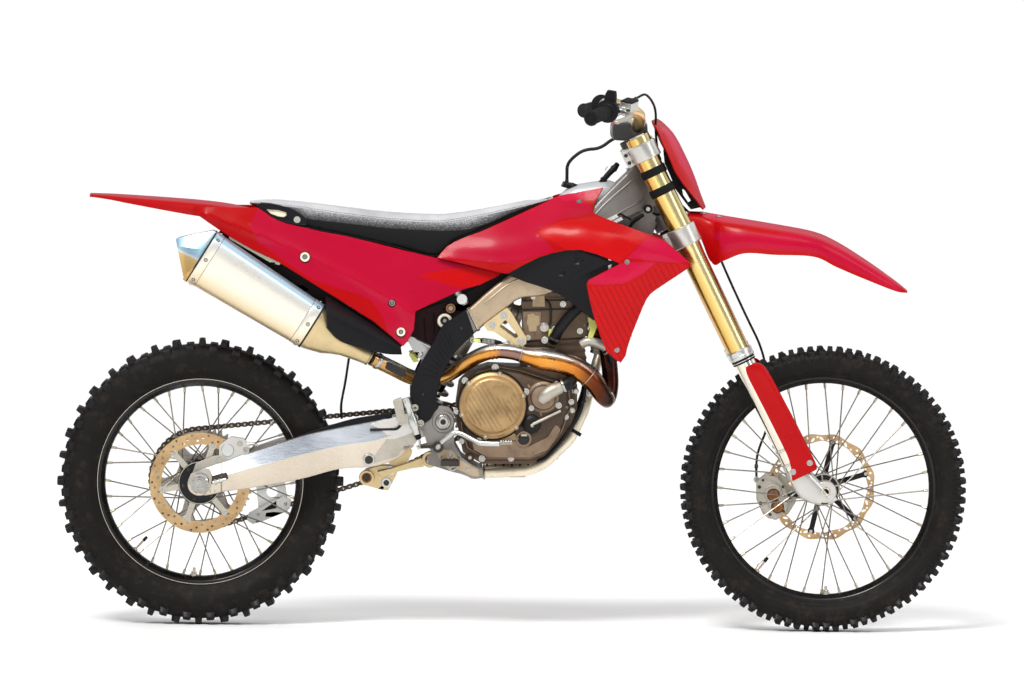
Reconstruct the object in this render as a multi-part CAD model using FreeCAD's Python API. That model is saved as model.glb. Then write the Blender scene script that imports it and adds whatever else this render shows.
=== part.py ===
import FreeCAD, Part
import math
import os

V = FreeCAD.Vector

# ---------------------------------------------------------------- driving dimensions (mm)
WHEELBASE = 1494.0
WHEEL_R = 343.0            # over the tread blocks, both wheels
RAKE = 26.4                # steering axis from vertical, degrees
CLAMP_OFFSET = 22.0        # fork legs ahead of the steering axis
AXLE_LEAD = 40.0           # front axle ahead of the fork legs
FORK_HALF = 103.0          # fork leg to centre plane
STEM_R = 15.0
HEAD_R = 33.0
LOWER_T = 697.0            # along the fork from its base point
UPPER_T = 919.0
FRONT_AXLE_R = 11.0
FRONT_AXLE_BORE = 8.0
REAR_AXLE_R = 12.5
REAR_AXLE_BORE = 8.5
RUN = 0.05                 # radial running clearance at bearings
TEETH = 48
PITCH = 15.875
FRONT_TEETH = 13
REAR_DISC_R = 120.0
FRONT_DISC_R = 130.0
CHAIN_Y = 69.0
SEAT_MOUNT = (430.0, 221.0)   # rider's place on the seat, on the side sheet

# Side sheet: outlines are set out in a side elevation, 1 unit = SHEET mm, seen from the right
# by an eye EYE_D away at height EYE_H, with the ground line falling 8 units over the wheelbase.
SHEET = 2.398
EYE_D = 20000.0
EYE_H = 1700.0
EYE_X = 490.0
TILT = math.atan2(8.0, 623.2)
CA, SA = math.cos(TILT), math.sin(TILT)


def S(u, v, y=0.0):
    """Sheet point (u right, v down) at depth y, to the working frame: X forward, Y left, Z up from the ground."""
    x0 = ((u - 200.5) * CA + (v - 481.0) * SA) * SHEET
    z0 = WHEEL_R + ((u - 200.5) * SA - (v - 481.0) * CA) * SHEET
    t = (EYE_D + y) / EYE_D
    return V(EYE_X + (x0 - EYE_X) * t, y, EYE_H + (z0 - EYE_H) * t)


_r = math.radians(RAKE)
UP = V(-math.sin(_r), 0, math.cos(_r))
FWD = V(math.cos(_r), 0, math.sin(_r))
AXLE_F = V(WHEELBASE, 0, WHEEL_R)
AXLE_R = V(0, 0, WHEEL_R)
LEG0 = AXLE_F - FWD * AXLE_LEAD
STEER0 = LEG0 - FWD * CLAMP_OFFSET


def F(t, f=0.0, y=0.0):
    """Point in the fork's frame: t up along the legs, f ahead of the leg line, y to the left."""
    return LEG0 + UP * t + FWD * f + V(0, y, 0)


def A(t, f=0.0, y=0.0):
    """Point from the steering axis."""
    return STEER0 + UP * t + FWD * f + V(0, y, 0)


# ---------------------------------------------------------------- shape helpers
def poly(pts):
    return Part.makePolygon(list(pts) + [pts[0]])


def face(pts):
    return Part.Face(poly(pts))


def prism(uv, y0, y1, ym=None):
    ym = (y0 + y1) / 2.0 if ym is None else ym
    pts = [S(u, v, ym) for u, v in uv]
    for p in pts:
        p.y = y0
    return face(pts).extrude(V(0, y1 - y0, 0))


def flat(pts):
    """Move a section's points onto its mean plane, so that it can close the end of a loft."""
    c = V(0, 0, 0)
    for p in pts:
        c += p
    c = c * (1.0 / len(pts))
    n = V(0, 0, 0)
    for i, p in enumerate(pts):
        n += (p - c).cross(pts[(i + 1) % len(pts)] - c)
    n.normalize()
    return [p - n * (p - c).dot(n) for p in pts]


def loft(secs, ruled=True):
    secs = [flat(secs[0])] + list(secs[1:-1]) + [flat(secs[-1])]
    s = Part.makeLoft([poly(p) for p in secs], True, ruled)
    if s.ShapeType != "Solid":
        s = s.Solids[0] if s.Solids else Part.makeSolid(s)
    if s.Volume < 0:
        s.reverse()
    return s


def cyl(p0, p1, r):
    d = p1 - p0
    return Part.makeCylinder(r, d.Length, p0, d)


def cone(p0, p1, r0, r1):
    d = p1 - p0
    if abs(r0 - r1) < 1e-6:
        return cyl(p0, p1, r0)
    return Part.makeCone(r0, r1, d.Length, p0, d)


def ring(p0, p1, r, bore):
    return cyl(p0, p1, r).cut(cyl(p0 - (p1 - p0), p1 + (p1 - p0), bore))


def fuse(parts):
    s = parts[0]
    if len(parts) > 1:
        s = s.multiFuse(parts[1:])
    try:
        s = s.removeSplitter()
    except Exception:
        pass
    return s


def mirror(s):
    return s.mirror(V(0, 0, 0), V(0, 1, 0))


def both(s):
    return [s, mirror(s)]


def path_wire(pts, bend):
    """Straight runs joined by tangent arcs; bend is one radius or one for each inner point."""
    edges, last = [], pts[0]
    n = len(pts)
    for i in range(1, n - 1):
        a, b, c = pts[i - 1], pts[i], pts[i + 1]
        u, w = (a - b), (c - b)
        lu, lw = u.Length, w.Length
        u.normalize()
        w.normalize()
        ang = math.acos(max(-1, min(1, u.dot(w))))
        turn = math.pi - ang
        if turn < 1e-3:
            continue
        r = bend[i - 1] if isinstance(bend, (list, tuple)) else bend
        cut = r * math.tan(turn / 2)
        lim = 0.46 * min(lu, lw)
        if cut > lim:
            cut = lim
            r = cut / math.tan(turn / 2)
        p1, p2 = b + u * cut, b + w * cut
        bis = (u + w)
        bis.normalize()
        mid = b + bis * (r / math.sin(ang / 2) - r)
        if (p1 - last).Length > 1e-6:
            edges.append(Part.LineSegment(last, p1).toShape())
        edges.append(Part.Arc(p1, mid, p2).toShape())
        last = p2
    edges.append(Part.LineSegment(last, pts[-1]).toShape())
    return Part.Wire(edges)


def tube(pts, r, bend=60.0):
    w = path_wire(pts, bend)
    d = (pts[1] - pts[0])
    c = Part.Wire([Part.makeCircle(r, pts[0], d)])
    s = w.makePipeShell([c], True, True)
    if s.ShapeType != "Solid":
        s = s.Solids[0]
    if s.Volume < 0:
        s.reverse()
    return s


def smooth(pts, per=6):
    """Catmull-Rom curve through points that may carry a radius: (vector, radius)."""
    n = len(pts)
    out = []
    for i in range(n - 1):
        q = [pts[max(i - 1, 0)], pts[i], pts[i + 1], pts[min(i + 2, n - 1)]]
        for k in range(per):
            t = k / float(per)
            w = (-0.5 * t + t * t - 0.5 * t ** 3, 1 - 2.5 * t * t + 1.5 * t ** 3, 0.5 * t + 2 * t * t - 1.5 * t ** 3, -0.5 * t * t + 0.5 * t ** 3)
            p = V(0, 0, 0)
            r = 0.0
            for c, (v, rad) in zip(w, q):
                p += v * c
                r += rad * c
            out.append((p, r))
    out.append(pts[-1])
    return out


def pipe(pts, n=24, per=6):
    """Round pipe of changing radius along a smooth curve, as a skin of flat-sided rings."""
    c = smooth(pts, per)
    secs = []
    d = c[1][0] - c[0][0]
    d.normalize()
    a = d.cross(V(0, 1, 0))
    if a.Length < 0.1:
        a = d.cross(V(0, 0, 1))
    a.normalize()
    for i, (p, r) in enumerate(c):
        t = c[min(i + 1, len(c) - 1)][0] - c[max(i - 1, 0)][0]
        t.normalize()
        a = a - t * a.dot(t)
        a.normalize()
        b = t.cross(a)
        secs.append([p + a * (r * math.cos(2 * math.pi * k / n)) + b * (r * math.sin(2 * math.pi * k / n)) for k in range(n)])
    return loft(secs)


def rail(pts, w, h, bend=60.0, up=None):
    """Rectangular bar swept along a path that lies in a plane of constant y."""
    wire = path_wire(pts, bend)
    d = (pts[1] - pts[0])
    d.normalize()
    side = V(0, 1, 0)
    n = d.cross(side)
    n.normalize()
    p = pts[0]
    c = poly([p + side * (w / 2) + n * (h / 2), p - side * (w / 2) + n * (h / 2), p - side * (w / 2) - n * (h / 2), p + side * (w / 2) - n * (h / 2)])
    s = wire.makePipeShell([c], True, False)
    if s.ShapeType != "Solid":
        s = s.Solids[0]
    if s.Volume < 0:
        s.reverse()
    return s


def strip(stations, t):
    """Thin panel on the right side. Each station is a list of (u, v, y) from top to bottom; t is its wall, inward."""
    secs = []
    for st in stations:
        outer = [S(u, v, y) for u, v, y in st]
        inner = [S(u, v, y + t) for u, v, y in st]
        secs.append(outer + inner[::-1])
    return loft(secs)


def shell(stations, t, drop=None):
    """Thin arch across the bike. Each station is (u, v_top, v_side, half width, crown) with five points each side."""
    secs = []
    for u, vt, vs, w, tuck in stations:
        prof = [(-w, vs), (-w, vt + (vs - vt) * 0.38), (-w * 0.86, vt + (vs - vt) * 0.10), (-w * 0.45, vt + 0.4), (0, vt), (w * 0.45, vt + 0.4), (w * 0.86, vt + (vs - vt) * 0.10), (w, vt + (vs - vt) * 0.38), (w, vs)]
        sx = S(u, vt, 0).x
        outer = [V(sx, y, S(u, v, 0).z) for y, v in prof]
        inner = []
        for (y, v), p in zip(prof, outer):
            k = abs(y) / w
            q = V(p.x + tuck * (1 if k < 0.95 else 0.2), p.y - math.copysign(t, y) * (1 if k > 0.95 else (0.6 if k > 0.8 else 0)), p.z - (t if k < 0.95 else 0))
            inner.append(q)
        inner[0].z = outer[0].z
        inner[-1].z = outer[-1].z
        secs.append(outer + inner[::-1])
    return loft(secs)


def oval(c, ax, hn, hy, n=20, p=2.6):
    """Superellipse section about c, normal to ax; hn is its half height in the side plane, hy across."""
    ax = V(ax.x, ax.y, ax.z)
    ax.normalize()
    up = V(0, 1, 0).cross(ax)
    up.normalize()
    out = []
    for i in range(n):
        a = 2 * math.pi * i / n
        ca, sa = math.cos(a), math.sin(a)
        x = math.copysign(abs(ca) ** (2 / p), ca) * hy
        z = math.copysign(abs(sa) ** (2 / p), sa) * hn
        out.append(c + V(0, x, 0) + up * z)
    return out


parts = {}

# ================================================================ WHEELS
def tyre(axle, rim_r, half, outer):
    """Closed carcass section turned about the axle; bead at rim_r."""
    sec = [(rim_r - 8, 14), (rim_r - 8, -14), (rim_r - 6, -half * 0.42), (rim_r + 10, -half * 0.62), (rim_r + 34, -half * 0.92), (outer - 30, -half * 0.99), (outer - 14, -half), (outer - 5, -half * 0.8), (outer, -half * 0.45), (outer, half * 0.45), (outer - 5, half * 0.8), (outer - 14, half), (outer - 30, half * 0.99), (rim_r + 34, half * 0.92), (rim_r + 10, half * 0.62), (rim_r - 6, half * 0.42)]
    pts = [V(axle.x, y, axle.z + r) for r, y in sec]
    return face(pts).revolve(axle, V(0, 1, 0), 360)


def rim(axle, inner, outer, half):
    sec = [(inner, -half * 0.35), (inner + 9, -half * 0.92), (inner + 12, -half), (outer, -half), (outer, -half + 3), (inner + 15, -half + 4.5), (inner + 12, -half * 0.5), (inner + 6, -half * 0.28), (inner + 6, half * 0.28), (inner + 12, half * 0.5), (inner + 15, half - 4.5), (outer, half - 3), (outer, half), (inner + 12, half), (inner + 9, half * 0.92), (inner, half * 0.35)]
    pts = [V(axle.x, y, axle.z + r) for r, y in sec]
    return face(pts).revolve(axle, V(0, 1, 0), 360)


def pol(axle, r, a, y):
    return V(axle.x + r * math.cos(a), y, axle.z + r * math.sin(a))


def spokes(axle, hub_r, hub_y, rim_r, rim_y, lean):
    out = []
    for side in (-1, 1):
        for k in range(18):
            a = math.radians(k * 20 + (10 if side > 0 else 0))
            way = 1 if k % 2 else -1
            ah = a + way * math.radians(lean)
            p0 = pol(axle, hub_r, ah, side * hub_y + way * 2.4)
            p1 = pol(axle, rim_r, a, side * rim_y + way * 2.4)
            out.append(cyl(p0, p1, 1.9))
    return Part.makeCompound(out)


FR_RIM_IN, FR_RIM_OUT = 254.0, 276.0
RR_RIM_IN, RR_RIM_OUT = 228.0, 252.0

parts["front_tyre"] = tyre(AXLE_F, 268.5, 43.0, WHEEL_R)
parts["front_rim"] = rim(AXLE_F, FR_RIM_IN, FR_RIM_OUT, 21.0)
parts["rear_tyre"] = tyre(AXLE_R, 244.5, 54.0, WHEEL_R)
parts["rear_rim"] = rim(AXLE_R, RR_RIM_IN, RR_RIM_OUT, 28.0)
# The tyre sits in the rim: its bead is cut to the rim's own section.
parts["front_tyre"] = parts["front_tyre"].cut(parts["front_rim"])
parts["rear_tyre"] = parts["rear_tyre"].cut(parts["rear_rim"])


def biggest(s):
    return max(s.Solids, key=lambda q: q.Volume)


parts["front_tyre"] = biggest(parts["front_tyre"])
parts["rear_tyre"] = biggest(parts["rear_tyre"])

front_hub = fuse([
    cyl(AXLE_F + V(0, -34, 0), AXLE_F + V(0, -27, 0), 36),
    cyl(AXLE_F + V(0, -28, 0), AXLE_F + V(0, 28, 0), 20),
    cyl(AXLE_F + V(0, 27, 0), AXLE_F + V(0, 34, 0), 36),
    cyl(AXLE_F + V(0, -50, 0), AXLE_F + V(0, -33, 0), 22),
    cyl(AXLE_F + V(0, 33, 0), AXLE_F + V(0, 59.5, 0), 34),
    cyl(AXLE_F + V(0, 59, 0), AXLE_F + V(0, 66, 0), 20),
])
parts["front_hub"] = front_hub.cut(cyl(AXLE_F + V(0, -80, 0), AXLE_F + V(0, 80, 0), FRONT_AXLE_R + RUN))
parts["front_spokes"] = spokes(AXLE_F, 30.0, 30.5, FR_RIM_IN + 3.0, 3.0, 62)

rear_hub = fuse([
    cyl(AXLE_R + V(0, -37, 0), AXLE_R + V(0, -30, 0), 54),
    cyl(AXLE_R + V(0, -31, 0), AXLE_R + V(0, 31, 0), 27),
    cyl(AXLE_R + V(0, 30, 0), AXLE_R + V(0, 37, 0), 54),
    cyl(AXLE_R + V(0, -69.5, 0), AXLE_R + V(0, -36, 0), 42),
    cyl(AXLE_R + V(0, 36, 0), AXLE_R + V(0, 65.4, 0), 46),
    cyl(AXLE_R + V(0, -76, 0), AXLE_R + V(0, -69, 0), 24),
    cyl(AXLE_R + V(0, 65, 0), AXLE_R + V(0, 76, 0), 24),
])
parts["rear_hub"] = rear_hub.cut(cyl(AXLE_R + V(0, -90, 0), AXLE_R + V(0, 90, 0), REAR_AXLE_R + RUN))
parts["rear_spokes"] = spokes(AXLE_R, 48.0, 33.5, RR_RIM_IN + 3.0, 3.5, 58)


def spider(axle, y0, y1, ring_out, ring_in, hub_out, hub_in, arms, arm_w, phase=0.0):
    body = [ring(axle + V(0, y0, 0), axle + V(0, y1, 0), ring_out, ring_in), ring(axle + V(0, y0, 0), axle + V(0, y1, 0), hub_out, hub_in)]
    for k in range(arms):
        a = 2 * math.pi * k / arms + phase
        d = V(math.cos(a), 0, math.sin(a))
        n = V(-math.sin(a), 0, math.cos(a))
        p0, p1 = axle + d * (hub_out - 3), axle + d * (ring_in + 3)
        q = [p0 + n * arm_w / 2, p0 - n * arm_w / 2, p1 - n * arm_w / 2, p1 + n * arm_w / 2]
        for p in q:
            p.y = y0
        body.append(face(q).extrude(V(0, y1 - y0, 0)))
    return fuse(body)


parts["front_disc"] = spider(AXLE_F, 60.0, 63.5, FRONT_DISC_R, 108.0, 33.0, 20.05, 6, 12.0, 0.3)
parts["rear_disc"] = spider(AXLE_R, -73.0, -70.0, REAR_DISC_R, 92.0, 40.0, 24.05, 6, 13.0, 0.2)

# Rear sprocket: tooth flanks on a polygon, one tooth to each pitch.
SPR_R = PITCH / (2 * math.sin(math.pi / TEETH))
pts = []
for k in range(TEETH):
    a = 2 * math.pi * k / TEETH
    for da, r in ((-0.36, SPR_R - 4.6), (-0.20, SPR_R - 1.0), (-0.085, SPR_R + 4.2), (0.085, SPR_R + 4.2), (0.20, SPR_R - 1.0), (0.36, SPR_R - 4.6)):
        b = a + da * 2 * math.pi / TEETH
        pts.append(V(AXLE_R.x + r * math.cos(b), CHAIN_Y - 3.4, AXLE_R.z + r * math.sin(b)))
tooth_ring = face(pts).extrude(V(0, 6.8, 0)).cut(cyl(AXLE_R + V(0, 40, 0), AXLE_R + V(0, 90, 0), 98))
parts["rear_sprocket"] = fuse([tooth_ring, spider(AXLE_R, CHAIN_Y - 3.4, CHAIN_Y + 3.4, 100.0, 94.0, 44.0, 24.05, 6, 20.0, 0.15)])

# ================================================================ STEERING GROUP
def leg(f):
    return [f(-1), f(1)]


# Fork outer tubes with the seal housing at their lower end.
def outer_tube(s):
    y = s * FORK_HALF
    body = fuse([
        cone(F(392, 0, y), F(500, 0, y), 26.5, 27.5),
        cyl(F(500, 0, y), F(640, 0, y), 27.5),
        cone(F(640, 0, y), F(668, 0, y), 27.5, 29.0),
        cyl(F(668, 0, y), F(958, 0, y), 29.0),
        cyl(F(372, 0, y), F(396, 0, y), 31.0),
        cyl(F(362, 0, y), F(373, 0, y), 29.0),
    ])
    return body.cut(cyl(F(350, 0, y), F(930, 0, y), 24.6))


parts["fork_outer_tubes"] = Part.makeCompound([outer_tube(-1), outer_tube(1)])


def slider(s):
    y = s * FORK_HALF
    body = [cyl(F(52, 0, y), F(700, 0, y), 24.5)]
    # Axle lug: the foot that carries the axle ahead of the leg.
    body.append(cyl(F(0, AXLE_LEAD, s * 78), F(0, AXLE_LEAD, s * 122), 27))
    foot = []
    for t, f0, f1, w in ((78, -25, 25, 25), (40, -27, 34, 25), (8, -22, 46, 24), (-20, 4, 50, 22)):
        foot.append([F(t, f0, y - w), F(t, f1, y - w), F(t, f1, y + w), F(t, f0, y + w)])
    body.append(loft(foot))
    s1 = fuse(body)
    return s1.cut(cyl(AXLE_F + V(0, -200, 0), AXLE_F + V(0, 200, 0), FRONT_AXLE_R))


parts["fork_legs"] = Part.makeCompound([slider(-1), slider(1)])

# Front axle: hollow, clamped in both feet.
fa = fuse([cyl(AXLE_F + V(0, -129, 0), AXLE_F + V(0, 129, 0), FRONT_AXLE_R), cyl(AXLE_F + V(0, 128.05, 0), AXLE_F + V(0, 133, 0), 17),
           cyl(AXLE_F + V(0, -77.5, 0), AXLE_F + V(0, -50.3, 0), 17), cyl(AXLE_F + V(0, 66.3, 0), AXLE_F + V(0, 77.5, 0), 17)])
parts["front_axle"] = fa.cut(cyl(AXLE_F + V(0, -200, 0), AXLE_F + V(0, 200, 0), FRONT_AXLE_BORE))


def clamp(t0, t1, lobe, web_f0, web_f1, stem_r):
    """Triple clamp: two lobes round the legs, a web to the steering stem."""
    body = []
    for s in (-1, 1):
        y = s * FORK_HALF
        body.append(cyl(F(t0, 0, y), F(t1, 0, y), lobe))
        lug = [F(t0, -lobe - 12, y - s * 4 - 9), F(t0, -lobe + 14, y - s * 4 - 9), F(t0, -lobe + 14, y - s * 4 + 9), F(t0, -lobe - 12, y - s * 4 + 9)]
        body.append(face(lug).extrude(UP * (t1 - t0)))
    web = []
    for y, f0, f1 in ((-FORK_HALF + 10, -20, 20), (-50, -30, 14), (0, -CLAMP_OFFSET - stem_r, web_f1), (50, -30, 14), (FORK_HALF - 10, -20, 20)):
        web.append([F(t0 + 4, f0, y), F(t0 + 4, f1, y), F(t1 - 4, f1, y), F(t1 - 4, f0, y)])
    body.append(loft(web))
    body.append(cyl(A(t0, 0, 0), A(t1, 0, 0), stem_r))
    s = fuse(body)
    for y in (-FORK_HALF, FORK_HALF):
        s = s.cut(cyl(F(t0 - 20, 0, y), F(t1 + 20, 0, y), 29.02))
    return s


lower = clamp(LOWER_T - 24, LOWER_T + 24, 36.0, 0, 14, 26)
stem = cyl(A(LOWER_T + 10), A(UPPER_T + 39), STEM_R)
seat_ring = cyl(A(LOWER_T + 20), A(LOWER_T + 27.0), 28)
lower = fuse([lower, stem, seat_ring])
VENT_BORE = 8.5
lower = lower.cut(cyl(A(UPPER_T - 20), A(UPPER_T + 60), VENT_BORE))
parts["lower_clamp_and_stem"] = lower
upper = clamp(UPPER_T - 20, UPPER_T + 22, 37.0, 0, 20, 27)
upper = upper.cut(cyl(A(UPPER_T - 40), A(UPPER_T + 70), STEM_R))
nut = ring(A(UPPER_T + 22), A(UPPER_T + 40), 21, STEM_R)
upper = fuse([upper, nut])
BAR_T, BAR_F = UPPER_T + 60.0, 36.0           # handlebar centre, from the steering axis
BAR = A(BAR_T, BAR_F)
for y in (-48, 48):
    post = [A(UPPER_T + 8, BAR_F - 20, y - 17), A(UPPER_T + 8, BAR_F + 20, y - 17), A(UPPER_T + 8, BAR_F + 20, y + 17), A(UPPER_T + 8, BAR_F - 20, y + 17)]
    upper = fuse([upper, face(post).extrude(UP * (BAR_T - UPPER_T - 8)), cyl(BAR + V(0, y - 17, 0), BAR + V(0, y + 17, 0), 23)])
parts["upper_clamp"] = upper.cut(cyl(BAR + V(0, -90, 0), BAR + V(0, 90, 0), 14.35))

# Handlebar: straight in its clamps, rising to a corner each side, then swept back to the grips.
def bar_pts(s):
    return [BAR + V(0, s * -1, 0), BAR + V(0, s * 74, 0), S(640, 113.5, s * 150), S(616.5, 107, s * 214), S(591.3, 118.4, s * 402)]


def bar_sym(s):
    """Both halves are set out on the right-hand side and mirrored, so that the bar is true."""
    out = []
    for p in bar_pts(-1):
        out.append(V(p.x, abs(p.y) * s, p.z))
    return out


def bar_half(s):
    pts = bar_sym(s)
    pts[0] = V(BAR.x, 0, BAR.z)
    thick = tube([pts[0], pts[1], pts[2], pts[3], pts[3] + (pts[4] - pts[3]) * 0.12], 14.3, [45, 70, 45])
    d = pts[4] - pts[3]
    end = cyl(pts[3] + d * 0.10, pts[4], 11.1)
    return [thick, end]


bar = fuse(bar_half(1) + bar_half(-1))
parts["handlebar"] = bar


def bar_frame(s):
    pts = bar_sym(s)
    d = pts[4] - pts[3]
    L = d.Length
    d.normalize()
    return pts[3], pts[4], d, L


def grip(s):
    p3, p4, d, L = bar_frame(s)
    g = fuse([cyl(p4 - d * 122, p4 + d * 3, 16.0), cyl(p4 - d * 126, p4 - d * 121, 28.0), cyl(p4 + d * 0.5, p4 + d * 4.0, 18.5)])
    return g.cut(cyl(p4 - d * 140, p4, 11.1))


parts["grips"] = Part.makeCompound([grip(-1), grip(1)])


def control(s):
    """Perch, reservoir or housing, and blade lever, ahead of the grip."""
    p3, p4, d, L = bar_frame(s)
    fwd = V(1, 0, -0.12)
    fwd = fwd - d * fwd.dot(d)
    fwd.normalize()
    up = d.cross(fwd)
    if up.z < 0:
        up = up * -1
    up.normalize()
    c = p4 - d * 158
    perch = ring(c - d * 11, c + d * 11, 17.0, 11.15)
    arm = loft([[c + fwd * 12 + d * q0 + up * w for q0, w in ((-10, -8), (10, -8), (10, 8), (-10, 8))], [c + fwd * 50 + d * q0 + up * w for q0, w in ((-6, -7), (18, -7), (18, 7), (-6, 7))]])
    body = [perch, arm]
    blade = []
    for q, f, wf, wu in ((12, 46, 9, 6), (35, 58, 7, 5.5), (70, 62, 6, 5), (110, 60, 6, 4.5), (140, 58, 6, 4.5)):
        m = c + d * q + fwd * f
        blade.append([m + fwd * wf - up * wu, m + fwd * wf + up * wu, m - fwd * wf + up * wu, m - fwd * wf - up * wu])
    body.append(loft(blade))
    body.append(cyl(c + d * 143 + fwd * 58 - up * 5.2, c + d * 143 + fwd * 58 + up * 5.2, 8.0))
    if s < 0:
        m = c - d * 34 + fwd * 30
        box = [m + fwd * a + up * b - d * 30 for a, b in ((-14, -6), (16, -6), (16, 24), (-14, 24))]
        body.append(face(box).extrude(d * 56))
        body.append(cyl(c + fwd * 36 - d * 46, c + fwd * 36 + d * 12, 10))
        body[-2] = body[-2].cut(cyl(c - d * 80, c + d * 80, 17.5))
        k = c - d * 0
        house = loft([[p4 - d * 128 + fwd * (ca * 24) + up * (sa * 24 + 3) for ca, sa in [(math.cos(t), math.sin(t)) for t in [math.pi * i / 6 for i in range(12)]]],
                      [p4 - d * 145 + fwd * (ca * 23) + up * (sa * 24 + 3) for ca, sa in [(math.cos(t), math.sin(t)) for t in [math.pi * i / 6 for i in range(12)]]]])
        tower = [p4 - d * 145 + fwd * a + up * b for a, b in ((-14, 14), (14, 14), (12, 46), (-10, 50))]
        tower = face(tower).extrude(d * 17)
        house = fuse([house, tower]).cut(cyl(p4 - d * 200, p4, 11.15))
        return [fuse(body), house]
    return [fuse(body)]


parts["hand_levers"] = Part.makeCompound([biggest(q.cut(bar)) for q in control(-1) + control(1)])

# Bar pad over the clamps.
pad = []
for y, k in ((-98, 0.80), (-92, 1.0), (92, 1.0), (98, 0.80)):
    c = S(628.5, 130.5, 0)
    hx, hz = 46 * k, 24.0 * k
    pad.append([c + V(a * hx, y, b * hz) for a, b in ((-1, -0.55), (-0.82, -1), (0.82, -1), (1, -0.5), (1, 0.6), (0.8, 1), (-0.8, 1), (-1, 0.6))])
PAD = loft(pad)
PAD = PAD.cut(cyl(A(UPPER_T + 20), A(UPPER_T + 72), 50)).cut(parts["fork_outer_tubes"])
for y in (-48, 48):
    PAD = PAD.cut(cyl(BAR + V(0, y - 19, 0), BAR + V(0, y + 19, 0), 25.5))
    post = [A(UPPER_T - 20, BAR_F - 23, y - 20), A(UPPER_T - 20, BAR_F + 23, y - 20), A(UPPER_T - 20, BAR_F + 23, y + 20), A(UPPER_T - 20, BAR_F - 23, y + 20)]
    PAD = PAD.cut(face(post).extrude(UP * 82))
PAD = PAD.cut(bar_half(1)[0]).cut(bar_half(-1)[0]).cut(parts["upper_clamp"])
parts["bar_pad"] = biggest(PAD)

# Fork guards: bent plates ahead of the sliders.
def guard(s):
    secs = []
    for t, f0, f1, yo in ((352, -4, 30, 30), (330, -8, 40, 32), (240, -6, 46, 32), (120, -4, 50, 32), (72, -16, 50, 32), (58, -20, 46, 31)):
        o = [(f0, yo), (f1 - 10, yo), (f1, yo - 12), (f1, 6)]
        i = [(f1 - 3, 6), (f1 - 3, yo - 13.5), (f1 - 11.5, yo - 3), (f0, yo - 3)]
        secs.append([F(t, f, s * (FORK_HALF + y)) for f, y in o + i])
    return loft(secs)


g = guard(-1)
feet = parts["fork_legs"]
parts["fork_guards"] = Part.makeCompound([biggest(q.cut(feet)) for q in (guard(-1), guard(1))])

# Front mudguard: one thin arch.
ff = [(688, 211, 226, 60, 0), (701, 211.5, 236, 64, 0), (710, 212.8, 262, 72, 0), (722, 215, 258, 104, 0), (743, 218.5, 250.5, 112, 0), (773, 223.5, 252, 112, 0), (812, 230.5, 254, 106, 0), (835, 240.5, 264.5, 98, 0), (865, 259.0, 277.6, 84, 0), (894, 279.5, 289.8, 62, 0), (906.5, 289.5, 292, 44, 0)]
parts["front_mudguard"] = shell(ff, 3.2)
# two bosses tie it to the lower clamp
m = parts["front_mudguard"]
boss = [cyl(F(LOWER_T - 60, 20, s * 40), F(LOWER_T - 24, 20, s * 40), 9) for s in (-1, 1)]
parts["front_mudguard"] = m

# Number plate: shield in front of the handlebar.
secs = []
for (fu, fv), (ru, rv), w in (((657, 118.5), (652, 121), 66), ((671.5, 131), (657.5, 131), 98), ((682.4, 149.4), (666, 151), 112), ((692.7, 171.8), (674.5, 171), 112), ((699, 190), (687, 189), 92), ((705.8, 207.0), (702.5, 209.0), 56)):
    def P(k, y):
        p = S(ru + (fu - ru) * k, rv + (fv - rv) * k, 0)
        return V(p.x, y, p.z)
    o = [P(0, -w), P(0.55, -w * 0.8), P(0.92, -w * 0.4), P(1, 0), P(0.92, w * 0.4), P(0.55, w * 0.8), P(0, w)]
    back = S(ru, rv, 0) - S(fu, fv, 0)
    back.normalize()
    i = [p + back * 3.2 for p in o]
    secs.append(o + i[::-1])
parts["number_plate"] = loft(secs)

# Front brake: caliper on the left foot, disc between its halves.
cal = prism([(757, 480), (768, 472), (784, 476), (795, 488), (796, 503), (788, 515), (775, 521), (762, 514), (756, 498)], 46.0, 79.0, 62)
cal = cal.cut(cyl(AXLE_F + V(0, 54.9, 0), AXLE_F + V(0, 68.6, 0), FRONT_DISC_R + 6))
cal = cal.cut(cyl(AXLE_F + V(0, 30, 0), AXLE_F + V(0, 68.6, 0), 88))
# carrier from the foot
carrier = prism([(784, 476), (806, 470), (812, 484), (800, 500), (786, 506)], 68.6, 79.0, 72)
cal = fuse([cal, carrier]).cut(parts["fork_legs"])
cal = cal.cut(cyl(AXLE_F + V(0, 40, 0), AXLE_F + V(0, 68.7, 0), 40)).cut(cyl(AXLE_F + V(0, 40, 0), AXLE_F + V(0, 90, 0), 28))
parts["front_brake_caliper"] = biggest(cal)

# Front brake hose: held along its whole length, from the lever's cylinder to the caliper.
p3, p4, dd, L = bar_frame(-1)
hose_start = p4 - dd * 224 + V(30, 0, 12)
hose = [hose_start, hose_start + V(34, 24, 18), S(656, 108, -104), S(655, 130, -62), S(658, 158, -20), S(672, 196, 26), S(690, 214, 62), S(706, 224, 100), S(724, 268, 122), S(746, 316, 124), S(764, 352, 134), S(769, 392, 140), S(768, 428, 140), S(760, 446, 118), S(756, 462, 92), S(757, 479, 72)]
parts["front_brake_hose"] = tube(hose, 3.0, 200)
parts["number_plate"] = biggest(parts["number_plate"].cut(tube(hose, 3.8, 200)))

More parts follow.
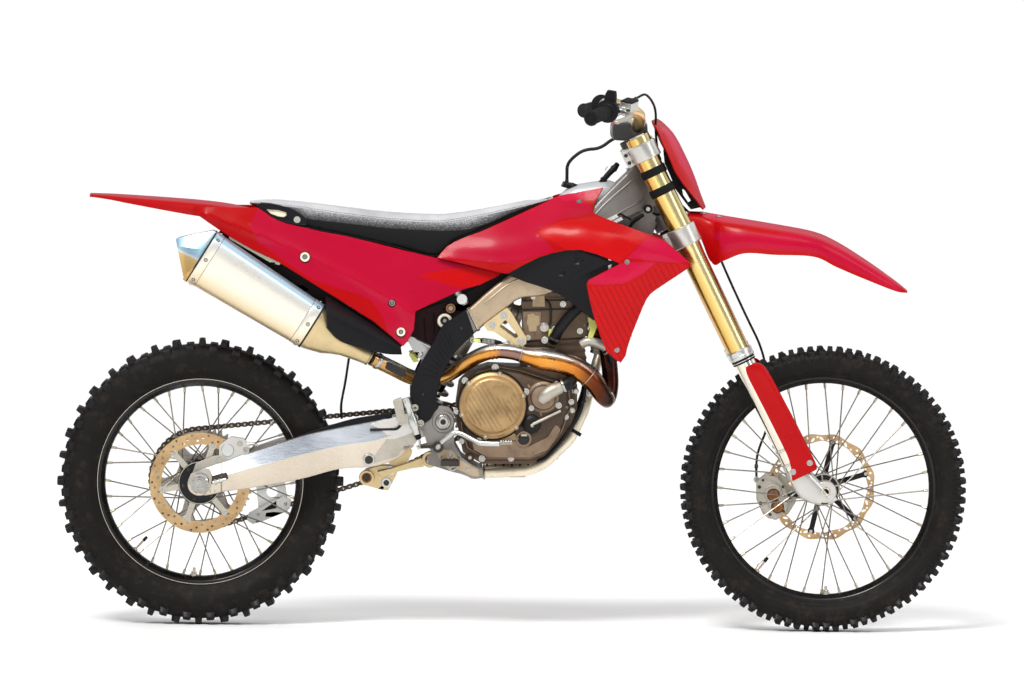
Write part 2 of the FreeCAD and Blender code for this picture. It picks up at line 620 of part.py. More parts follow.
# ================================================================ CHASSIS GROUP
# Frame: head tube, two spars, pivot plates and cross members, one weldment.
spar_st = [((641, 158), (656, 207), -6, -34), ((622, 177), (636, 214), -28, -52), ((600, 199), (612, 227), -48, -74), ((570, 232), (584, 259), -62, -90), ((535, 262), (552, 292), -68, -98), ((508, 276), (521, 298), -72, -102), ((487, 292), (505, 309), -74, -104), ((468, 309), (478, 330), -76, -106), ((447, 325), (461, 346), -78, -108), ((430, 350), (450, 359), -78, -109), ((418, 373), (441, 378), -79, -109), ((411, 394), (436, 398), -80, -110), ((415, 414), (441, 412), -80, -110)]
secs = []
for (u0, v0), (u1, v1), yi, yo in spar_st:
    ym = (yi + yo) / 2
    a, b = S(u0, v0, ym), S(u1, v1, ym)
    secs.append([V(a.x, yo, a.z), V(b.x, yo, b.z), V(b.x, yi, b.z), V(a.x, yi, a.z)])
spar = loft(secs)
plate = prism([(421, 405), (441, 403), (449, 406), (454, 413), (455, 440), (461, 452), (471, 462), (484, 469), (483, 479), (468, 478), (449, 471), (433, 461), (426, 445), (424, 425)], -112, -80)
gusset = prism([(620, 196), (657, 206), (654, 226), (640, 240), (604, 226)], -26, -8)
frame = [spar, mirror(spar), plate, mirror(plate), gusset, mirror(gusset)]
head_tube = cyl(A(LOWER_T + 28), A(UPPER_T - 21), HEAD_R)
# down tube
dt = []
for (u0, v0), (u1, v1), w in (((640, 214), (657, 222), 26), ((622, 262), (640, 267), 22), ((603, 318), (620, 323), 21), ((590, 352), (606, 358), 24)):
    a, b = S(u0, v0), S(u1, v1)
    dt.append([V(a.x, -w, a.z), V(b.x, -w, b.z), V(b.x, w, b.z), V(a.x, w, a.z)])
frame.append(loft(dt))
# cross members: above the shock, behind the pivot, and below the engine
frame.append(cyl(S(470, 318, 0) + V(0, -80, 0), S(470, 318, 0) + V(0, 80, 0), 16))
frame.append(cyl(S(472, 472, 0) + V(0, -84, 0), S(472, 472, 0) + V(0, 84, 0), 11))
# lugs for the shock linkage, behind the lower cross member
lug_pts = [(474, 466.5), (474, 477), (452, 472), (428, 464.5), (427, 456), (434, 453)]
frame += [prism(lug_pts, -57.5, -50.5, -54), prism(lug_pts, 50.5, 57.5, 54)]
fr = fuse(frame)
# room for the clamps above and below the head tube
fr = fr.cut(cyl(A(UPPER_T - 28), A(UPPER_T + 60), 170))
fr = fuse([fr, head_tube])
fr = fr.cut(cyl(A(LOWER_T), A(UPPER_T), STEM_R + RUN))
fr = fr.cut(cyl(A(LOWER_T + 15), A(LOWER_T + 28), 40))
PIVOT = S(443, 419.2, 0)
fr = fr.cut(cyl(PIVOT + V(0, -130, 0), PIVOT + V(0, 130, 0), 12.0))
parts["frame"] = fr


# Lower cradle: twin rails from the pivot plates to the down tube.
def cradle(s):
    pts = [S(483.5, 474, s * 82), S(528, 471.5, s * 80), S(544, 465, s * 78), S(571, 439.5, s * 70), S(584.5, 411, s * 56), S(591, 386, s * 42), S(599, 360, s * 18)]
    pts = [V(p.x, p.y, p.z) for p in pts]
    right = [V(p.x, -abs(p.y), p.z) for p in [S(483.5, 474, -82), S(528, 471.5, -80), S(544, 465, -78), S(571, 439.5, -70), S(584.5, 411, -56), S(591, 386, -42), S(599, 356, -18)]]
    t = tube(right, 11.5, 90)
    return t if s < 0 else mirror(t)


cr = fuse([cradle(-1), cradle(1)])
belly = S(512, 472.2, -80)
BELLY_Z = belly.z - 11.5
pad1 = Part.makeBox(64, 150, 5, V(S(512, 472).x - 32, -75, BELLY_Z - 2.0))
cr = fuse([cr, pad1])
cr = cr.cut(fr)
parts["cradle"] = biggest(cr)

# Frame guards: plastic plates on the rear uprights.
gd = strip([[(466, 309.5, -112.5), (474, 333, -112.5)], [(452, 320, -112.5), (464, 343, -112.5)], [(443, 329.6, -112.5), (453, 353, -112.5)], [(430, 349.6, -113), (446, 366, -113)], [(418, 372.8, -113), (441, 376.5, -113)], [(410, 393, -113), (436, 397.6, -113)], [(413, 405, -113.5), (440, 405, -113.5)]], 2.6)
parts["frame_guards"] = Part.makeCompound(both(biggest(gd.cut(fr))))

# Rear subframe: two rails each side, tied by the seat bridge.
def subrail(pts, r=9.0):
    right = [V(p.x, p.y, p.z) for p in [S(*q) for q in pts]]
    return tube(right, r, 60)


sf = []
top_rail = subrail([(466, 304, -68), (440, 268, -66), (330, 243, -64), (250, 217, -58)])
low_rail = subrail([(436, 352, -66), (400, 334, -66), (300, 262, -62), (258, 219.5, -58)])
sf = [top_rail, low_rail, mirror(top_rail), mirror(low_rail)]
for u, v, h in ((258, 219, 62), (330, 243.4, 66)):
    p = S(u, v, -60)
    sf.append(cyl(V(p.x, -h, p.z), V(p.x, h, p.z), 7.0))
sub = fuse(sf)
sub = sub.cut(fr)
parts["rear_subframe"] = Part.makeCompound([q for q in sub.Solids if q.Volume > 2000])

# Engine: crankcase, cylinder, head and covers.
case = prism([(459, 383), (470, 371), (488, 365), (560, 368), (577, 384), (577, 408), (567, 434), (548, 458), (532, 463.5), (482, 463.5), (463, 452), (458.5, 430), (456, 404)], -86, 86, -60)
# tunnel for the swingarm pivot and its bushes is behind the case
parts["crankcase"] = case.cut(cyl(PIVOT + V(0, -130, 0), PIVOT + V(0, 130, 0), 30))
cyl_b = prism([(523, 342), (584, 338), (589, 368.8), (520, 366.8)], -60, 60, -60)
parts["cylinder"] = cyl_b.cut(parts["crankcase"])
head = prism([(520, 300), (526, 292), (580, 292), (589, 304), (588, 337.7), (522, 341.7)], -70, 70, -60)
parts["cylinder_head"] = head.cut(fuse([spar, mirror(spar)]))
if len(parts["cylinder_head"].Solids) > 1:
    parts["cylinder_head"] = biggest(parts["cylinder_head"])

CL = S(492.8, 406.2, -140)
cov = prism([(459, 430), (456, 404), (461, 384), (478, 370), (500, 365), (532, 373), (552, 378), (572, 386), (574, 408), (564, 434), (546, 457), (530, 462), (484, 462), (465, 450)], -124, -86.02, -110)
cov = cov.cut(cyl(PIVOT + V(0, -130, 0), PIVOT + V(0, 130, 0), 33))
clutch = cyl(V(CL.x, -123, CL.z), V(CL.x, -146, CL.z), 80)
clutch2 = cone(V(CL.x, -145.9, CL.z), V(CL.x, -152, CL.z), 79, 70)
pump = S(543.3, 397.6, -135)
pumpc = cyl(V(pump.x, -123, pump.z), V(pump.x, -146, pump.z), 31)
spout = cyl(V(pump.x + 10, -136, pump.z + 12), V(pump.x + 46, -134, pump.z + 34), 11)
filt = S(531, 429, -130)
fcap = cyl(V(filt.x, -123, filt.z), V(filt.x, -134, filt.z), 21)
right_cover = fuse([cov, clutch, clutch2, pumpc, spout, fcap])
lc = S(505, 418, 110)
cvl = prism([(468, 420), (474, 392), (495, 375), (520, 374), (545, 388), (555, 415), (545, 445), (522, 459), (492, 459), (472, 445)], 86.02, 112, 100)
lcap = cyl(V(lc.x + 14, 111, lc.z - 4), V(lc.x + 14, 124, lc.z - 4), 58)
FSPR = S(467, 417.6, CHAIN_Y)
cvl = fuse([cvl, lcap])
cvl = cvl.cut(cyl(V(FSPR.x, 60, FSPR.z), V(FSPR.x, 160, FSPR.z), 52))
left_cover = biggest(cvl)
# room round the front sprocket and the chain in the crankcase
parts["crankcase"] = parts["crankcase"].cut(cyl(V(FSPR.x, CHAIN_Y - 12, FSPR.z), V(FSPR.x, 120, FSPR.z), 50))
parts["crankcase"] = biggest(parts["crankcase"])

# Intake: throttle body between head and air box.
TB0, TB1 = S(519.5, 316, 0), S(489, 306, 0)
tb = fuse([cyl(TB0, TB1, 24), cyl(TB0 + (TB1 - TB0) * 0.35, TB0 + (TB1 - TB0) * 0.6, 31)])
parts["cylinder_head"] = fuse([parts["cylinder_head"], tb])

# Exhaust: header from the head round the down tube, over the right cover, to the silencer.
ex = [(S(586, 326, -38), 19.5), (S(597, 331, -46), 19.5), (S(605.5, 343, -54), 19.5), (S(609, 362, -60), 19.5), (S(610.5, 384, -68), 19.5), (S(608, 398, -80), 19.5), (S(602, 397, -100), 19.5), (S(592, 383.5, -114), 19.5), (S(578, 370.5, -122), 20), (S(563, 363.5, -125), 22), (S(550, 360, -126), 28), (S(540, 358.3, -126), 27.5), (S(526, 355.6, -124), 19), (S(512, 352, -122), 18), (S(496, 351, -118), 18), (S(482, 354.5, -110), 18), (S(467, 362.5, -88), 18), (S(449, 374, -58), 18), (S(430, 379.5, -54), 18), (S(411, 377, -61), 18), (S(393, 368.5, -88), 18), (S(372, 358.3, -112), 18)]
EXH = pipe(ex)
# port stub sits against the head
parts["exhaust_pipe"] = EXH.cut(parts["cylinder_head"])

E0, E1 = S(311, 325.2, -122), S(201.8, 256.4, -128)
ax = E1 - E0
silb = loft([oval(E0, ax, 58, 50, 24, 3.2), oval(E1, ax, 69.5, 56, 24, 3.2)])
c0 = S(371, 357.8, -112.6)
c1 = S(346, 346.0, -118)
c2 = S(330, 337.5, -121)
front_cone = loft([oval(c0, ax, 20, 20, 24, 2.0), oval(c1, ax, 27, 25, 24, 2.1), oval(c2, ax, 44, 34, 24, 2.5), oval(E0 + (c2 - E0) * 0.03, ax, 57, 49, 24, 3.1)])
t1 = S(188, 248.5, -128)
t2 = S(179, 243.5, -128)
tail = loft([oval(E1 + (t1 - E1) * 0.02, ax, 68, 55, 24, 3.1), oval(t1, ax, 54, 44, 24, 2.8), oval(t2, ax, 34, 28, 24, 2.3)])
outlet_axis = S(168, 243, -128) - S(200, 251, -128)
tail = tail.cut(cyl(S(196, 250, -128), S(196, 250, -128) + outlet_axis * 2.0, 21))
silencer = fuse([silb, front_cone, tail])
silencer = silencer.cut(cyl(E1 - ax * 0.02, E1 + ax * 0.4, 21))
parts["silencer"] = silencer.cut(EXH)
parts["silencer"] = biggest(parts["silencer"])

# Air box under the seat, with its lower side covers.
box = prism([(338, 252), (420, 264), (476, 272), (486, 296), (470, 312), (452, 312), (428, 322), (404, 326), (368, 303), (344, 280)], -52, 52)
lowcov = strip([[(326, 295, -121), (326.5, 308, -166), (327.5, 328, -168)], [(340, 304, -120), (341, 318, -158), (340, 341, -156)], [(364, 319, -119), (364, 330, -146), (364, 349, -148)], [(384, 333, -118), (385, 340, -134), (386, 354, -136)], [(400, 345.5, -118), (401, 348, -124), (402, 354.5, -126)]], 3.0)
parts["air_box"] = biggest(box.cut(sub).cut(fr))

# Fuel tank between the spars, with its cap.
tank = []
for u, vt, vb, w in ((486, 231, 262, 46), (510, 220, 262, 50), (540, 207, 262, 52), (556, 198, 260, 52), (566, 189, 255, 50), (584, 183, 250, 47), (606, 180, 226, 40), (614, 182, 205, 32)):
    prof = [(-w, vb), (-w, vt + (vb - vt) * 0.35), (-w * 0.72, vt + 3), (0, vt), (w * 0.72, vt + 3), (w, vt + (vb - vt) * 0.35), (w, vb)]
    tank.append([S(u, v, 0) + V(0, y, 0) for y, v in prof])
tk = loft(tank)
CAP = S(572.5, 186.5, 0)
tcap = cyl(CAP + V(-3, 0, -6), CAP + V(0, 0, 9), 27)
parts["fuel_tank"] = biggest(fuse([tk, tcap]).cut(fr))

# Vent hose from the cap to the steering stem, on the steering axis where it enters.
STEM_TOP = A(UPPER_T + 40)
vh = [CAP + V(-14, 0, 9), CAP + V(-14, 0, 52), S(577, 153.5), S(597, 150.0), STEM_TOP + V(-34, 0, 1), STEM_TOP + UP * 9.0, STEM_TOP - UP * 14]
parts["tank_vent_hose"] = biggest(tube(vh, 4.2, [30, 40, 60, 40, 9]).cut(parts["fuel_tank"]))

# Seat: lofted pad on its base.
seat = []
for u, vt, vb, wt, wb in ((249, 199.5, 203.5, 30, 44), (262, 200.0, 208.5, 54, 74), (282, 201.5, 219, 68, 84), (305, 203.5, 225.5, 74, 88), (345, 208.5, 234, 78, 90), (390, 213.5, 244, 78, 88), (435, 215.8, 255, 74, 85), (455, 214.5, 240, 70, 80), (480, 210.7, 229.5, 64, 74), (510, 205.0, 216, 58, 66), (535, 199.5, 205, 52, 60), (556, 194.2, 196.5, 44, 52)):
    prof = [(-wb, vb), (-wb + 1, vt + (vb - vt) * 0.62), (-wt - (wb - wt) * 0.45, vt + (vb - vt) * 0.28), (-wt * 0.8, vt + 1.4), (0, vt), (wt * 0.8, vt + 1.4), (wt + (wb - wt) * 0.45, vt + (vb - vt) * 0.28), (wb - 1, vt + (vb - vt) * 0.62), (wb, vb)]
    seat.append([S(u, v, 0) + V(0, y, 0) for y, v in prof])
st = loft(seat)
parts["seat"] = st
parts["fuel_tank"] = biggest(parts["fuel_tank"].cut(st))

# Rear mudguard: one thin arch from under the seat to the tail.
rf = [(91, 193.0, 196.2, 46, 0), (112, 193.6, 198.6, 62, 0), (140, 195.2, 203.5, 78, 0), (170, 197.2, 209.0, 88, 0), (200, 199.5, 214.0, 92, 0), (225, 202.5, 216.0, 92, 0), (245, 206.5, 217, 90, 0), (268, 213.5, 221, 80, 0), (300, 232, 240, 44, 0)]
parts["rear_mudguard"] = biggest(shell(rf, 3.2).cut(st).cut(sub))

# Side panels.
sp = [[(193, 206.5, -97), (193, 209, -98), (193, 211.5, -98)], [(212, 207.0, -98), (212, 214, -104), (212, 224.5, -106)], [(230, 207.5, -98), (231, 221, -108), (232, 237.5, -114)], [(252, 207.6, -98), (253, 226, -110), (255, 250, -118)], [(266, 211.5, -97), (267, 232, -111), (269, 257.5, -120)], [(282, 220.5, -97), (284, 242, -111), (287, 267, -122)], [(300, 226.4, -96), (302, 249, -110), (304, 276.5, -123)], [(345, 235.6, -95), (345, 266, -108), (345, 303, -123)], [(374, 242.5, -94), (374, 279, -107), (374, 321, -121)], [(392, 247, -93), (392, 287, -107), (392, 336, -119)], [(403, 250, -93), (403, 292, -107), (403, 346.5, -117.5)], [(410, 251.5, -93), (410, 284, -107), (410, 328, -116.5)], [(416, 253, -93), (416, 281, -106), (416, 309, -115)], [(430, 256.5, -92), (430, 278, -103), (430, 301, -112)], [(455, 262, -92), (455, 276, -99), (455, 292, -106)], [(472, 268, -94), (472, 276, -97), (472, 287, -100)]]
spr = strip(sp, 3.2)
parts["side_panels"] = Part.makeCompound(both(spr.cut(lowcov)))

# Radiator shrouds: upper blade, horn beside the tank, and lower fin, in one moulding.
up_st = [(417, 272, 277, -113, -115), (436, 258.5, 281, -97, -115.5), (456, 241.5, 285.5, -90, -117), (480, 232, 287, -84, -120), (507, 219.5, 274.5, -78, -131), (540, 204.5, 257.5, -72, -147), (556, 203, 253.5, -76, -153), (580, 207, 249.8, -84, -162), (592.5, 211, 253, -96, -165), (608.6, 219, 258.5, -122, -168), (621, 223.5, 264, -140, -170), (640.7, 230.7, 265.5, -154, -172), (664, 239.6, 266.5, -166, -174), (690, 262.6, 268.2, -173, -174)]
ust = []
for u, vt, vb, yt, yb in up_st:
    ust.append([(u, vt, yt), (u, vt + (vb - vt) * 0.35, yt + (yb - yt) * 0.62), (u, vt + (vb - vt) * 0.7, yt + (yb - yt) * 0.92), (u, vb, yb)])
blade = strip(ust, 3.2)
lo_st = [(586, 281, 286, -164, -163), (590, 279, 303, -165, -160), (594, 276.5, 318, -166, -158), (600, 273.5, 336, -167, -153), (607, 270, 352.5, -168, -147), (614, 266.5, 359, -169, -143), (620.5, 263, 363, -170, -141), (627, 263, 349.5, -170.5, -144), (637, 263.5, 322, -171, -150), (648, 264.0, 296, -172.5, -158), (664, 265, 284, -173.5, -164), (690, 266.5, 268.6, -174, -173)]
lst = []
for u, vt, vb, yt, yb in lo_st:
    lst.append([(u, vt, yt), (u, vt + (vb - vt) * 0.5, yt + (yb - yt) * 0.22), (u, vb, yb)])
fin = strip(lst, 3.2)
horn = strip([[(548, 200.2, -62), (548, 206, -80)], [(560, 195.2, -62), (560, 207, -82)], [(580, 191.6, -62), (580, 209, -85)], [(592, 189.3, -62), (592, 212.3, -95)], [(603, 187, -62), (602.8, 188.6, -66)]], 3.2)
shroud = fuse([blade, fin, horn])
parts["radiator_shrouds"] = Part.makeCompound([biggest(shroud), mirror(biggest(shroud))])

# Dark intake ducts between shroud blade and fin.
du = [(508, 275.5, 277.5, -118, -116), (520, 268.5, 282, -126, -118), (539, 259.0, 287, -138, -122), (555, 255.0, 291.5, -147, -126), (570, 252.5, 302, -154, -128), (580, 251.5, 309, -157, -130), (587, 253.0, 314.6, -159, -132), (593, 254.6, 319, -160, -134), (600, 257, 290, -162, -152), (610, 260, 282, -163, -156)]
dst = []
for u, vt, vb, yt, yb in du:
    dst.append([(u, vt, yt + 5), (u, vt + (vb - vt) * 0.5, yt + (yb - yt) * 0.4 + 5), (u, vb, yb + 5)])
duct = strip(dst, 3.0)
duct = biggest(duct.cut(biggest(shroud)).cut(parts["side_panels"]))
parts["shroud_ducts"] = Part.makeCompound(both(duct))

# Radiators: one each side behind the shroud.
rad = prism([(606, 246), (625, 240), (628, 345), (609, 346)], -162, -80, -120)
rad = rad.cut(biggest(shroud)).cut(duct)
rad = biggest(rad)
parts["radiators"] = Part.makeCompound(both(rad))

# Swingarm: two arms, pivot tube and cross member, one weldment.
arm = [(198, 470, 495, -86, -112), (207, 467.5, 495.5, -85, -115), (226, 461.5, 491.5, -85, -117), (248, 453.5, 488.5, -84, -118), (300, 436.5, 479.5, -80, -116), (340, 427.5, 469.0, -77, -113), (374, 421.0, 466.5, -75, -108), (398, 413.5, 458, -73, -102), (418, 408.5, 440, -71, -79.0), (443, 408, 430.5, -71, -79.0)]
secs = []
for u, vt, vb, yi, yo in arm:
    ym = (yi + yo) / 2
    a, b = S(u, vt, ym), S(u, vb, ym)
    h = (a - b)
    ch = 5.0
    secs.append([V(a.x, yi, a.z), V(a.x, yo + ch, a.z), V(a.x, yo, a.z - ch), V(b.x, yo, b.z + ch), V(b.x, yo + ch, b.z), V(b.x, yi, b.z)])
armr = loft(secs)
dr = cyl(AXLE_R + V(0, -119, 0), AXLE_R + V(0, -86, 0), 29)
armr = fuse([armr, dr])
piv = cyl(PIVOT + V(0, -79, 0), PIVOT + V(0, 79, 0), 20)
cross = prism([(384, 426), (414, 421), (414, 446), (384, 449)], -76, 76, 0)
sw = fuse([armr, mirror(armr), piv, cross])
sw = sw.cut(cyl(AXLE_R + V(0, -200, 0), AXLE_R + V(0, 200, 0), REAR_AXLE_R))
sw = sw.cut(cyl(PIVOT + V(0, -130, 0), PIVOT + V(0, 130, 0), 12.0))
parts["swingarm"] = sw
pb = fuse([cyl(PIVOT + V(0, -118, 0), PIVOT + V(0, 118, 0), 11.98), cyl(PIVOT + V(0, -122, 0), PIVOT + V(0, -112.05, 0), 17), cyl(PIVOT + V(0, 112.05, 0), PIVOT + V(0, 122, 0), 17)])
pb = pb.cut(cyl(PIVOT + V(0, -130, 0), PIVOT + V(0, 130, 0), 6.0))
parts["swingarm_pivot_bolt"] = pb
# keep the frame's plates clear of the arms
parts["frame"] = parts["frame"].cut(sw)

ra = fuse([cyl(AXLE_R + V(0, -136, 0), AXLE_R + V(0, 136, 0), REAR_AXLE_R), cyl(AXLE_R + V(0, -131, 0), AXLE_R + V(0, -119.05, 0), 19), cyl(AXLE_R + V(0, 119.05, 0), AXLE_R + V(0, 131, 0), 19), cyl(AXLE_R + V(0, -84.5, 0), AXLE_R + V(0, -76.3, 0), 19), cyl(AXLE_R + V(0, 76.3, 0), AXLE_R + V(0, 84.5, 0), 19)])
parts["rear_axle"] = ra.cut(cyl(AXLE_R + V(0, -200, 0), AXLE_R + V(0, 200, 0), REAR_AXLE_BORE))

# Shock absorber on the centre line, from the upper cross member to the linkage.
SH0, SH1 = S(466, 338, 0), S(396, 462, 0)
d = SH1 - SH0
shock = fuse([cyl(SH0, SH0 + d * 0.18, 21), cyl(SH0 + d * 0.16, SH0 + d * 0.74, 31), cyl(SH0 + d * 0.72, SH1, 12)])
knob = S(444.7, 320.5, -60)
res = cyl(V(knob.x, -74, knob.z), V(knob.x, -54, knob.z), 18)
cyl_res = cyl(V(knob.x, -58, knob.z), V(knob.x, -6, knob.z), 22)
shock = fuse([shock, cyl(SH0, V(knob.x, -20, knob.z), 14)])
shock = shock.cut(parts["frame"]).cut(parts["swingarm"]).cut(parts["air_box"])
reservoir = biggest(fuse([res, cyl_res]).cut(parts["air_box"]).cut(parts["rear_subframe"]))
parts["shock_absorber"] = biggest(fuse([biggest(shock), reservoir]))

# Linkage: rocker under the swingarm, pull rods to the frame.
rock = prism([(366, 470), (394, 466), (397, 474), (388, 491), (378, 489), (361, 484), (360, 476)], -34, 34, -30)
rod = []
for s in (-1, 1):
    y = s * 44
    a, b = S(367, 478, y), S(430, 459.6, y)
    rod += [cyl(V(a.x, y - 6, a.z), V(a.x, y + 6, a.z), 21), cyl(V(b.x, y - 6, b.z), V(b.x, y + 6, b.z), 20)]
    n = (b - a)
    n.normalize()
    q = V(-n.z, 0, n.x)
    pl = [a + q * 9, a - q * 9, b - q * 12, b + q * 12]
    for p in pl:
        p.y = y - 5
    rod.append(face(pl).extrude(V(0, 10, 0)))
a, b = S(367, 478, 0), S(430, 459.6, 0)
pins = [cyl(V(a.x, -52, a.z), V(a.x, 52, a.z), 9), cyl(V(b.x, -57.5, b.z), V(b.x, 57.5, b.z), 9)]
link = fuse([rock] + rod + pins)
link = link.cut(parts["shock_absorber"]).cut(parts["swingarm"]).cut(parts["frame"])
parts["shock_linkage"] = biggest(link)


# Chain: one closed loop with a channel that the sprocket teeth run in.
def tangent(c, r, p, way):
    """Point on the circle where the line from p touches it; way picks the side."""
    d = V(p.x - c.x, 0, p.z - c.z)
    L = d.Length
    a0 = math.atan2(d.z, d.x)
    a = a0 + way * math.acos(r / L)
    return V(c.x + r * math.cos(a), c.y, c.z + r * math.sin(a))


C1 = V(AXLE_R.x, CHAIN_Y, AXLE_R.z)
C2 = V(FSPR.x, CHAIN_Y, FSPR.z)
R1 = SPR_R
R2 = PITCH / (2 * math.sin(math.pi / FRONT_TEETH))
d = C2 - C1
L = d.Length
base = math.atan2(d.z, d.x)
phi = math.acos((R1 - R2) / L)
up1 = V(C1.x + R1 * math.cos(base + phi), CHAIN_Y, C1.z + R1 * math.sin(base + phi))
up2 = V(C2.x + R2 * math.cos(base + phi), CHAIN_Y, C2.z + R2 * math.sin(base + phi))
SLACK = S(392, 474, CHAIN_Y)
lo1 = tangent(C1, R1, SLACK, -1)
lo2 = tangent(C2, R2, SLACK, 1)
# slack corner arc
u, w = lo1 - SLACK, lo2 - SLACK
u.normalize()
w.normalize()
ang = math.acos(u.dot(w))
cut_l = 120.0
rr = cut_l * math.tan(ang / 2)
s1, s2 = SLACK + u * cut_l, SLACK + w * cut_l
bis = u + w
bis.normalize()
smid = SLACK + bis * (rr / math.sin(ang / 2) - rr)
a1 = math.atan2((up1 - C1).z, (up1 - C1).x)
back = V(C1.x + R1 * math.cos(a1 + 1.6), CHAIN_Y, C1.z + R1 * math.sin(a1 + 1.6))
a2 = math.atan2((up2 - C2).z, (up2 - C2).x)
front = V(C2.x + R2 * math.cos(a2 - 1.3), CHAIN_Y, C2.z + R2 * math.sin(a2 - 1.3))
CH = Part.Wire([Part.Arc(lo1, back, up1).toShape(), Part.LineSegment(up1, up2).toShape(), Part.Arc(up2, front, lo2).toShape(), Part.LineSegment(lo2, s2).toShape(), Part.Arc(s2, smid, s1).toShape(), Part.LineSegment(s1, lo1).toShape()])


def loop_band(off_out, off_in, y0, y1):
    a, b = CH.makeOffset2D(off_out), CH.makeOffset2D(off_in)
    if a.BoundBox.XLength < b.BoundBox.XLength:
        a, b = b, a
    fa_, fb_ = Part.Face(a), Part.Face(b)
    fa_.translate(V(0, y0 - CHAIN_Y, 0))
    fb_.translate(V(0, y0 - CHAIN_Y - 5, 0))
    sa_, sb_ = fa_.extrude(V(0, y1 - y0, 0)), fb_.extrude(V(0, y1 - y0 + 10, 0))
    return sa_.cut(sb_)


band = loop_band(7.4, -7.4, CHAIN_Y - 8.0, CHAIN_Y + 8.0)
chan = loop_band(5.6, -9.0, CHAIN_Y - 4.6, CHAIN_Y + 4.6)
chain = band.cut(chan)
parts["chain"] = chain
left_cover = biggest(left_cover.cut(band))
parts["engine_covers"] = Part.makeCompound([right_cover, left_cover])
corridor = loop_band(9.0, -9.0, CHAIN_Y - 10.5, CHAIN_Y + 10.5)
parts["swingarm"] = biggest(parts["swingarm"].cut(corridor))
parts["crankcase"] = biggest(parts["crankcase"].cut(corridor).cut(parts["cradle"]))
# front sprocket on the gearbox shaft
fs = fuse([cyl(V(FSPR.x, CHAIN_Y - 3.4, FSPR.z), V(FSPR.x, CHAIN_Y + 3.4, FSPR.z), R2 + 3.8), cyl(V(FSPR.x, CHAIN_Y - 14, FSPR.z), V(FSPR.x, CHAIN_Y + 8, FSPR.z), 14)])
parts["crankcase"] = fuse([parts["crankcase"], fs])
# chain guide under the left arm, an open channel round the lower run
gq = prism([(246, 509.5), (284, 496), (292, 501), (290, 515), (254, 526), (245, 522)], CHAIN_Y - 14, CHAIN_Y + 14, CHAIN_Y)
wide = loop_band(11.0, -11.0, CHAIN_Y - 11.0, CHAIN_Y + 11.0)
gq = gq.cut(wide)
hang = prism([(256, 484), (284, 477), (288, 503), (258, 512)], 84.0, 88.5, 86)
hang2 = prism([(258, 512), (288, 503), (289, 507), (259, 516)], CHAIN_Y + 11.5, 88.5, 80)
gq = fuse([gq, hang, hang2]).cut(wide).cut(parts["swingarm"])
parts["chain_guide"] = biggest(gq)

# Foot controls and pegs.
def peg(s):
    b = S(450, 461.5, -118)
    x, z = b.x, b.z
    top = ring(V(x, -116, z), V(x, -116, z) + V(0, -1, 0), 1, 0.5)
    body = Part.makeBox(46, 78, 9, V(x - 23, -200, z - 2))
    hole = Part.makeBox(32, 24, 30, V(x - 16, -194, z - 10))
    hole2 = Part.makeBox(32, 24, 30, V(x - 16, -164, z - 10))
    body = body.cut(hole).cut(hole2)
    rim2 = Part.makeBox(46, 78, 22, V(x - 23, -200, z - 14)).cut(Part.makeBox(40, 72, 30, V(x - 20, -197, z - 20)))
    neck = Part.makeBox(28, 16, 20, V(x - 14, -126, z - 12))
    p = fuse([body, rim2, neck]).cut(Part.makeBox(40, 40, 60, V(x - 20, -112.05, z - 30)))
    return p if s < 0 else mirror(p)


parts["footpegs"] = Part.makeCompound([biggest(peg(-1)), biggest(peg(1))])
bp = [S(438, 447, -128), S(450, 436.5, -131), S(463, 436.5, -136), S(478, 444.2, -154), S(498, 444.4, -160)]
pedal = tube(bp, 6.0, 30)
tip = S(505.5, 443.6, -160)
pad2 = Part.makeBox(36, 26, 8, V(tip.x - 21, -172, tip.z - 4))
boss = cyl(V(S(438, 447, -120).x, -134, S(438, 447, -120).z), V(S(438, 447, -120).x, -112.1, S(438, 447, -120).z), 13)
brake_pedal = fuse([pedal, pad2, boss])
gp = [S(474, 446, 128), S(486, 444, 132), S(524, 432, 138)]
gl = tube(gp, 5.5, 30)
sh = S(474, 446, 118)
gboss = cyl(V(sh.x, 112.1, sh.z), V(sh.x, 136, sh.z), 11)
tp = S(524, 432, 138)
gtip = cyl(V(tp.x, 132, tp.z), V(tp.x, 164, tp.z), 7.5)
gear_lever = fuse([gl, gboss, gtip]).cut(left_cover)
parts["foot_controls"] = Part.makeCompound([biggest(brake_pedal), biggest(gear_lever)])

# Rear brake: caliper over the disc on the right arm, master cylinder on the frame.
rc = prism([(218, 446), (232, 437), (246, 441), (250, 450), (243, 459), (226, 464), (216, 458)], -83.5, -57.5, -72)
rc = rc.cut(cyl(AXLE_R + V(0, -78.1, 0), AXLE_R + V(0, -64.9, 0), REAR_DISC_R + 6))
brk = prism([(196, 462), (214, 455), (232, 462), (228, 472), (205, 478), (190, 476)], -84.4, -81.1, -82)
rc = fuse([rc, brk]).cut(parts["swingarm"]).cut(parts["rear_axle"])
rear_caliper = biggest(rc)
mc = fuse([prism([(403, 404), (415, 401), (421, 434), (411, 437)], -136, -114.2, -124), prism([(393, 402), (404, 398), (406, 418), (396, 422)], -134, -112.4, -124), prism([(397, 414), (412, 410), (414, 416), (400, 424)], -132, -114, -124)])
mc = mc.cut(parts["frame"]).cut(parts["swingarm"]).cut(parts["frame_guards"])
parts["rear_brake_caliper"] = Part.makeCompound([rear_caliper, biggest(mc)])

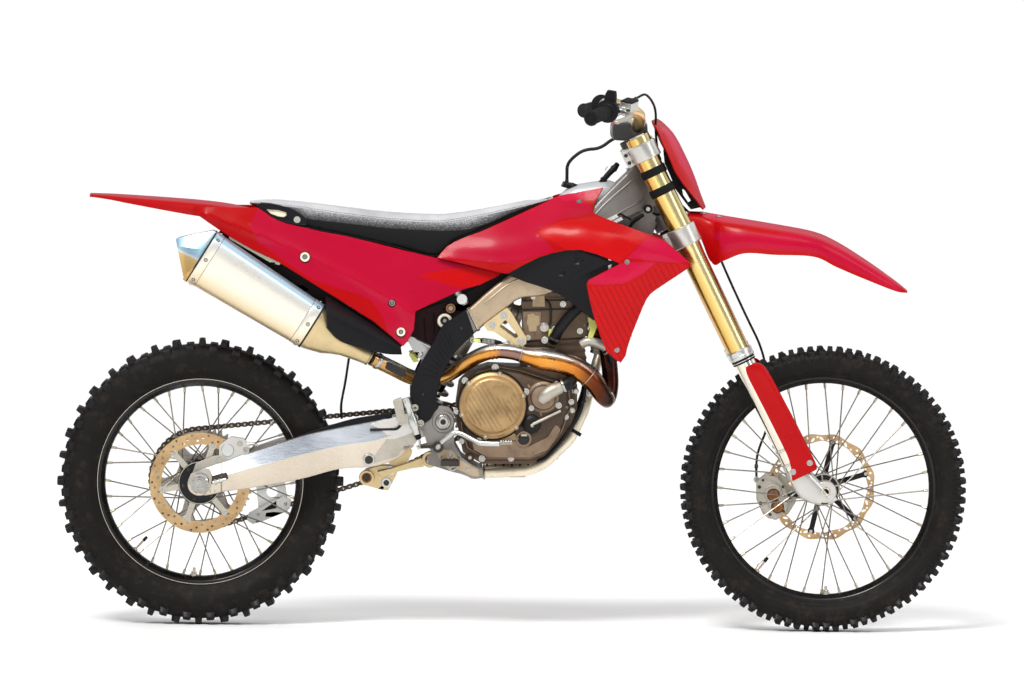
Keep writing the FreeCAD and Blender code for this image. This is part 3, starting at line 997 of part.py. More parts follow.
# Mud flap that shields the shock.
fl = []
for u, v in ((349, 352), (345, 380), (340, 404), (341, 418)):
    p, q = S(u, v, 0), S(u + 5, v + 0.5, 0)
    fl.append([V(p.x, -48, p.z), V(q.x, -48, q.z), V(q.x, 48, q.z), V(p.x, 48, p.z)])
hangr = []
for u, v in ((366, 300), (357, 326), (349.5, 352.5)):
    p, q = S(u, v, 0), S(u + 5, v + 0.5, 0)
    hangr.append([V(p.x, -48, p.z), V(q.x, -48, q.z), V(q.x, 48, q.z), V(p.x, 48, p.z)])
flap = fuse([loft(fl), loft(hangr)]).cut(parts["air_box"]).cut(parts["rear_subframe"]).cut(EXH)
parts["air_box"] = Part.makeCompound([biggest(fuse([parts["air_box"], biggest(flap)])), lowcov])

# ================================================================ shift to the rider's place and write
SHIFT = S(SEAT_MOUNT[0], SEAT_MOUNT[1], 0)
# seat surface height at that station
probe = Part.makeLine(V(SHIFT.x, 0, SHIFT.z + 80), V(SHIFT.x, 0, SHIFT.z - 20))
hit = probe.common(parts["seat"])
top = max(v.Z for v in hit.Vertexes)
ORIGIN = V(SHIFT.x, 0, top)

if __name__ == "__main__":
    os.makedirs("parts", exist_ok=True)
    for name, s in sorted(parts.items()):
        s = s.copy()
        s.translate(V(0, 0, 0) - ORIGIN)
        if s.ShapeType == "Compound" and len(s.Solids) == 1:
            s = s.Solids[0]
        elif s.ShapeType == "Compound":
            s = Part.makeCompound(s.Solids)
        s.exportStep(os.path.join("parts", name + ".step"))
        print("%-24s solids %2d valid %s vol %.0f cm3" % (name, len(s.Solids), s.isValid(), s.Volume / 1000.0))
    print("origin", ORIGIN, "axle_f", AXLE_F - ORIGIN, "axle_r", AXLE_R - ORIGIN, "steer", STEER0 - ORIGIN, "up", UP, "pivot", PIVOT - ORIGIN)
    print("belly", BELLY_Z - 2.0 - ORIGIN.z, S(512, 472).x - ORIGIN.x)
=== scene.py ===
import math
import bpy
import bmesh
from mathutils import Vector, Matrix
from mathutils import noise as mnoise
from mathutils.geometry import delaunay_2d_cdt, tessellate_polygon


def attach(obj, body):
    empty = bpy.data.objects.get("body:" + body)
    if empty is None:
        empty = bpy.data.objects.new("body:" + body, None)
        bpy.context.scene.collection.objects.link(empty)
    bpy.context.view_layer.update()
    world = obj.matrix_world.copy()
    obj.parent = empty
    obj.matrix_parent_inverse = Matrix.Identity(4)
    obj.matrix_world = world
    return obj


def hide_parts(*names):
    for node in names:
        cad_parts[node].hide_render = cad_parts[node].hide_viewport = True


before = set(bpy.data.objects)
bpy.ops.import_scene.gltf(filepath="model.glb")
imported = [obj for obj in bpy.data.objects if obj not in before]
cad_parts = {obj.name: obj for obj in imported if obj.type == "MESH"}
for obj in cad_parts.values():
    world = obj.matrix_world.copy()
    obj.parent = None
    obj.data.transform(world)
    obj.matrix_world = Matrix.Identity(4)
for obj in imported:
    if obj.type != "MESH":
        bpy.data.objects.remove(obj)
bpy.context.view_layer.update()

# ================================================================ the machine's own frame (mm)
WHEELBASE, WHEEL_R, RAKE = 1494.0, 343.0, 26.4
CLAMP_OFFSET, AXLE_LEAD, FORK_HALF = 22.0, 40.0, 103.0
LOWER_T, UPPER_T = 697.0, 919.0
TEETH, PITCH, FRONT_TEETH, CHAIN_Y = 48, 15.875, 13, 69.0
SHEET, EYE_D, EYE_H, EYE_X = 2.398, 20000.0, 1700.0, 490.0
TILT = math.atan2(8.0, 623.2)
CA, SA = math.cos(TILT), math.sin(TILT)
ORIGIN = Vector((542.2927, 0.0, 986.5677))
FLOOR_Z = -0.98657


def V(x, y, z):
    return Vector((x, y, z))


def S(u, v, y=0.0):
    """Side elevation point (u right, v down) at depth y, in mm."""
    x0 = ((u - 200.5) * CA + (v - 481.0) * SA) * SHEET
    z0 = WHEEL_R + ((u - 200.5) * SA - (v - 481.0) * CA) * SHEET
    t = (EYE_D + y) / EYE_D
    return V(EYE_X + (x0 - EYE_X) * t, y, EYE_H + (z0 - EYE_H) * t)


_r = math.radians(RAKE)
UP = V(-math.sin(_r), 0, math.cos(_r))
FWD = V(math.cos(_r), 0, math.sin(_r))
YY = V(0, 1, 0)
AXLE_F = V(WHEELBASE, 0, WHEEL_R)
AXLE_R = V(0, 0, WHEEL_R)
LEG0 = AXLE_F - FWD * AXLE_LEAD
STEER0 = LEG0 - FWD * CLAMP_OFFSET
BAR_T, BAR_F = UPPER_T + 60.0, 36.0


def F(t, f=0.0, y=0.0):
    return LEG0 + UP * t + FWD * f + V(0, y, 0)


def A(t, f=0.0, y=0.0):
    return STEER0 + UP * t + FWD * f + V(0, y, 0)


BAR = A(BAR_T, BAR_F)


def out(p):
    """mm in the machine's frame, to metres in the shared frame."""
    return (p - ORIGIN) * 0.001


# ================================================================ mesh making
def unit(a):
    a = a.copy()
    a.normalize()
    return a


def perp(d):
    a = d.cross(YY)
    if a.length < 0.2:
        a = d.cross(V(0, 0, 1))
    a.normalize()
    b = d.cross(a)
    b.normalize()
    return a, b


def crom(pts, per=6, closed=False):
    """Smooth curve through points; tuples of floats or vectors."""
    n = len(pts)
    res = []
    last = n if closed else n - 1
    for i in range(last):
        if closed:
            q = [pts[(i - 1) % n], pts[i], pts[(i + 1) % n], pts[(i + 2) % n]]
        else:
            q = [pts[max(i - 1, 0)], pts[i], pts[i + 1], pts[min(i + 2, n - 1)]]
        for k in range(per):
            t = k / float(per)
            w = (-0.5 * t + t * t - 0.5 * t ** 3, 1 - 2.5 * t * t + 1.5 * t ** 3, 0.5 * t + 2 * t * t - 1.5 * t ** 3, -0.5 * t * t + 0.5 * t ** 3)
            if isinstance(q[0], Vector):
                p = q[0] * w[0] + q[1] * w[1] + q[2] * w[2] + q[3] * w[3]
            elif isinstance(q[0], (tuple, list)):
                p = tuple(sum(w[m] * q[m][c] for m in range(4)) for c in range(len(q[0])))
            else:
                p = sum(w[m] * q[m] for m in range(4))
            res.append(p)
    if not closed:
        res.append(pts[-1])
    return res


def route(pts, bend, seg=7):
    """Straight runs joined by arcs, as a list of points."""
    res = [pts[0]]
    n = len(pts)
    for i in range(1, n - 1):
        a, b, c = pts[i - 1], pts[i], pts[i + 1]
        u, w = a - b, c - b
        lu, lw = u.length, w.length
        u.normalize()
        w.normalize()
        ang = math.acos(max(-1, min(1, u.dot(w))))
        turn = math.pi - ang
        if turn < 1e-3:
            continue
        r = bend[i - 1] if isinstance(bend, (list, tuple)) else bend
        cut = r * math.tan(turn / 2)
        lim = 0.46 * min(lu, lw)
        if cut > lim:
            cut = lim
            r = cut / math.tan(turn / 2)
        p1, p2 = b + u * cut, b + w * cut
        cen = b + unit(u + w) * (r / math.sin(ang / 2))
        d1, d2 = p1 - cen, p2 - cen
        for k in range(seg + 1):
            t = k / seg
            sa = math.sin((1 - t) * turn) / math.sin(turn)
            sb = math.sin(t * turn) / math.sin(turn)
            res.append(cen + d1 * sa + d2 * sb)
    res.append(pts[-1])
    return res


def nurbs_line(pts, count=90):
    """Points along a smooth order-3 spline whose control points are pts."""
    cu = bpy.data.curves.new("line", "CURVE")
    cu.dimensions = "3D"
    cu.bevel_depth = 0.0
    cu.resolution_u = max(4, int(count / max(1, len(pts) - 1)))
    sp_ = cu.splines.new("NURBS")
    sp_.points.add(len(pts) - 1)
    for q, p in zip(sp_.points, pts):
        q.co = (p.x, p.y, p.z, 1.0)
    sp_.order_u = 3
    sp_.use_endpoint_u = True
    ob = bpy.data.objects.new("line", cu)
    me = bpy.data.meshes.new_from_object(ob)
    res = [v.co.copy() for v in me.vertices]
    bpy.data.objects.remove(ob)
    bpy.data.meshes.remove(me)
    bpy.data.curves.remove(cu)
    return res


class Body:
    """Collects closed shells; several materials by face."""

    def __init__(self):
        self.v, self.f, self.mi, self.cur = [], [], [], 0

    def use(self, i):
        self.cur = i
        return self

    def put(self, verts, faces):
        b = len(self.v)
        self.v.extend(verts)
        for f in faces:
            self.f.append([b + i for i in f])
            self.mi.append(self.cur)
        return b

    def loft(self, secs, cap0=True, cap1=True, closed=True):
        n = len(secs[0])
        vs, fs = [], []
        for s in secs:
            vs.extend(s)
        m = n if closed else n - 1
        for i in range(len(secs) - 1):
            a, b = i * n, (i + 1) * n
            for k in range(m):
                k2 = (k + 1) % n
                fs.append([a + k, a + k2, b + k2, b + k])
        if cap0:
            fs.append(list(range(n - 1, -1, -1)))
        if cap1:
            a = (len(secs) - 1) * n
            fs.append([a + k for k in range(n)])
        return self.put(vs, fs)

    def revolve(self, c, d, prof, n=32, closed=False, a0=0.0, wob=None):
        """prof: (radius, height along d). Open profiles that end at r = 0 close themselves."""
        d = unit(d)
        a, b = perp(d)
        if wob is None and n >= 20:
            n = int(n * 0.8)
        vs, fs, idx = [], [], []
        for r, h in prof:
            if r < 1e-6 and wob is None:
                idx.append([len(vs)] * n)
                vs.append(c + d * h)
            else:
                row = []
                for k in range(n):
                    t = a0 + 2 * math.pi * k / n
                    rr = r if wob is None else wob(r, h, t)
                    row.append(len(vs))
                    vs.append(c + d * h + a * (rr * math.cos(t)) + b * (rr * math.sin(t)))
                idx.append(row)
        m = len(prof)
        for i in range(m if closed else m - 1):
            r0, r1 = idx[i], idx[(i + 1) % m]
            for k in range(n):
                k2 = (k + 1) % n
                q = [r0[k], r0[k2], r1[k2], r1[k]]
                w = []
                for z in q:
                    if z not in w:
                        w.append(z)
                if len(w) > 2:
                    fs.append(w)
        return self.put(vs, fs)

    def cyl(self, p0, p1, r, n=28, ch=0.7, r2=None):
        d = p1 - p0
        L = d.length
        r2 = r if r2 is None else r2
        ch = min(ch, L * 0.3, r * 0.3, r2 * 0.3)
        return self.revolve(p0, d, [(0, 0), (r - ch, 0), (r, ch), (r2, L - ch), (r2 - ch, L), (0, L)], n)

    def ring(self, p0, p1, r, bore, n=32, ch=0.7):
        d = p1 - p0
        L = d.length
        ch = min(ch, L * 0.3, (r - bore) * 0.3)
        return self.revolve(p0, d, [(bore + ch, 0), (r - ch, 0), (r, ch), (r, L - ch), (r - ch, L), (bore + ch, L), (bore, L - ch), (bore, ch)], n, closed=True)

    def tube(self, pts, r, n=14, per=6, caps=True, smooth=True, squash=None):
        """Round bar along points; r is one radius or one for each point. squash (dir, k) flattens it."""
        rs = r if isinstance(r, (list, tuple)) else [r] * len(pts)
        if smooth:
            c = crom([(p.x, p.y, p.z, q) for p, q in zip(pts, rs)], per)
            P = [V(x[0], x[1], x[2]) for x in c]
            R = [x[3] for x in c]
        else:
            P, R = list(pts), list(rs)
        if n >= 10:
            n = max(8, int(n * 0.8))
        d = unit(P[1] - P[0])
        a, _ = perp(d)
        secs = []
        for i, p in enumerate(P):
            t = P[min(i + 1, len(P) - 1)] - P[max(i - 1, 0)]
            t.normalize()
            a = a - t * a.dot(t)
            a.normalize()
            b = t.cross(a)
            s = []
            for k in range(n):
                w = a * (R[i] * math.cos(2 * math.pi * k / n)) + b * (R[i] * math.sin(2 * math.pi * k / n))
                if squash:
                    sd, sk = squash
                    w = w - sd * (w.dot(sd) * (1 - sk))
                s.append(p + w)
            secs.append(s)
        return self.loft(secs, caps, caps)

    def slab(self, outline, depth, holes=(), to3=None):
        """Plate from a 3-D outline pushed along the vector depth; holes are 3-D loops in the same plane."""
        loops = [list(outline)] + [list(h) for h in holes]
        tris = tessellate_polygon(loops)
        flat = [p for l in loops for p in l]
        n = len(flat)
        vs = flat + [p + depth for p in flat]
        fs = []
        for a, b, c in tris:
            fs.append([a, b, c])
            fs.append([c + n, b + n, a + n])
        o = 0
        for l in loops:
            m = len(l)
            for k in range(m):
                k2 = (k + 1) % m
                fs.append([o + k, o + k2, o + k2 + n, o + k + n])
            o += m
        return self.put(vs, fs)

    def prism(self, uv, y0, y1, ym=None, holes=()):
        ym = (y0 + y1) / 2.0 if ym is None else ym

        def at(u, v):
            p = S(u, v, ym)
            p.y = y0
            return p
        return self.slab([at(*q) for q in uv], V(0, y1 - y0, 0), [[at(*q) for q in h] for h in holes])

    def box(self, c, ax, ay, az, hx, hy, hz, taper=1.0):
        s = []
        for k, q in ((-1, 1.0), (1, taper)):
            s.append([c + ax * (i * hx * q) + ay * (j * hy * q) + az * (k * hz) for i, j in ((-1, -1), (1, -1), (1, 1), (-1, 1))])
        return self.loft(s)

    def ball(self, c, r, n=16, m=9, sq=(1, 1, 1)):
        prof = [(math.sin(math.pi * i / m), -math.cos(math.pi * i / m)) for i in range(m + 1)]
        prof = [(0 if q[0] < 1e-6 else q[0] * r, q[1] * r) for q in prof]
        return self.revolve(c, V(0, 1, 0), prof, n)

    def mirror_y(self, start=0, fstart=0):
        """Adds a mirrored copy of everything since start."""
        vs = [V(p.x, -p.y, p.z) for p in self.v[start:]]
        b = len(self.v)
        self.v.extend(vs)
        for f, m in list(zip(self.f[fstart:], self.mi[fstart:])):
            self.f.append([b + i - start for i in reversed(f)])
            self.mi.append(m)

    def bolt(self, p, d, r=5.0, h=4.0, kind="hex", depth=None):
        d = unit(d)
        a, b = perp(d)
        n = 18

        def circ(rad, hh):
            return [p + d * hh + a * (rad * math.cos(2 * math.pi * k / n)) + b * (rad * math.sin(2 * math.pi * k / n)) for k in range(n)]

        def hexa(rad, hh):
            s = []
            for k in range(n):
                t = 2 * math.pi * k / n
                m = (t + math.pi / 6) % (math.pi / 3) - math.pi / 6
                rr = rad * math.cos(math.pi / 6) / math.cos(m)
                s.append(p + d * hh + a * (rr * math.cos(t)) + b * (rr * math.sin(t)))
            return s
        if kind == "hex":
            self.loft([circ(r * 1.28, -0.6), circ(r * 1.28, 0.7), circ(r * 1.18, 1.1), hexa(r, 1.2), hexa(r, h - 0.5), circ(r * 0.86, h), circ(r * 0.55, h), circ(r * 0.5, h - 0.5)])
        elif kind == "socket":
            dp = h * 0.65 if depth is None else depth
            self.loft([circ(r, -0.6), circ(r, h - 0.6), circ(r - 0.6, h), hexa(r * 0.56, h), hexa(r * 0.54, h - dp)])
        elif kind == "dome":
            dp = h * 0.6
            self.loft([circ(r, -0.5), circ(r, 0.5), circ(r * 0.93, h * 0.55), circ(r * 0.78, h * 0.88), circ(r * 0.58, h), hexa(r * 0.42, h), hexa(r * 0.4, h - dp)])
        elif kind == "washer":
            self.loft([circ(r * 1.75, -0.4), circ(r * 1.75, 1.0), circ(r * 1.68, 1.3), circ(r * 1.02, 1.3), circ(r, h - 0.6), circ(r * 0.9, h), hexa(r * 0.5, h), hexa(r * 0.48, h * 0.5)])

    def finish(self, name, body, nodes, mats, bevel=None, seg=2, angle=32.0, sub=0, soft=False, recalc=True):
        me = bpy.data.meshes.new(name)
        me.from_pydata([out(p) for p in self.v], [], self.f)
        me.validate()
        if len(me.polygons) == len(self.mi):
            me.polygons.foreach_set("material_index", self.mi)
        for m in mats:
            me.materials.append(MATS[m])
        if recalc:
            bm = bmesh.new()
            bm.from_mesh(me)
            bmesh.ops.recalc_face_normals(bm, faces=bm.faces)
            bm.to_mesh(me)
            bm.free()
        me.polygons.foreach_set("use_smooth", [True] * len(me.polygons))
        if not soft:
            me.set_sharp_from_angle(angle=math.radians(angle))
        me.update()
        o = bpy.data.objects.new(name, me)
        bpy.context.scene.collection.objects.link(o)
        if sub:
            s = o.modifiers.new("smooth", "SUBSURF")
            s.levels = sub
            s.render_levels = sub
        if bevel:
            m = o.modifiers.new("edge", "BEVEL")
            m.width = bevel * 0.001
            m.segments = max(1, seg - 1)
            m.limit_method = "ANGLE"
            m.angle_limit = math.radians(angle)
            m.harden_normals = True
        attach(o, body)
        if nodes:
            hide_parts(*nodes)
        return o


def circle_uv(u, v, r, n=24, rv=None, rot=0.0):
    """Loop on the side sheet about (u, v); r in sheet units."""
    rv = r if rv is None else rv
    cr, sr = math.cos(rot), math.sin(rot)
    res = []
    for k in range(n):
        x, y = r * math.cos(2 * math.pi * k / n), rv * math.sin(2 * math.pi * k / n)
        res.append((u + x * cr - y * sr, v + x * sr + y * cr))
    return res


def round_poly(pts, r, seg=4):
    """Fillet a 2-D polygon; r one number or one per corner, in its own units."""
    n = len(pts)
    res = []
    for i in range(n):
        rr = r[i] if isinstance(r, (list, tuple)) else r
        p0, p, p2 = Vector(pts[i - 1]), Vector(pts[i]), Vector(pts[(i + 1) % n])
        a, b = p0 - p, p2 - p
        la, lb = a.length, b.length
        if rr < 1e-6 or la < 1e-6 or lb < 1e-6:
            res.append(tuple(p))
            continue
        a.normalize()
        b.normalize()
        ang = math.acos(max(-1, min(1, a.dot(b))))
        if ang > math.pi - 0.02:
            res.append(tuple(p))
            continue
        cut = min(rr / math.tan(ang / 2), 0.45 * la, 0.45 * lb)
        q0, q2 = p + a * cut, p + b * cut
        for k in range(seg + 1):
            t = k / seg
            res.append(tuple(q0 * ((1 - t) ** 2) + p * (2 * t * (1 - t)) + q2 * (t * t)))
    return res


def inside(p, poly):
    x, y = p
    c = False
    n = len(poly)
    j = n - 1
    for i in range(n):
        xi, yi = poly[i][0], poly[i][1]
        xj, yj = poly[j][0], poly[j][1]
        if (yi > y) != (yj > y) and x < (xj - xi) * (y - yi) / (yj - yi) + xi:
            c = not c
        j = i
    return c


def dist_line(p, line):
    """Distance from a 2-D point to a polyline."""
    best = 1e9
    for i in range(len(line) - 1):
        ax, ay = line[i][0], line[i][1]
        bx, by = line[i + 1][0], line[i + 1][1]
        dx, dy = bx - ax, by - ay
        L = dx * dx + dy * dy
        t = 0 if L < 1e-12 else max(0, min(1, ((p[0] - ax) * dx + (p[1] - ay) * dy) / L))
        qx, qy = ax + dx * t - p[0], ay + dy * t - p[1]
        best = min(best, qx * qx + qy * qy)
    return math.sqrt(best)


def solve(Amat, b):
    import numpy as np
    return np.linalg.lstsq(np.array(Amat, float), np.array(b, float), rcond=None)[0]


class Depth:
    """Smooth depth y(u, v) through control points, thin-plate."""

    def __init__(self, ctrl):
        import numpy as np
        P = np.array([(c[0], c[1]) for c in ctrl], float)
        y = np.array([c[2] for c in ctrl], float)
        n = len(P)
        D = np.linalg.norm(P[:, None] - P[None], axis=2)
        K = np.where(D > 0, D * D * np.log(np.maximum(D, 1e-9)), 0)
        Q = np.hstack([np.ones((n, 1)), P])
        M = np.zeros((n + 3, n + 3))
        M[:n, :n] = K + np.eye(n) * 2.0
        M[:n, n:] = Q
        M[n:, :n] = Q.T
        self.w = np.linalg.solve(M, np.concatenate([y, np.zeros(3)]))
        self.P, self.n = P, n

    def __call__(self, u, v):
        import numpy as np
        d = np.hypot(self.P[:, 0] - u, self.P[:, 1] - v)
        k = np.where(d > 0, d * d * np.log(np.maximum(d, 1e-9)), 0)
        return float(k @ self.w[:self.n] + self.w[self.n] + self.w[self.n + 1] * u + self.w[self.n + 2] * v)


def sheet_panel(B, outline, depth, wall=3.0, step=4.0, lines=(), regions=(), bumps=None, holes=(), mirror=True, edge=1.2, back=None):
    """Moulded panel over an outline on the side sheet. depth(u, v) gives its outer surface; lines are kept as mesh edges;
    regions are (polygon, material); bumps(u, v) adds height outward, mm. The edge is turned in by `edge`."""
    pts, edges = [], []

    def chain(loop, closed):
        b = len(pts)
        dense = []
        n = len(loop)
        for i in range(n if closed else n - 1):
            p, q = Vector(loop[i][:2]), Vector(loop[(i + 1) % n][:2])
            k = max(1, int(round((q - p).length / step)))
            for j in range(k):
                dense.append(p + (q - p) * (j / k))
        if not closed:
            dense.append(Vector(loop[-1][:2]))
        pts.extend(dense)
        m = len(dense)
        for i in range(m if closed else m - 1):
            edges.append((b + i, b + (i + 1) % m))
        return dense
    ring0 = chain(outline, True)
    loops = [[tuple(p) for p in ring0]]
    for h in holes:
        loops.append([tuple(p) for p in chain(h, True)])
    for l in lines:
        chain(l, False)
    for poly, _ in regions:
        chain(poly, True)
    us = [p[0] for p in outline]
    vs_ = [p[1] for p in outline]
    u = min(us)
    row = 0
    while u < max(us):
        v = min(vs_) + (step * 0.5 if row % 2 else 0)
        while v < max(vs_):
            if inside((u, v), loops[0]) and all(dist_line((u, v), l + l[:1]) > step * 0.6 for l in loops):
                if not any(inside((u, v), h) for h in loops[1:]):
                    pts.append(Vector((u + 0.013 * row % 0.3, v)))
            v += step
        u += step * 0.87
        row += 1
    res = delaunay_2d_cdt(pts, edges, [], 0, 1e-4)
    P, T = res[0], res[2]
    keep = []
    for t in T:
        c = (sum(P[i][0] for i in t) / len(t), sum(P[i][1] for i in t) / len(t))
        if inside(c, loops[0]) and not any(inside(c, h) for h in loops[1:]):
            m = 0
            for poly, mm in regions:
                if inside(c, poly):
                    m = mm
            keep.append((list(t), m))
    used = sorted(set(i for t, _ in keep for i in t))
    remap = {o: i for i, o in enumerate(used)}
    tri = [([remap[i] for i in t], m) for t, m in keep]
    uv = [(P[i][0], P[i][1]) for i in used]
    bf = bumps or (lambda a, b: 0.0)
    outer = [S(a, b, depth(a, b) - bf(a, b)) for a, b in uv]
    # vertex normals
    nor = [V(0, 0, 0) for _ in outer]
    for t, _ in tri:
        n = (outer[t[1]] - outer[t[0]]).cross(outer[t[2]] - outer[t[0]])
        if n.y > 0:
            n = -n
        for i in t:
            nor[i] += n
    for n in nor:
        n.normalize()
    cnt = {}
    for t, _ in tri:
        m = len(t)
        for k in range(m):
            e = (t[k], t[(k + 1) % m])
            cnt[e] = cnt.get(e, 0) + 1
    rim = [e for e in cnt if (e[1], e[0]) not in cnt]
    onrim = set(i for e in rim for i in e)
    inner = []
    for i, p in enumerate(outer):
        inner.append(p - nor[i] * wall)
    # rounded edge: an outer lip set in a little
    nvt = len(outer)
    lip = {}
    vs = [p.copy() for p in outer]
    if edge > 0:
        nb = {}
        for a, b in rim:
            nb.setdefault(a, []).append(b)
            nb.setdefault(b, []).append(a)
        for i in onrim:
            # direction inward over the surface: away from the rim, from neighbours in the triangles
            lip[i] = None
        near = {i: V(0, 0, 0) for i in onrim}
        num = {i: 0 for i in onrim}
        for t, _ in tri:
            c = sum((outer[i] for i in t), V(0, 0, 0)) / len(t)
            for i in t:
                if i in onrim:
                    near[i] += c - outer[i]
                    num[i] += 1
        for i in onrim:
            q = nb[i]
            tan = unit(outer[q[0]] - outer[q[-1]]) if len(q) > 1 else V(1, 0, 0)
            w = near[i] - tan * near[i].dot(tan)
            w = w - nor[i] * w.dot(nor[i])
            if w.length > 1e-6:
                w.normalize()
            lip[i] = w
    # surface vertices keep their place; rim vertices move in by edge, and a turned edge ring is added
    ring_i = {}
    base = len(B.v)
    for i in range(nvt):
        if edge > 0 and i in onrim:
            vs[i] = outer[i] + lip[i] * edge
    allv = list(vs)
    for i in sorted(onrim):
        ring_i[i] = len(allv)
        allv.append(outer[i] - nor[i] * min(edge, wall * 0.45) if edge > 0 else outer[i].copy())
    inn = len(allv)
    allv.extend(inner)
    fs, ms = [], []
    for t, m in tri:
        fs.append(list(t))
        ms.append(m)
        fs.append([inn + i for i in reversed(t)])
        ms.append(m)
    em = {}
    for t, m in tri:
        for k in range(len(t)):
            em[(t[k], t[(k + 1) % len(t)])] = m
    for a, b in rim:
        fs.append([b, a, ring_i[a], ring_i[b]])
        ms.append(em[(a, b)])
        fs.append([ring_i[b], ring_i[a], inn + a, inn + b])
        ms.append(em[(a, b)])
    s0, f0 = len(B.v), len(B.f)
    cur = B.cur
    b = len(B.v)
    B.v.extend(allv)
    for f, m in zip(fs, ms):
        B.f.append([b + i for i in f])
        B.mi.append(cur + m)
    if mirror:
        B.mirror_y(s0, f0)
    return B


# ================================================================ materials
MATS = {}


class Mat:
    """Small helper round one material's nodes."""

    def __init__(self, name):
        self.m = bpy.data.materials.new(name)
        self.m.use_nodes = True
        self.t = self.m.node_tree
        self.b = next(n for n in self.t.nodes if n.type == "BSDF_PRINCIPLED")
        self.co = self.t.nodes.new("ShaderNodeTexCoord")
        MATS[name] = self.m

    def node(self, kind, **kw):
        n = self.t.nodes.new(kind)
        for k, v in kw.items():
            setattr(n, k, v)
        return n

    def link(self, a, b):
        self.t.links.new(a, b)

    def set(self, **kw):
        for k, v in kw.items():
            self.b.inputs[k.replace("_", " ")].default_value = v
        return self

    def noise(self, scale, detail=4.0, rough=0.55, stretch=None, dist=0.0, rot=None):
        n = self.node("ShaderNodeTexNoise")
        n.inputs["Scale"].default_value = scale
        n.inputs["Detail"].default_value = detail
        n.inputs["Roughness"].default_value = rough
        n.inputs["Distortion"].default_value = dist
        if stretch or rot:
            mp = self.node("ShaderNodeMapping")
            if stretch:
                mp.inputs["Scale"].default_value = stretch
            if rot:
                mp.inputs["Rotation"].default_value = rot
            self.link(self.co.outputs["Object"], mp.inputs["Vector"])
            self.link(mp.outputs["Vector"], n.inputs["Vector"])
        else:
            self.link(self.co.outputs["Object"], n.inputs["Vector"])
        return n.outputs["Fac"]

    def voronoi(self, scale, feature="F1", stretch=None):
        n = self.node("ShaderNodeTexVoronoi", feature=feature)
        n.inputs["Scale"].default_value = scale
        if stretch:
            mp = self.node("ShaderNodeMapping")
            mp.inputs["Scale"].default_value = stretch
            self.link(self.co.outputs["Object"], mp.inputs["Vector"])
            self.link(mp.outputs["Vector"], n.inputs["Vector"])
        else:
            self.link(self.co.outputs["Object"], n.inputs["Vector"])
        return n.outputs["Distance"]

    def ramp(self, fac, stops, interp="LINEAR"):
        n = self.node("ShaderNodeValToRGB")
        n.color_ramp.interpolation = interp
        el = n.color_ramp.elements
        while len(el) > 1:
            el.remove(el[-1])
        el[0].position = stops[0][0]
        el[0].color = (*stops[0][1], 1)
        for p, c in stops[1:]:
            e = el.new(p)
            e.color = (*c, 1)
        self.link(fac, n.inputs["Fac"])
        return n.outputs["Color"]

    def remap(self, val, lo, hi, a=0.3, b=0.7):
        n = self.node("ShaderNodeMapRange")
        n.inputs["From Min"].default_value = a
        n.inputs["From Max"].default_value = b
        n.inputs["To Min"].default_value = lo
        n.inputs["To Max"].default_value = hi
        self.link(val, n.inputs["Value"])
        return n.outputs["Result"]

    def math(self, op, a, b=None, clamp=False):
        n = self.node("ShaderNodeMath", operation=op)
        n.use_clamp = clamp
        for i, q in enumerate((a, b)):
            if q is None:
                continue
            if isinstance(q, (int, float)):
                n.inputs[i].default_value = q
            else:
                self.link(q, n.inputs[i])
        return n.outputs[0]

    def mix(self, fac, c1, c2, mode="MIX"):
        n = self.node("ShaderNodeMix", data_type="RGBA", blend_type=mode)
        for sock, q in ((n.inputs[0], fac), (n.inputs[6], c1), (n.inputs[7], c2)):
            if isinstance(q, (int, float)):
                sock.default_value = q
            elif isinstance(q, tuple):
                sock.default_value = (*q, 1)
            else:
                self.link(q, sock)
        return n.outputs[2]

    def axis(self, which):
        n = self.node("ShaderNodeSeparateXYZ")
        self.link(self.co.outputs["Object"], n.inputs[0])
        return n.outputs[which]

    def bump(self, h, strength=0.3, dist=0.001, chain=None):
        n = self.node("ShaderNodeBump")
        n.inputs["Strength"].default_value = strength
        n.inputs["Distance"].default_value = dist
        self.link(h, n.inputs["Height"])
        if chain:
            self.link(chain, n.inputs["Normal"])
        self.link(n.outputs["Normal"], self.b.inputs["Normal"])
        return n.outputs["Normal"]

    def color(self, c):
        self.link(c, self.b.inputs["Base Color"])

    def rough(self, r):
        self.link(r, self.b.inputs["Roughness"])


def lin(r, g, b):
    """sRGB 0-255 to linear."""
    f = lambda c: ((c / 255.0) / 12.92) if c / 255.0 <= 0.04045 else ((c / 255.0 + 0.055) / 1.055) ** 2.4
    return (f(r), f(g), f(b))


def shade(c, k):
    return tuple(min(1.0, x * k) for x in c)


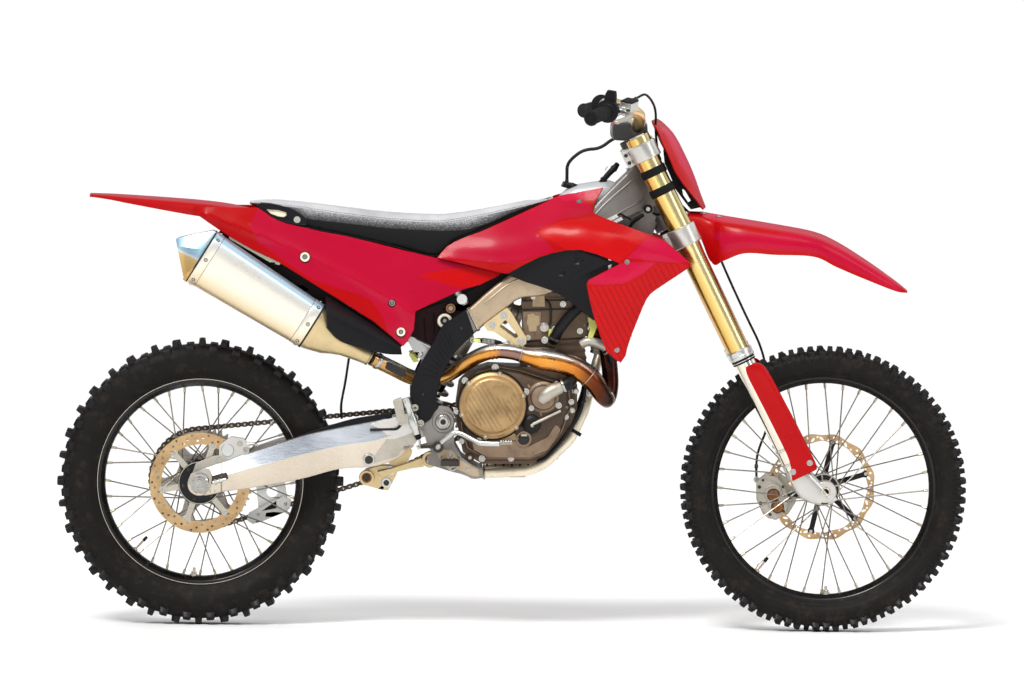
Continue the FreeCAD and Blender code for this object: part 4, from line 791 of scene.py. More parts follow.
def plain(name, col, rough=0.4, metal=0.0, var=0.12, vscale=9.0, fine=260.0, bump=0.12, coat=0.0, spec=0.5, rvar=0.12, dist=0.0006, second=None, stretch=None, grime=None):
    """Base finish: broad colour drift, fine grain, and gloss that varies."""
    m = Mat(name)
    big = m.noise(vscale, 5.0, 0.6, stretch=stretch)
    sml = m.noise(fine, 3.0, 0.6)
    c = m.ramp(big, [(0.3, shade(col, 1 - var)), (0.7, shade(col, 1 + var))])
    if second:
        w = m.noise(vscale * 0.45, 3.0, 0.5, dist=0.8)
        k = m.remap(w, 0.0, second[1], 0.45, 0.7)
        c = m.mix(k, c, second[0])
    if grime:
        g = m.noise(38.0, 6.0, 0.7)
        k = m.remap(g, 0.0, grime[1], 0.52, 0.74)
        c = m.mix(k, c, grime[0])
    m.color(c)
    rr = m.math("ADD", m.remap(big, rough - rvar * 0.5, rough + rvar * 0.5), m.remap(sml, -0.03, 0.03))
    m.rough(rr)
    m.set(Metallic=metal)
    m.b.inputs["Specular IOR Level"].default_value = spec
    if coat:
        m.b.inputs["Coat Weight"].default_value = coat
        m.b.inputs["Coat Roughness"].default_value = 0.06
    if bump:
        m.bump(sml, bump, dist)
    return m


# ---------------------------------------------------------------- finishes
# crimson and the pink moulding stand partly for printed graphics and partly for painted sky reflection on the glossy
# plastic
RED, CRIMSON_PRINT_AND_SKY, ORANGE = lin(170, 2, 8), lin(174, 4, 44), lin(186, 6, 10)

m = plain("rubber", lin(22, 20, 19), rough=0.56, var=0.25, vscale=14, fine=900, bump=0.4, dist=0.0005, spec=0.14, grime=(lin(62, 50, 40), 0.5))
m = plain("rubber_block", lin(21, 21, 24), rough=0.44, var=0.28, vscale=30, fine=700, bump=0.35, dist=0.0005, spec=0.24, grime=(lin(56, 48, 42), 0.35))
plain("rim_black", lin(20, 18, 18), rough=0.3, metal=0.55, var=0.25, vscale=12, fine=500, bump=0.06, coat=0.25)
plain("rim_line", lin(196, 186, 172), rough=0.28, metal=1.0, var=0.08, fine=600, bump=0.05)
plain("spoke_steel", lin(138, 132, 124), rough=0.26, metal=1.0, var=0.1, vscale=20, fine=800, bump=0.05)
plain("nipple", lin(176, 168, 150), rough=0.3, metal=1.0, var=0.1, fine=800, bump=0.08)
plain("hub_black", lin(28, 27, 29), rough=0.38, metal=0.5, var=0.2, vscale=18, fine=420, bump=0.25, dist=0.0005)
plain("hub_alloy", lin(192, 186, 172), rough=0.3, metal=0.95, var=0.1, vscale=16, fine=420, bump=0.15)
plain("bronze_disc", lin(200, 168, 124), rough=0.3, metal=1.0, var=0.16, vscale=26, fine=900, bump=0.12, second=(lin(168, 132, 92), 0.6))
plain("carrier_black", lin(26, 25, 26), rough=0.36, metal=0.6, var=0.2, fine=400, bump=0.1)
plain("steel", lin(184, 182, 176), rough=0.27, metal=1.0, var=0.12, vscale=30, fine=600, bump=0.1, grime=(lin(120, 110, 92), 0.35))
plain("steel_dark", lin(72, 68, 62), rough=0.36, metal=1.0, var=0.2, vscale=30, fine=500, bump=0.12)
plain("chrome", lin(232, 224, 208), rough=0.07, metal=1.0, var=0.04, vscale=12, fine=300, bump=0.0, rvar=0.04)
plain("machined", lin(206, 207, 204), rough=0.3, metal=0.95, var=0.07, vscale=12, fine=700, bump=0.1, rvar=0.1)
plain("clamp_alloy", lin(206, 204, 198), rough=0.36, metal=0.9, var=0.08, vscale=10, fine=500, bump=0.16, rvar=0.12)
plain("cast_alloy", lin(186, 180, 168), rough=0.46, metal=0.8, var=0.12, vscale=16, fine=420, bump=0.4, dist=0.0006, grime=(lin(112, 100, 84), 0.4))
plain("black_plastic", lin(19, 18, 21), rough=0.42, var=0.18, vscale=12, fine=800, bump=0.26, dist=0.0004, spec=0.16)
plain("black_rubber", lin(15, 15, 15), rough=0.62, var=0.2, vscale=14, fine=900, bump=0.4, dist=0.0005, spec=0.18)
plain("white_plastic", lin(222, 222, 218), rough=0.36, var=0.05, vscale=12, fine=600, bump=0.1, grime=(lin(176, 168, 152), 0.3))
plain("hose_rubber", lin(16, 16, 17), rough=0.4, var=0.2, vscale=24, fine=900, bump=0.3, dist=0.0004, spec=0.24)
plain("brass_cap", lin(140, 92, 58), rough=0.3, metal=1.0, var=0.15, vscale=40, fine=500, bump=0.1)
plain("bar_gold", lin(232, 208, 156), rough=0.36, metal=1.0, var=0.07, vscale=9, fine=700, bump=0.06, rvar=0.08)
plain("seat_base", lin(16, 16, 17), rough=0.5, var=0.15, fine=600, bump=0.2, spec=0.16)
plain("spring_steel", lin(196, 194, 190), rough=0.3, metal=0.8, var=0.1, fine=400, bump=0.08)
plain("gold_anod", lin(224, 186, 106), rough=0.26, metal=1.0, var=0.1, vscale=14, fine=600, bump=0.05)
plain("green_anod", lin(150, 176, 60), rough=0.3, metal=0.9, var=0.12, vscale=14, fine=500, bump=0.08)
plain("tank_black", lin(15, 15, 16), rough=0.34, var=0.14, vscale=10, fine=500, bump=0.12, spec=0.2)
plain("weld", lin(170, 158, 138), rough=0.34, metal=0.9, var=0.2, vscale=60, fine=260, bump=0.3)
plain("cradle_paint", lin(240, 228, 204), rough=0.36, metal=0.55, var=0.1, vscale=10, fine=500, bump=0.12, grime=(lin(150, 136, 110), 0.35))
plain("subframe_alloy", lin(182, 182, 180), rough=0.36, metal=0.85, var=0.1, vscale=10, fine=500, bump=0.18)
plain("sprocket_alloy", lin(186, 182, 174), rough=0.32, metal=0.95, var=0.12, vscale=24, fine=600, bump=0.12, grime=(lin(90, 78, 60), 0.4))
plain("chain_steel", lin(84, 72, 60), rough=0.34, metal=0.9, var=0.2, vscale=60, fine=500, bump=0.12, grime=(lin(40, 32, 26), 0.6))
plain("tank_silver", lin(204, 207, 210), rough=0.3, metal=0.35, var=0.05, vscale=8, fine=900, bump=0.05, coat=0.4)
plain("bracket_gold", lin(214, 192, 146), rough=0.36, metal=0.8, var=0.12, vscale=16, fine=500, bump=0.2)

# fork tube: gold anodising with faint turned rings and noise patches of a deeper tone; across the tube the colour
# follows the direction the surface faces, orange-brown on one side, then a pale cream band and a darker olive band:
# painted highlight and painted shade
m = Mat("fork_gold")
b1 = m.noise(7, 4, 0.5)
ringn = m.noise(1.0, 2, 0.5, stretch=(6, 6, 700), rot=(0, math.radians(RAKE), 0))
normal_for_painted_light = m.node("ShaderNodeSeparateXYZ")
m.link(m.co.outputs["Normal"], normal_for_painted_light.inputs[0])
c = m.ramp(m.math("ADD", m.remap(normal_for_painted_light.outputs[0], 0.0, 1.0, -1.0, 1.0), m.remap(b1, -0.03, 0.03)), [(0.0, lin(196, 142, 66)), (0.26, lin(224, 184, 104)), (0.5, lin(238, 210, 140)), (0.66, lin(236, 222, 172)), (0.82, lin(190, 176, 122)), (1.0, lin(226, 206, 146))])
g = m.noise(46, 6, 0.7)
c = m.mix(m.remap(g, 0.0, 0.12, 0.56, 0.75), c, lin(190, 146, 76))
m.color(c)
m.rough(m.math("ADD", m.remap(b1, 0.23, 0.28), m.remap(ringn, -0.006, 0.008)))
m.set(Metallic=1.0)

# cast frame: grey at the head, warmer and tan toward the rear as a painted warm reflection on one grey casting, mottled
# and pitted
m = Mat("frame_cast")
b1 = m.noise(11, 5, 0.6)
f1 = m.noise(380, 4, 0.65)
pit = m.voronoi(900)
x = m.axis(0)
# tan toward the rear: painted warm reflection
warm = m.remap(x, 1.0, 0.0, 0.10, 0.42)
cg = m.ramp(b1, [(0.3, lin(134, 134, 134)), (0.7, lin(166, 165, 162))])
ct = m.ramp(b1, [(0.3, lin(150, 132, 108)), (0.7, lin(190, 172, 144))])
c = m.mix(warm, cg, ct)
g = m.noise(30, 6, 0.72)
c = m.mix(m.remap(g, 0.0, 0.5, 0.55, 0.75), c, lin(96, 84, 68))
m.color(c)
m.rough(m.math("ADD", m.remap(b1, 0.36, 0.5), m.remap(f1, -0.05, 0.05)))
m.set(Metallic=0.72)
h = m.math("ADD", m.math("MULTIPLY", f1, 0.6), m.math("MULTIPLY", pit, 0.4))
m.bump(h, 0.5, 0.0006)

# engine castings: dark, warm, sand-cast grain
for nm, a, b_, mt, rg in (("engine_cast", (64, 52, 43), (92, 75, 60), 0.6, 0.48), ("engine_light", (116, 96, 78), (154, 132, 110), 0.75, 0.42), ("cover_bronze", (146, 118, 78), (192, 158, 112), 0.75, 0.36), ("cover_olive", (134, 116, 86), (174, 150, 112), 0.7, 0.4)):
    m = Mat(nm)
    b1 = m.noise(14, 5, 0.6)
    f1 = m.noise(430, 4, 0.65)
    c = m.ramp(b1, [(0.3, lin(*a)), (0.7, lin(*b_))])
    g = m.noise(34, 6, 0.72)
    c = m.mix(m.remap(g, 0.0, 0.55, 0.54, 0.74), c, lin(46, 38, 30))
    m.color(c)
    m.rough(m.math("ADD", m.remap(b1, rg - 0.08, rg + 0.08), m.remap(f1, -0.05, 0.05)))
    m.set(Metallic=mt)
    m.bump(f1, 0.5, 0.0006)

# exhaust header: straw to brown to violet heat bands along its run, over brushed metal; the darkest brown at the U-bend
# is partly heat tint and partly painted shade
m = Mat("heat_pipe")
x = m.axis(0)
z = m.axis(2)
w = m.noise(9, 5, 0.6, dist=0.6)
t = m.math("ADD", m.remap(x, 0.0, 1.0, 0.0, 0.43), m.remap(w, -0.018, 0.018))
c = m.ramp(t, [(0.0, lin(198, 152, 88)), (0.3, lin(222, 156, 76)), (0.375, lin(214, 146, 74)), (0.395, lin(150, 116, 100)), (0.505, lin(146, 112, 104)), (0.53, lin(216, 146, 66)), (0.66, lin(230, 156, 66)), (0.8, lin(206, 126, 54)), (0.88, lin(118, 62, 34)), (1.0, lin(58, 30, 22))])
normal_for_painted_light = m.node("ShaderNodeSeparateXYZ")
m.link(m.co.outputs["Normal"], normal_for_painted_light.inputs[0])
# upward faces mixed toward silver: painted sky reflection
top = m.math("ADD", m.remap(normal_for_painted_light.outputs[2], 0.0, 0.92, 0.22, 0.5), m.remap(w, -0.1, 0.1))
m.color(m.mix(m.math("MULTIPLY", top, m.remap(t, 1.0, 0.35, 0.72, 0.9)), c, lin(206, 208, 210)))
f1 = m.noise(300, 4, 0.6)
m.rough(m.math("ADD", m.remap(w, 0.2, 0.32), m.remap(f1, -0.04, 0.04)))
m.set(Metallic=1.0)
m.bump(f1, 0.12, 0.0004)

# silencer skin: long satin brushing; the colour follows the direction the surface faces, pale blue above as painted sky
# reflection, cream at the sides and straw below as painted warm ground reflection
m = Mat("silencer_skin")
br = m.noise(1.0, 3, 0.6, stretch=(26, 900, 900), rot=(0, math.radians(31), 0))
b1 = m.noise(7, 4, 0.5)
normal_for_painted_light = m.node("ShaderNodeSeparateXYZ")
m.link(m.co.outputs["Normal"], normal_for_painted_light.inputs[0])
c = m.ramp(m.math("ADD", m.remap(normal_for_painted_light.outputs[2], 0.0, 1.0, -1.0, 1.0), m.remap(b1, -0.02, 0.02)), [(0.0, lin(214, 186, 140)), (0.36, lin(238, 220, 184)), (0.5, lin(243, 236, 220)), (0.62, lin(236, 236, 232)), (0.74, lin(186, 212, 226)), (0.88, lin(150, 192, 214)), (1.0, lin(196, 206, 212))])
m.color(m.mix(m.remap(br, 0.0, 0.2), c, lin(206, 200, 190)))
m.rough(m.math("ADD", m.remap(b1, 0.26, 0.36), m.remap(br, -0.05, 0.07)))
m.set(Metallic=0.66)
m.bump(br, 0.05, 0.0003)

# silencer end cap: pale blue on the upper facet and straw below a slanted line, with a near-white band on the line:
# painted sky and ground reflection and a painted highlight
m = Mat("cap_skin")
b1 = m.noise(14, 4, 0.5)
f = m.math("ADD", m.axis(2), m.math("MULTIPLY", m.axis(0), 0.45))
p0 = S(175.6, 246, 0)
f0 = (p0.z - ORIGIN[2]) * 0.001 + 0.45 * (p0.x - ORIGIN[0]) * 0.001
t = m.math("ADD", m.remap(f, 0.0, 1.0, f0 - 0.06, f0 + 0.06), m.remap(b1, -0.012, 0.012))
m.color(m.ramp(t, [(0.0, lin(196, 154, 92)), (0.36, lin(216, 180, 116)), (0.485, lin(226, 198, 142)), (0.515, lin(232, 238, 240)), (0.56, lin(172, 206, 224)), (0.78, lin(160, 200, 222)), (1.0, lin(204, 222, 230))]))
m.rough(m.remap(b1, 0.22, 0.3))
m.set(Metallic=0.72)

# swingarm: bright brushed alloy; upward faces lean silver-blue and downward faces tan, as painted sky and ground
# reflection
m = Mat("swing_alloy")
br = m.noise(1.0, 3, 0.6, stretch=(20, 700, 700), rot=(0, math.radians(-12), 0))
b1 = m.noise(8, 4, 0.5)
normal_for_painted_light = m.node("ShaderNodeSeparateXYZ")
m.link(m.co.outputs["Normal"], normal_for_painted_light.inputs[0])
sky_reflection_mix = m.remap(normal_for_painted_light.outputs[2], 0.0, 1.0, -0.12, 0.16)
c = m.mix(sky_reflection_mix, m.ramp(b1, [(0.3, lin(204, 192, 174)), (0.7, lin(224, 213, 196))]), m.ramp(b1, [(0.3, lin(196, 202, 212)), (0.7, lin(216, 221, 229))]))
g = m.noise(30, 6, 0.7)
c = m.mix(m.remap(g, 0.0, 0.16, 0.56, 0.75), c, lin(150, 140, 124))
m.color(c)
m.rough(m.math("ADD", m.remap(b1, 0.24, 0.34), m.remap(br, -0.05, 0.07)))
m.set(Metallic=0.95)
m.bump(br, 0.05, 0.0003)

# red mouldings and their crimson and pink areas, which stand partly for print and partly for painted sky reflection:
# moulded plastic, fine orange-peel, scuffed gloss
def moulding(name, col, rough=0.29, coat=0.08, var=0.07, scuff=0.3, grain=0.05):
    m = Mat(name)
    b1 = m.noise(5, 3, 0.5)
    peel = m.noise(160, 2, 0.5)
    c = m.ramp(b1, [(0.3, shade(col, 1 - var)), (0.7, shade(col, 1 + var))])
    m.color(c)
    sc = m.noise(1.0, 5, 0.7, stretch=(36, 40, 70), rot=(0, 0.5, 0))
    m.rough(m.math("ADD", m.remap(b1, rough - 0.04, rough + 0.05), m.remap(sc, 0.0, scuff * 0.12, 0.45, 0.85)))
    m.b.inputs["Coat Weight"].default_value = coat
    m.b.inputs["Coat Roughness"].default_value = 0.08
    m.b.inputs["Specular IOR Level"].default_value = 0.12
    m.bump(peel, grain, 0.0006)
    return m


moulding("red", RED)
moulding("crimson", CRIMSON_PRINT_AND_SKY)
moulding("orange", ORANGE)
# pink: a lighter crimson, partly print and partly painted sky reflection
moulding("pink", lin(184, 10, 54))
moulding("dark_red", lin(120, 4, 12), rough=0.34)
moulding("recess_shade_black", lin(22, 20, 24), rough=0.3, coat=0.1)
moulding("film_grey", lin(150, 152, 156), rough=0.3, coat=0.3)

# printed fin film: crimson with fine slanting grooves
m = Mat("fin_film")
w = m.node("ShaderNodeTexWave", wave_type="BANDS", bands_direction="X")
w.inputs["Scale"].default_value = 24.0
w.inputs["Distortion"].default_value = 0.4
mp = m.node("ShaderNodeMapping")
mp.inputs["Rotation"].default_value = (0, math.radians(28), 0)
m.link(m.co.outputs["Object"], mp.inputs["Vector"])
m.link(mp.outputs["Vector"], w.inputs["Vector"])
FIN = lin(184, 4, 10)
m.color(m.ramp(w.outputs["Fac"], [(0.0, shade(FIN, 0.62)), (0.16, shade(FIN, 0.98)), (1.0, FIN)]))
pn = m.noise(160, 2, 0.5)
m.rough(m.remap(pn, 0.26, 0.36))
m.b.inputs["Specular IOR Level"].default_value = 0.12
m.b.inputs["Coat Weight"].default_value = 0.08
m.b.inputs["Coat Roughness"].default_value = 0.08
m.bump(m.ramp(w.outputs["Fac"], [(0.0, (0, 0, 0)), (0.2, (1, 1, 1))]), 0.25, 0.0008)

# seat: gripping top with a fine pimpled weave, smoother flanks
SEAM = [(249, 202.4), (262, 204.2), (276, 206.0), (291, 209.0), (299, 213), (306, 217.4), (333.6, 220.8), (360, 223.8), (387, 226.8), (414, 228.6), (440.7, 229.8), (467, 228.6), (480, 224.6), (494, 219.8), (510, 212.0), (535, 203.2), (556, 195.6)]
for nm, col, sc, st in (("seat_top", lin(186, 186, 189), 520, 0.8), ("seat_side", lin(18, 18, 19), 760, 0.4)):
    m = Mat(nm)
    v1 = m.voronoi(sc)
    b1 = m.noise(9, 5, 0.6)
    f1 = m.noise(700, 3, 0.6)
    c = m.ramp(b1, [(0.3, shade(col, 0.8)), (0.7, shade(col, 1.2))])
    c = m.mix(m.remap(v1, 0.35, 0.0, 0.1, 0.5), c, shade(col, 0.45))
    if nm == "seat_side":
        # the gripping cover reaches over the edge and down the flank to a seam; its grey is lighter high up and darker
        # low down, as painted shade
        sp_ = [out(S(u, v, 0)) for u, v in SEAM]
        xa, xb = sp_[0].x, sp_[-1].x
        line = m.ramp(m.remap(m.axis(0), 0.0, 1.0, xa, xb), [((p.x - xa) / (xb - xa), ((p.z + 0.3) / 0.6,) * 3) for p in sp_])
        h = m.math("SUBTRACT", m.remap(m.axis(2), 0.0, 1.0, -0.3, 0.3), line)
        sp2 = m.noise(1.0, 3, 0.7, stretch=(260, 260, 420), rot=(0, 0.5, 0))
        lift = m.math("ADD", m.remap(h, 0.0, 1.0, 0.0, 0.05), m.remap(sp2, -0.34, 0.34, 0.3, 0.7))
        grey = m.ramp(lift, [(0.0, lin(44, 44, 45)), (0.35, lin(92, 92, 93)), (0.7, lin(150, 150, 152)), (1.0, lin(198, 198, 200))])
        c = m.mix(m.remap(h, 0.0, 1.0, -0.0012, 0.0016), c, grey)
    m.color(c)
    m.rough(m.remap(b1, 0.58, 0.74))
    m.b.inputs["Specular IOR Level"].default_value = 0.3 if nm == "seat_top" else 0.14
    m.b.inputs["Sheen Weight"].default_value = 0.2 if nm == "seat_top" else 0.04
    m.b.inputs["Sheen Roughness"].default_value = 0.4
    m.bump(m.math("ADD", m.math("MULTIPLY", v1, 0.8), m.math("MULTIPLY", f1, 0.3)), st, 0.0009)

# stitched thread
plain("thread", lin(60, 60, 64), rough=0.6, var=0.2, vscale=60, fine=900, bump=0.5)

# grips: soft rubber
plain("grip_rubber", lin(18, 18, 19), rough=0.58, var=0.2, vscale=16, fine=900, bump=0.4, dist=0.0005, spec=0.2)

# bar pad cover: tight woven cloth
m = Mat("pad_cloth")
wv = m.node("ShaderNodeTexWave", wave_type="BANDS", bands_direction="Y")
wv.inputs["Scale"].default_value = 420.0
wx = m.node("ShaderNodeTexWave", wave_type="BANDS", bands_direction="X")
wx.inputs["Scale"].default_value = 420.0
for w in (wv, wx):
    m.link(m.co.outputs["Object"], w.inputs["Vector"])
b1 = m.noise(12, 5, 0.6)
weave = m.math("MULTIPLY", wv.outputs["Fac"], wx.outputs["Fac"])
m.color(m.mix(m.remap(weave, 0.4, 0.0, 0.1, 0.7), m.ramp(b1, [(0.3, lin(19, 19, 20)), (0.7, lin(32, 31, 33))]), lin(10, 10, 11)))
m.rough(m.remap(b1, 0.55, 0.7))
m.b.inputs["Sheen Weight"].default_value = 0.3
m.bump(weave, 0.5, 0.0005)
m = Mat("pad_red")
b1 = m.noise(12, 5, 0.6)
w = m.noise(900, 3, 0.6)
m.color(m.ramp(b1, [(0.3, shade(RED, 0.85)), (0.7, shade(RED, 1.08))]))
m.rough(m.remap(b1, 0.4, 0.52))
m.bump(w, 0.3, 0.0005)

# radiator core: fine fins over flat tubes, drawn as bands; the near-black in the gaps between them is painted shade
m = Mat("core")
w = m.node("ShaderNodeTexWave", wave_type="BANDS", bands_direction="Z")
w.inputs["Scale"].default_value = 95.0
m.link(m.co.outputs["Object"], w.inputs["Vector"])
w2 = m.node("ShaderNodeTexWave", wave_type="BANDS", bands_direction="Y")
w2.inputs["Scale"].default_value = 330.0
m.link(m.co.outputs["Object"], w2.inputs["Vector"])
k = m.math("MULTIPLY", w.outputs["Fac"], w2.outputs["Fac"])
m.color(m.ramp(k, [(0.0, lin(18, 18, 18)), (0.5, lin(92, 92, 90)), (1.0, lin(150, 150, 146))]))
n1 = m.noise(40, 3)
m.rough(m.remap(n1, 0.35, 0.5))
m.set(Metallic=0.8)
m.bump(k, 0.6, 0.0012)

# the floor
m = Mat("floor")
b1 = m.noise(0.6, 4, 0.5)
m.color(m.ramp(b1, [(0.3, (0.926, 0.926, 0.926)), (0.7, (0.932, 0.932, 0.932))]))
m.rough(m.remap(b1, 0.62, 0.7))
m.b.inputs["Specular IOR Level"].default_value = 0.0

# ---------------------------------------------------------------- floor, light and camera
fl = bpy.data.meshes.new("studio_floor")
H = 420.0
fl.from_pydata([(-H, -H, FLOOR_Z), (H, -H, FLOOR_Z), (H, H, FLOOR_Z), (-H, H, FLOOR_Z)], [], [(0, 1, 2, 3)])
fl.materials.append(MATS["floor"])
floor = bpy.data.objects.new("studio_floor", fl)
bpy.context.scene.collection.objects.link(floor)

sc = bpy.context.scene
sc.view_settings.view_transform = "Standard"
world = bpy.data.worlds.new("studio")
sc.world = world
world.use_nodes = True
wt = world.node_tree
bg = wt.nodes["Background"]
tc = wt.nodes.new("ShaderNodeTexCoord")
sep = wt.nodes.new("ShaderNodeSeparateXYZ")
rp = wt.nodes.new("ShaderNodeValToRGB")
wt.links.new(tc.outputs["Generated"], sep.inputs[0])
wt.links.new(sep.outputs[2], rp.inputs["Fac"])
rp.color_ramp.elements[0].position = 0.0
rp.color_ramp.elements[0].color = (0.42, 0.43, 0.45, 1)
rp.color_ramp.elements[1].position = 0.9
rp.color_ramp.elements[1].color = (1.0, 1.0, 1.0, 1)
e = rp.color_ramp.elements.new(0.28)
e.color = (0.62, 0.63, 0.65, 1)
wt.links.new(rp.outputs["Color"], bg.inputs["Color"])
bg.inputs["Strength"].default_value = 0.66


def sun(name, toward, strength, angle, color=(1, 1, 1)):
    """Light that comes from the direction `toward`."""
    l = bpy.data.lights.new(name, "SUN")
    l.energy = strength
    l.angle = math.radians(angle)
    l.color = color
    o = bpy.data.objects.new(name, l)
    o.rotation_mode = "QUATERNION"
    o.rotation_quaternion = Vector(toward).normalized().to_track_quat("Z", "Y")
    sc.collection.objects.link(o)
    return o


def area(name, loc, target, size, size_y, power, color=(1, 1, 1)):
    l = bpy.data.lights.new(name, "AREA")
    l.shape = "RECTANGLE"
    l.size, l.size_y = size, size_y
    l.energy = power
    l.color = color
    o = bpy.data.objects.new(name, l)
    o.location = loc
    o.rotation_mode = "QUATERNION"
    o.rotation_quaternion = (Vector(loc) - Vector(target)).to_track_quat("Z", "Y")
    sc.collection.objects.link(o)
    return o


sun("key", (-0.35, -0.75, 0.95), 1.85, 18, (1.0, 0.985, 0.96))
sun("fill", (0.8, 0.55, 0.75), 0.55, 60)
area("strip_top", (0.2, -2.2, 2.6), (0.2, 0, -0.4), 3.6, 0.6, 30)
area("strip_front", (2.9, -1.6, 0.9), (0.6, 0, -0.4), 0.6, 2.2, 16)
area("strip_back", (-2.6, 2.2, 1.6), (0.2, 0, -0.3), 0.8, 2.4, 26)
area("low_near", (0.2, -3.0, -0.3), (0.2, 0, -0.55), 3.0, 0.4, 5)

eye = V(-0.0523, -20.0, 0.7134)
aim = V(0.2003, 0.0, -0.2995)
D = unit(aim - eye)
R = V(CA, 0, SA)
R = unit(R - D * R.dot(D))
U = (-D).cross(R)
cam = bpy.data.cameras.new("camera")
cam.sensor_width = 36.0
cam.lens = (aim - eye).length / (1024 * SHEET * 0.001) * 36.0
cam.clip_end = 2000.0
cam.clip_start = 0.5
co = bpy.data.objects.new("camera", cam)
rot = Matrix((R, U, -D)).transposed()
co.matrix_world = Matrix.Translation(eye) @ rot.to_4x4()
sc.collection.objects.link(co)
sc.camera = co


# ================================================================ WHEELS
def pol(axle, r, a, y):
    return V(axle.x + r * math.cos(a), y, axle.z + r * math.sin(a))


def make_tyre(name, axle, rim_r, half, outer, node, body, rows, front):
    B = Body()
    kn = 12.0 if front else 13.5           # block height
    base = outer - kn
    half0 = half * 0.93
    H_ = base - (rim_r - 2)
    # carcass: bead, bulging sidewall with two thin ribs, shoulder, crown
    prof = []
    pts = [(rim_r - 5, -half0 * 0.42), (rim_r - 1, -half0 * 0.50), (rim_r + 4.5, -half0 * 0.60), (rim_r + 5.5, -half0 * 0.66), (rim_r + 8, -half0 * 0.69),
           (rim_r + H_ * 0.30, -half0 * 0.90), (rim_r + H_ * 0.48, -half0 * 0.985), (rim_r + H_ * 0.62, -half0 * 0.99), (rim_r + H_ * 0.76, -half0 * 0.93),
           (rim_r + H_ * 0.88, -half0 * 0.80), (rim_r + H_ * 0.96, -half0 * 0.58), (base - 0.4, -half0 * 0.30), (base, 0)]
    c = crom([(a, b) for a, b in pts], 4)
    right = []
    for i, (r, y) in enumerate(c):
        right.append((r, y))
    # thin moulded ribs on the sidewall
    ribs = [rim_r + H_ * 0.22, rim_r + H_ * 0.26, rim_r + H_ * 0.70]
    dense = []
    for i in range(len(right) - 1):
        r0, y0 = right[i]
        r1, y1 = right[i + 1]
        for k in range(2):
            t = k / 2
            r, y = r0 + (r1 - r0) * t, y0 + (y1 - y0) * t
            lift = sum(0.9 * max(0, 1 - abs(r - q) / 0.9) for q in ribs)
            dense.append((r, y - lift if y < -5 else y))
    dense.append(right[-1])
    full = dense + [(r, -y) for r, y in reversed(dense[:-1])]
    inner = [(rim_r - 6.5, half0 * 0.34), (rim_r - 6.5, -half0 * 0.34)]
    B.revolve(axle, YY, full + inner, 120, closed=True)
    # where is the carcass surface at a given y: radius and outward normal
    tab = [(y, r) for r, y in dense] + [(-y, r) for r, y in reversed(dense[:-1])]

    def surf(y):
        best = None
        for i in range(len(tab) - 1):
            (ya, ra), (yb, rb) = tab[i], tab[i + 1]
            if min(ya, yb) <= y <= max(ya, yb) and abs(yb - ya) > 1e-9 and (ra + rb) / 2 > rim_r + H_ * 0.6:
                t = (y - ya) / (yb - ya)
                best = (ra + (rb - ra) * t, math.atan2(-(rb - ra), (yb - ya)))
                break
        return best or (base, 0)
    B.use(1)

    def block(a, y, lt, wy, h, tilt, skew=0.0, taper=0.82):
        """One tread block: lt round the tyre, wy across; tilt turns it outward at the shoulder."""
        r, slope = surf(y)
        rad = V(math.cos(a), 0, math.sin(a))
        tan = V(-math.sin(a), 0, math.cos(a))
        ct, st = math.cos(tilt), math.sin(tilt)
        up = rad * ct + YY * st
        side = YY * ct - rad * st
        if skew:
            cs, ss = math.cos(skew), math.sin(skew)
            tan, side = tan * cs + side * ss, side * cs - tan * ss
        c0 = axle + rad * r + V(0, y, 0)
        secs = []
        for hh, k in ((-4.0, 1.16), (1.0, 1.08), (2.6, 1.0), (h - 1.1, taper + 0.04), (h - 0.3, taper), (h, taper - 0.07)):
            x1, y1 = lt * 0.5 * k, wy * 0.5 * k
            cx = 0.22
            s = []
            for i, j in ((-1, -1 + cx), (-1 + cx, -1), (1 - cx, -1), (1, -1 + cx), (1, 1 - cx), (1 - cx, 1), (-1 + cx, 1), (-1, 1 - cx)):
                s.append(c0 + up * hh + tan * (i * x1) + side * (j * y1))
            secs.append(s)
        # shallow sipe dish in the top
        x1, y1 = lt * 0.5 * (taper - 0.3), wy * 0.5 * (taper - 0.3)
        top = [c0 + up * h + tan * (i * x1) + side * (j * y1) for i, j in ((-1, -.8), (-.8, -1), (.8, -1), (1, -.8), (1, .8), (.8, 1), (-.8, 1), (-1, .8))]
        low = [p - up * 1.6 for p in top]
        secs += [top, [q + (c0 + up * (h - 1.6) - q) * 0.12 for q in low]]
        B.loft(secs, cap0=False)

    da = 2 * math.pi / rows
    w = half0
    for k in range(rows):
        a = k * da
        if front:
            # crown pair, then a wider pair, shoulder blocks at each half pitch
            if k % 2 == 0:
                block(a, -9.5, 13.5, 14, kn, 0, 0.06)
                block(a, 9.5, 13.5, 14, kn, 0, -0.06)
            else:
                block(a, 0, 13, 17, kn, 0)
            for s in (-1, 1):
                block(a + da * 0.5, s * w * 0.50, 15, 14, kn * 0.98 - 0.4, s * 0.36, s * 0.12)
                block(a + (0.06 if k % 2 else 0.0), s * w * 0.80, 17, 12.5, kn * 0.95, s * 0.74, 0)
        else:
            if k % 2 == 0:
                block(a, -11.5, 15.5, 17, kn, 0)
                block(a, 11.5, 15.5, 17, kn, 0)
            else:
                block(a, 0, 15, 24, kn, 0)
                for s in (-1, 1):
                    block(a - da * 0.02, s * w * 0.50, 15, 16, kn * 0.99, s * 0.30)
            for s in (-1, 1):
                if k % 2 == 0:
                    block(a + da * 0.1, s * w * 0.52, 15, 13, kn * 0.98, s * 0.34)
                block(a + da * 0.5, s * w * 0.82, 21, 15, kn * 0.92, s * 0.80)
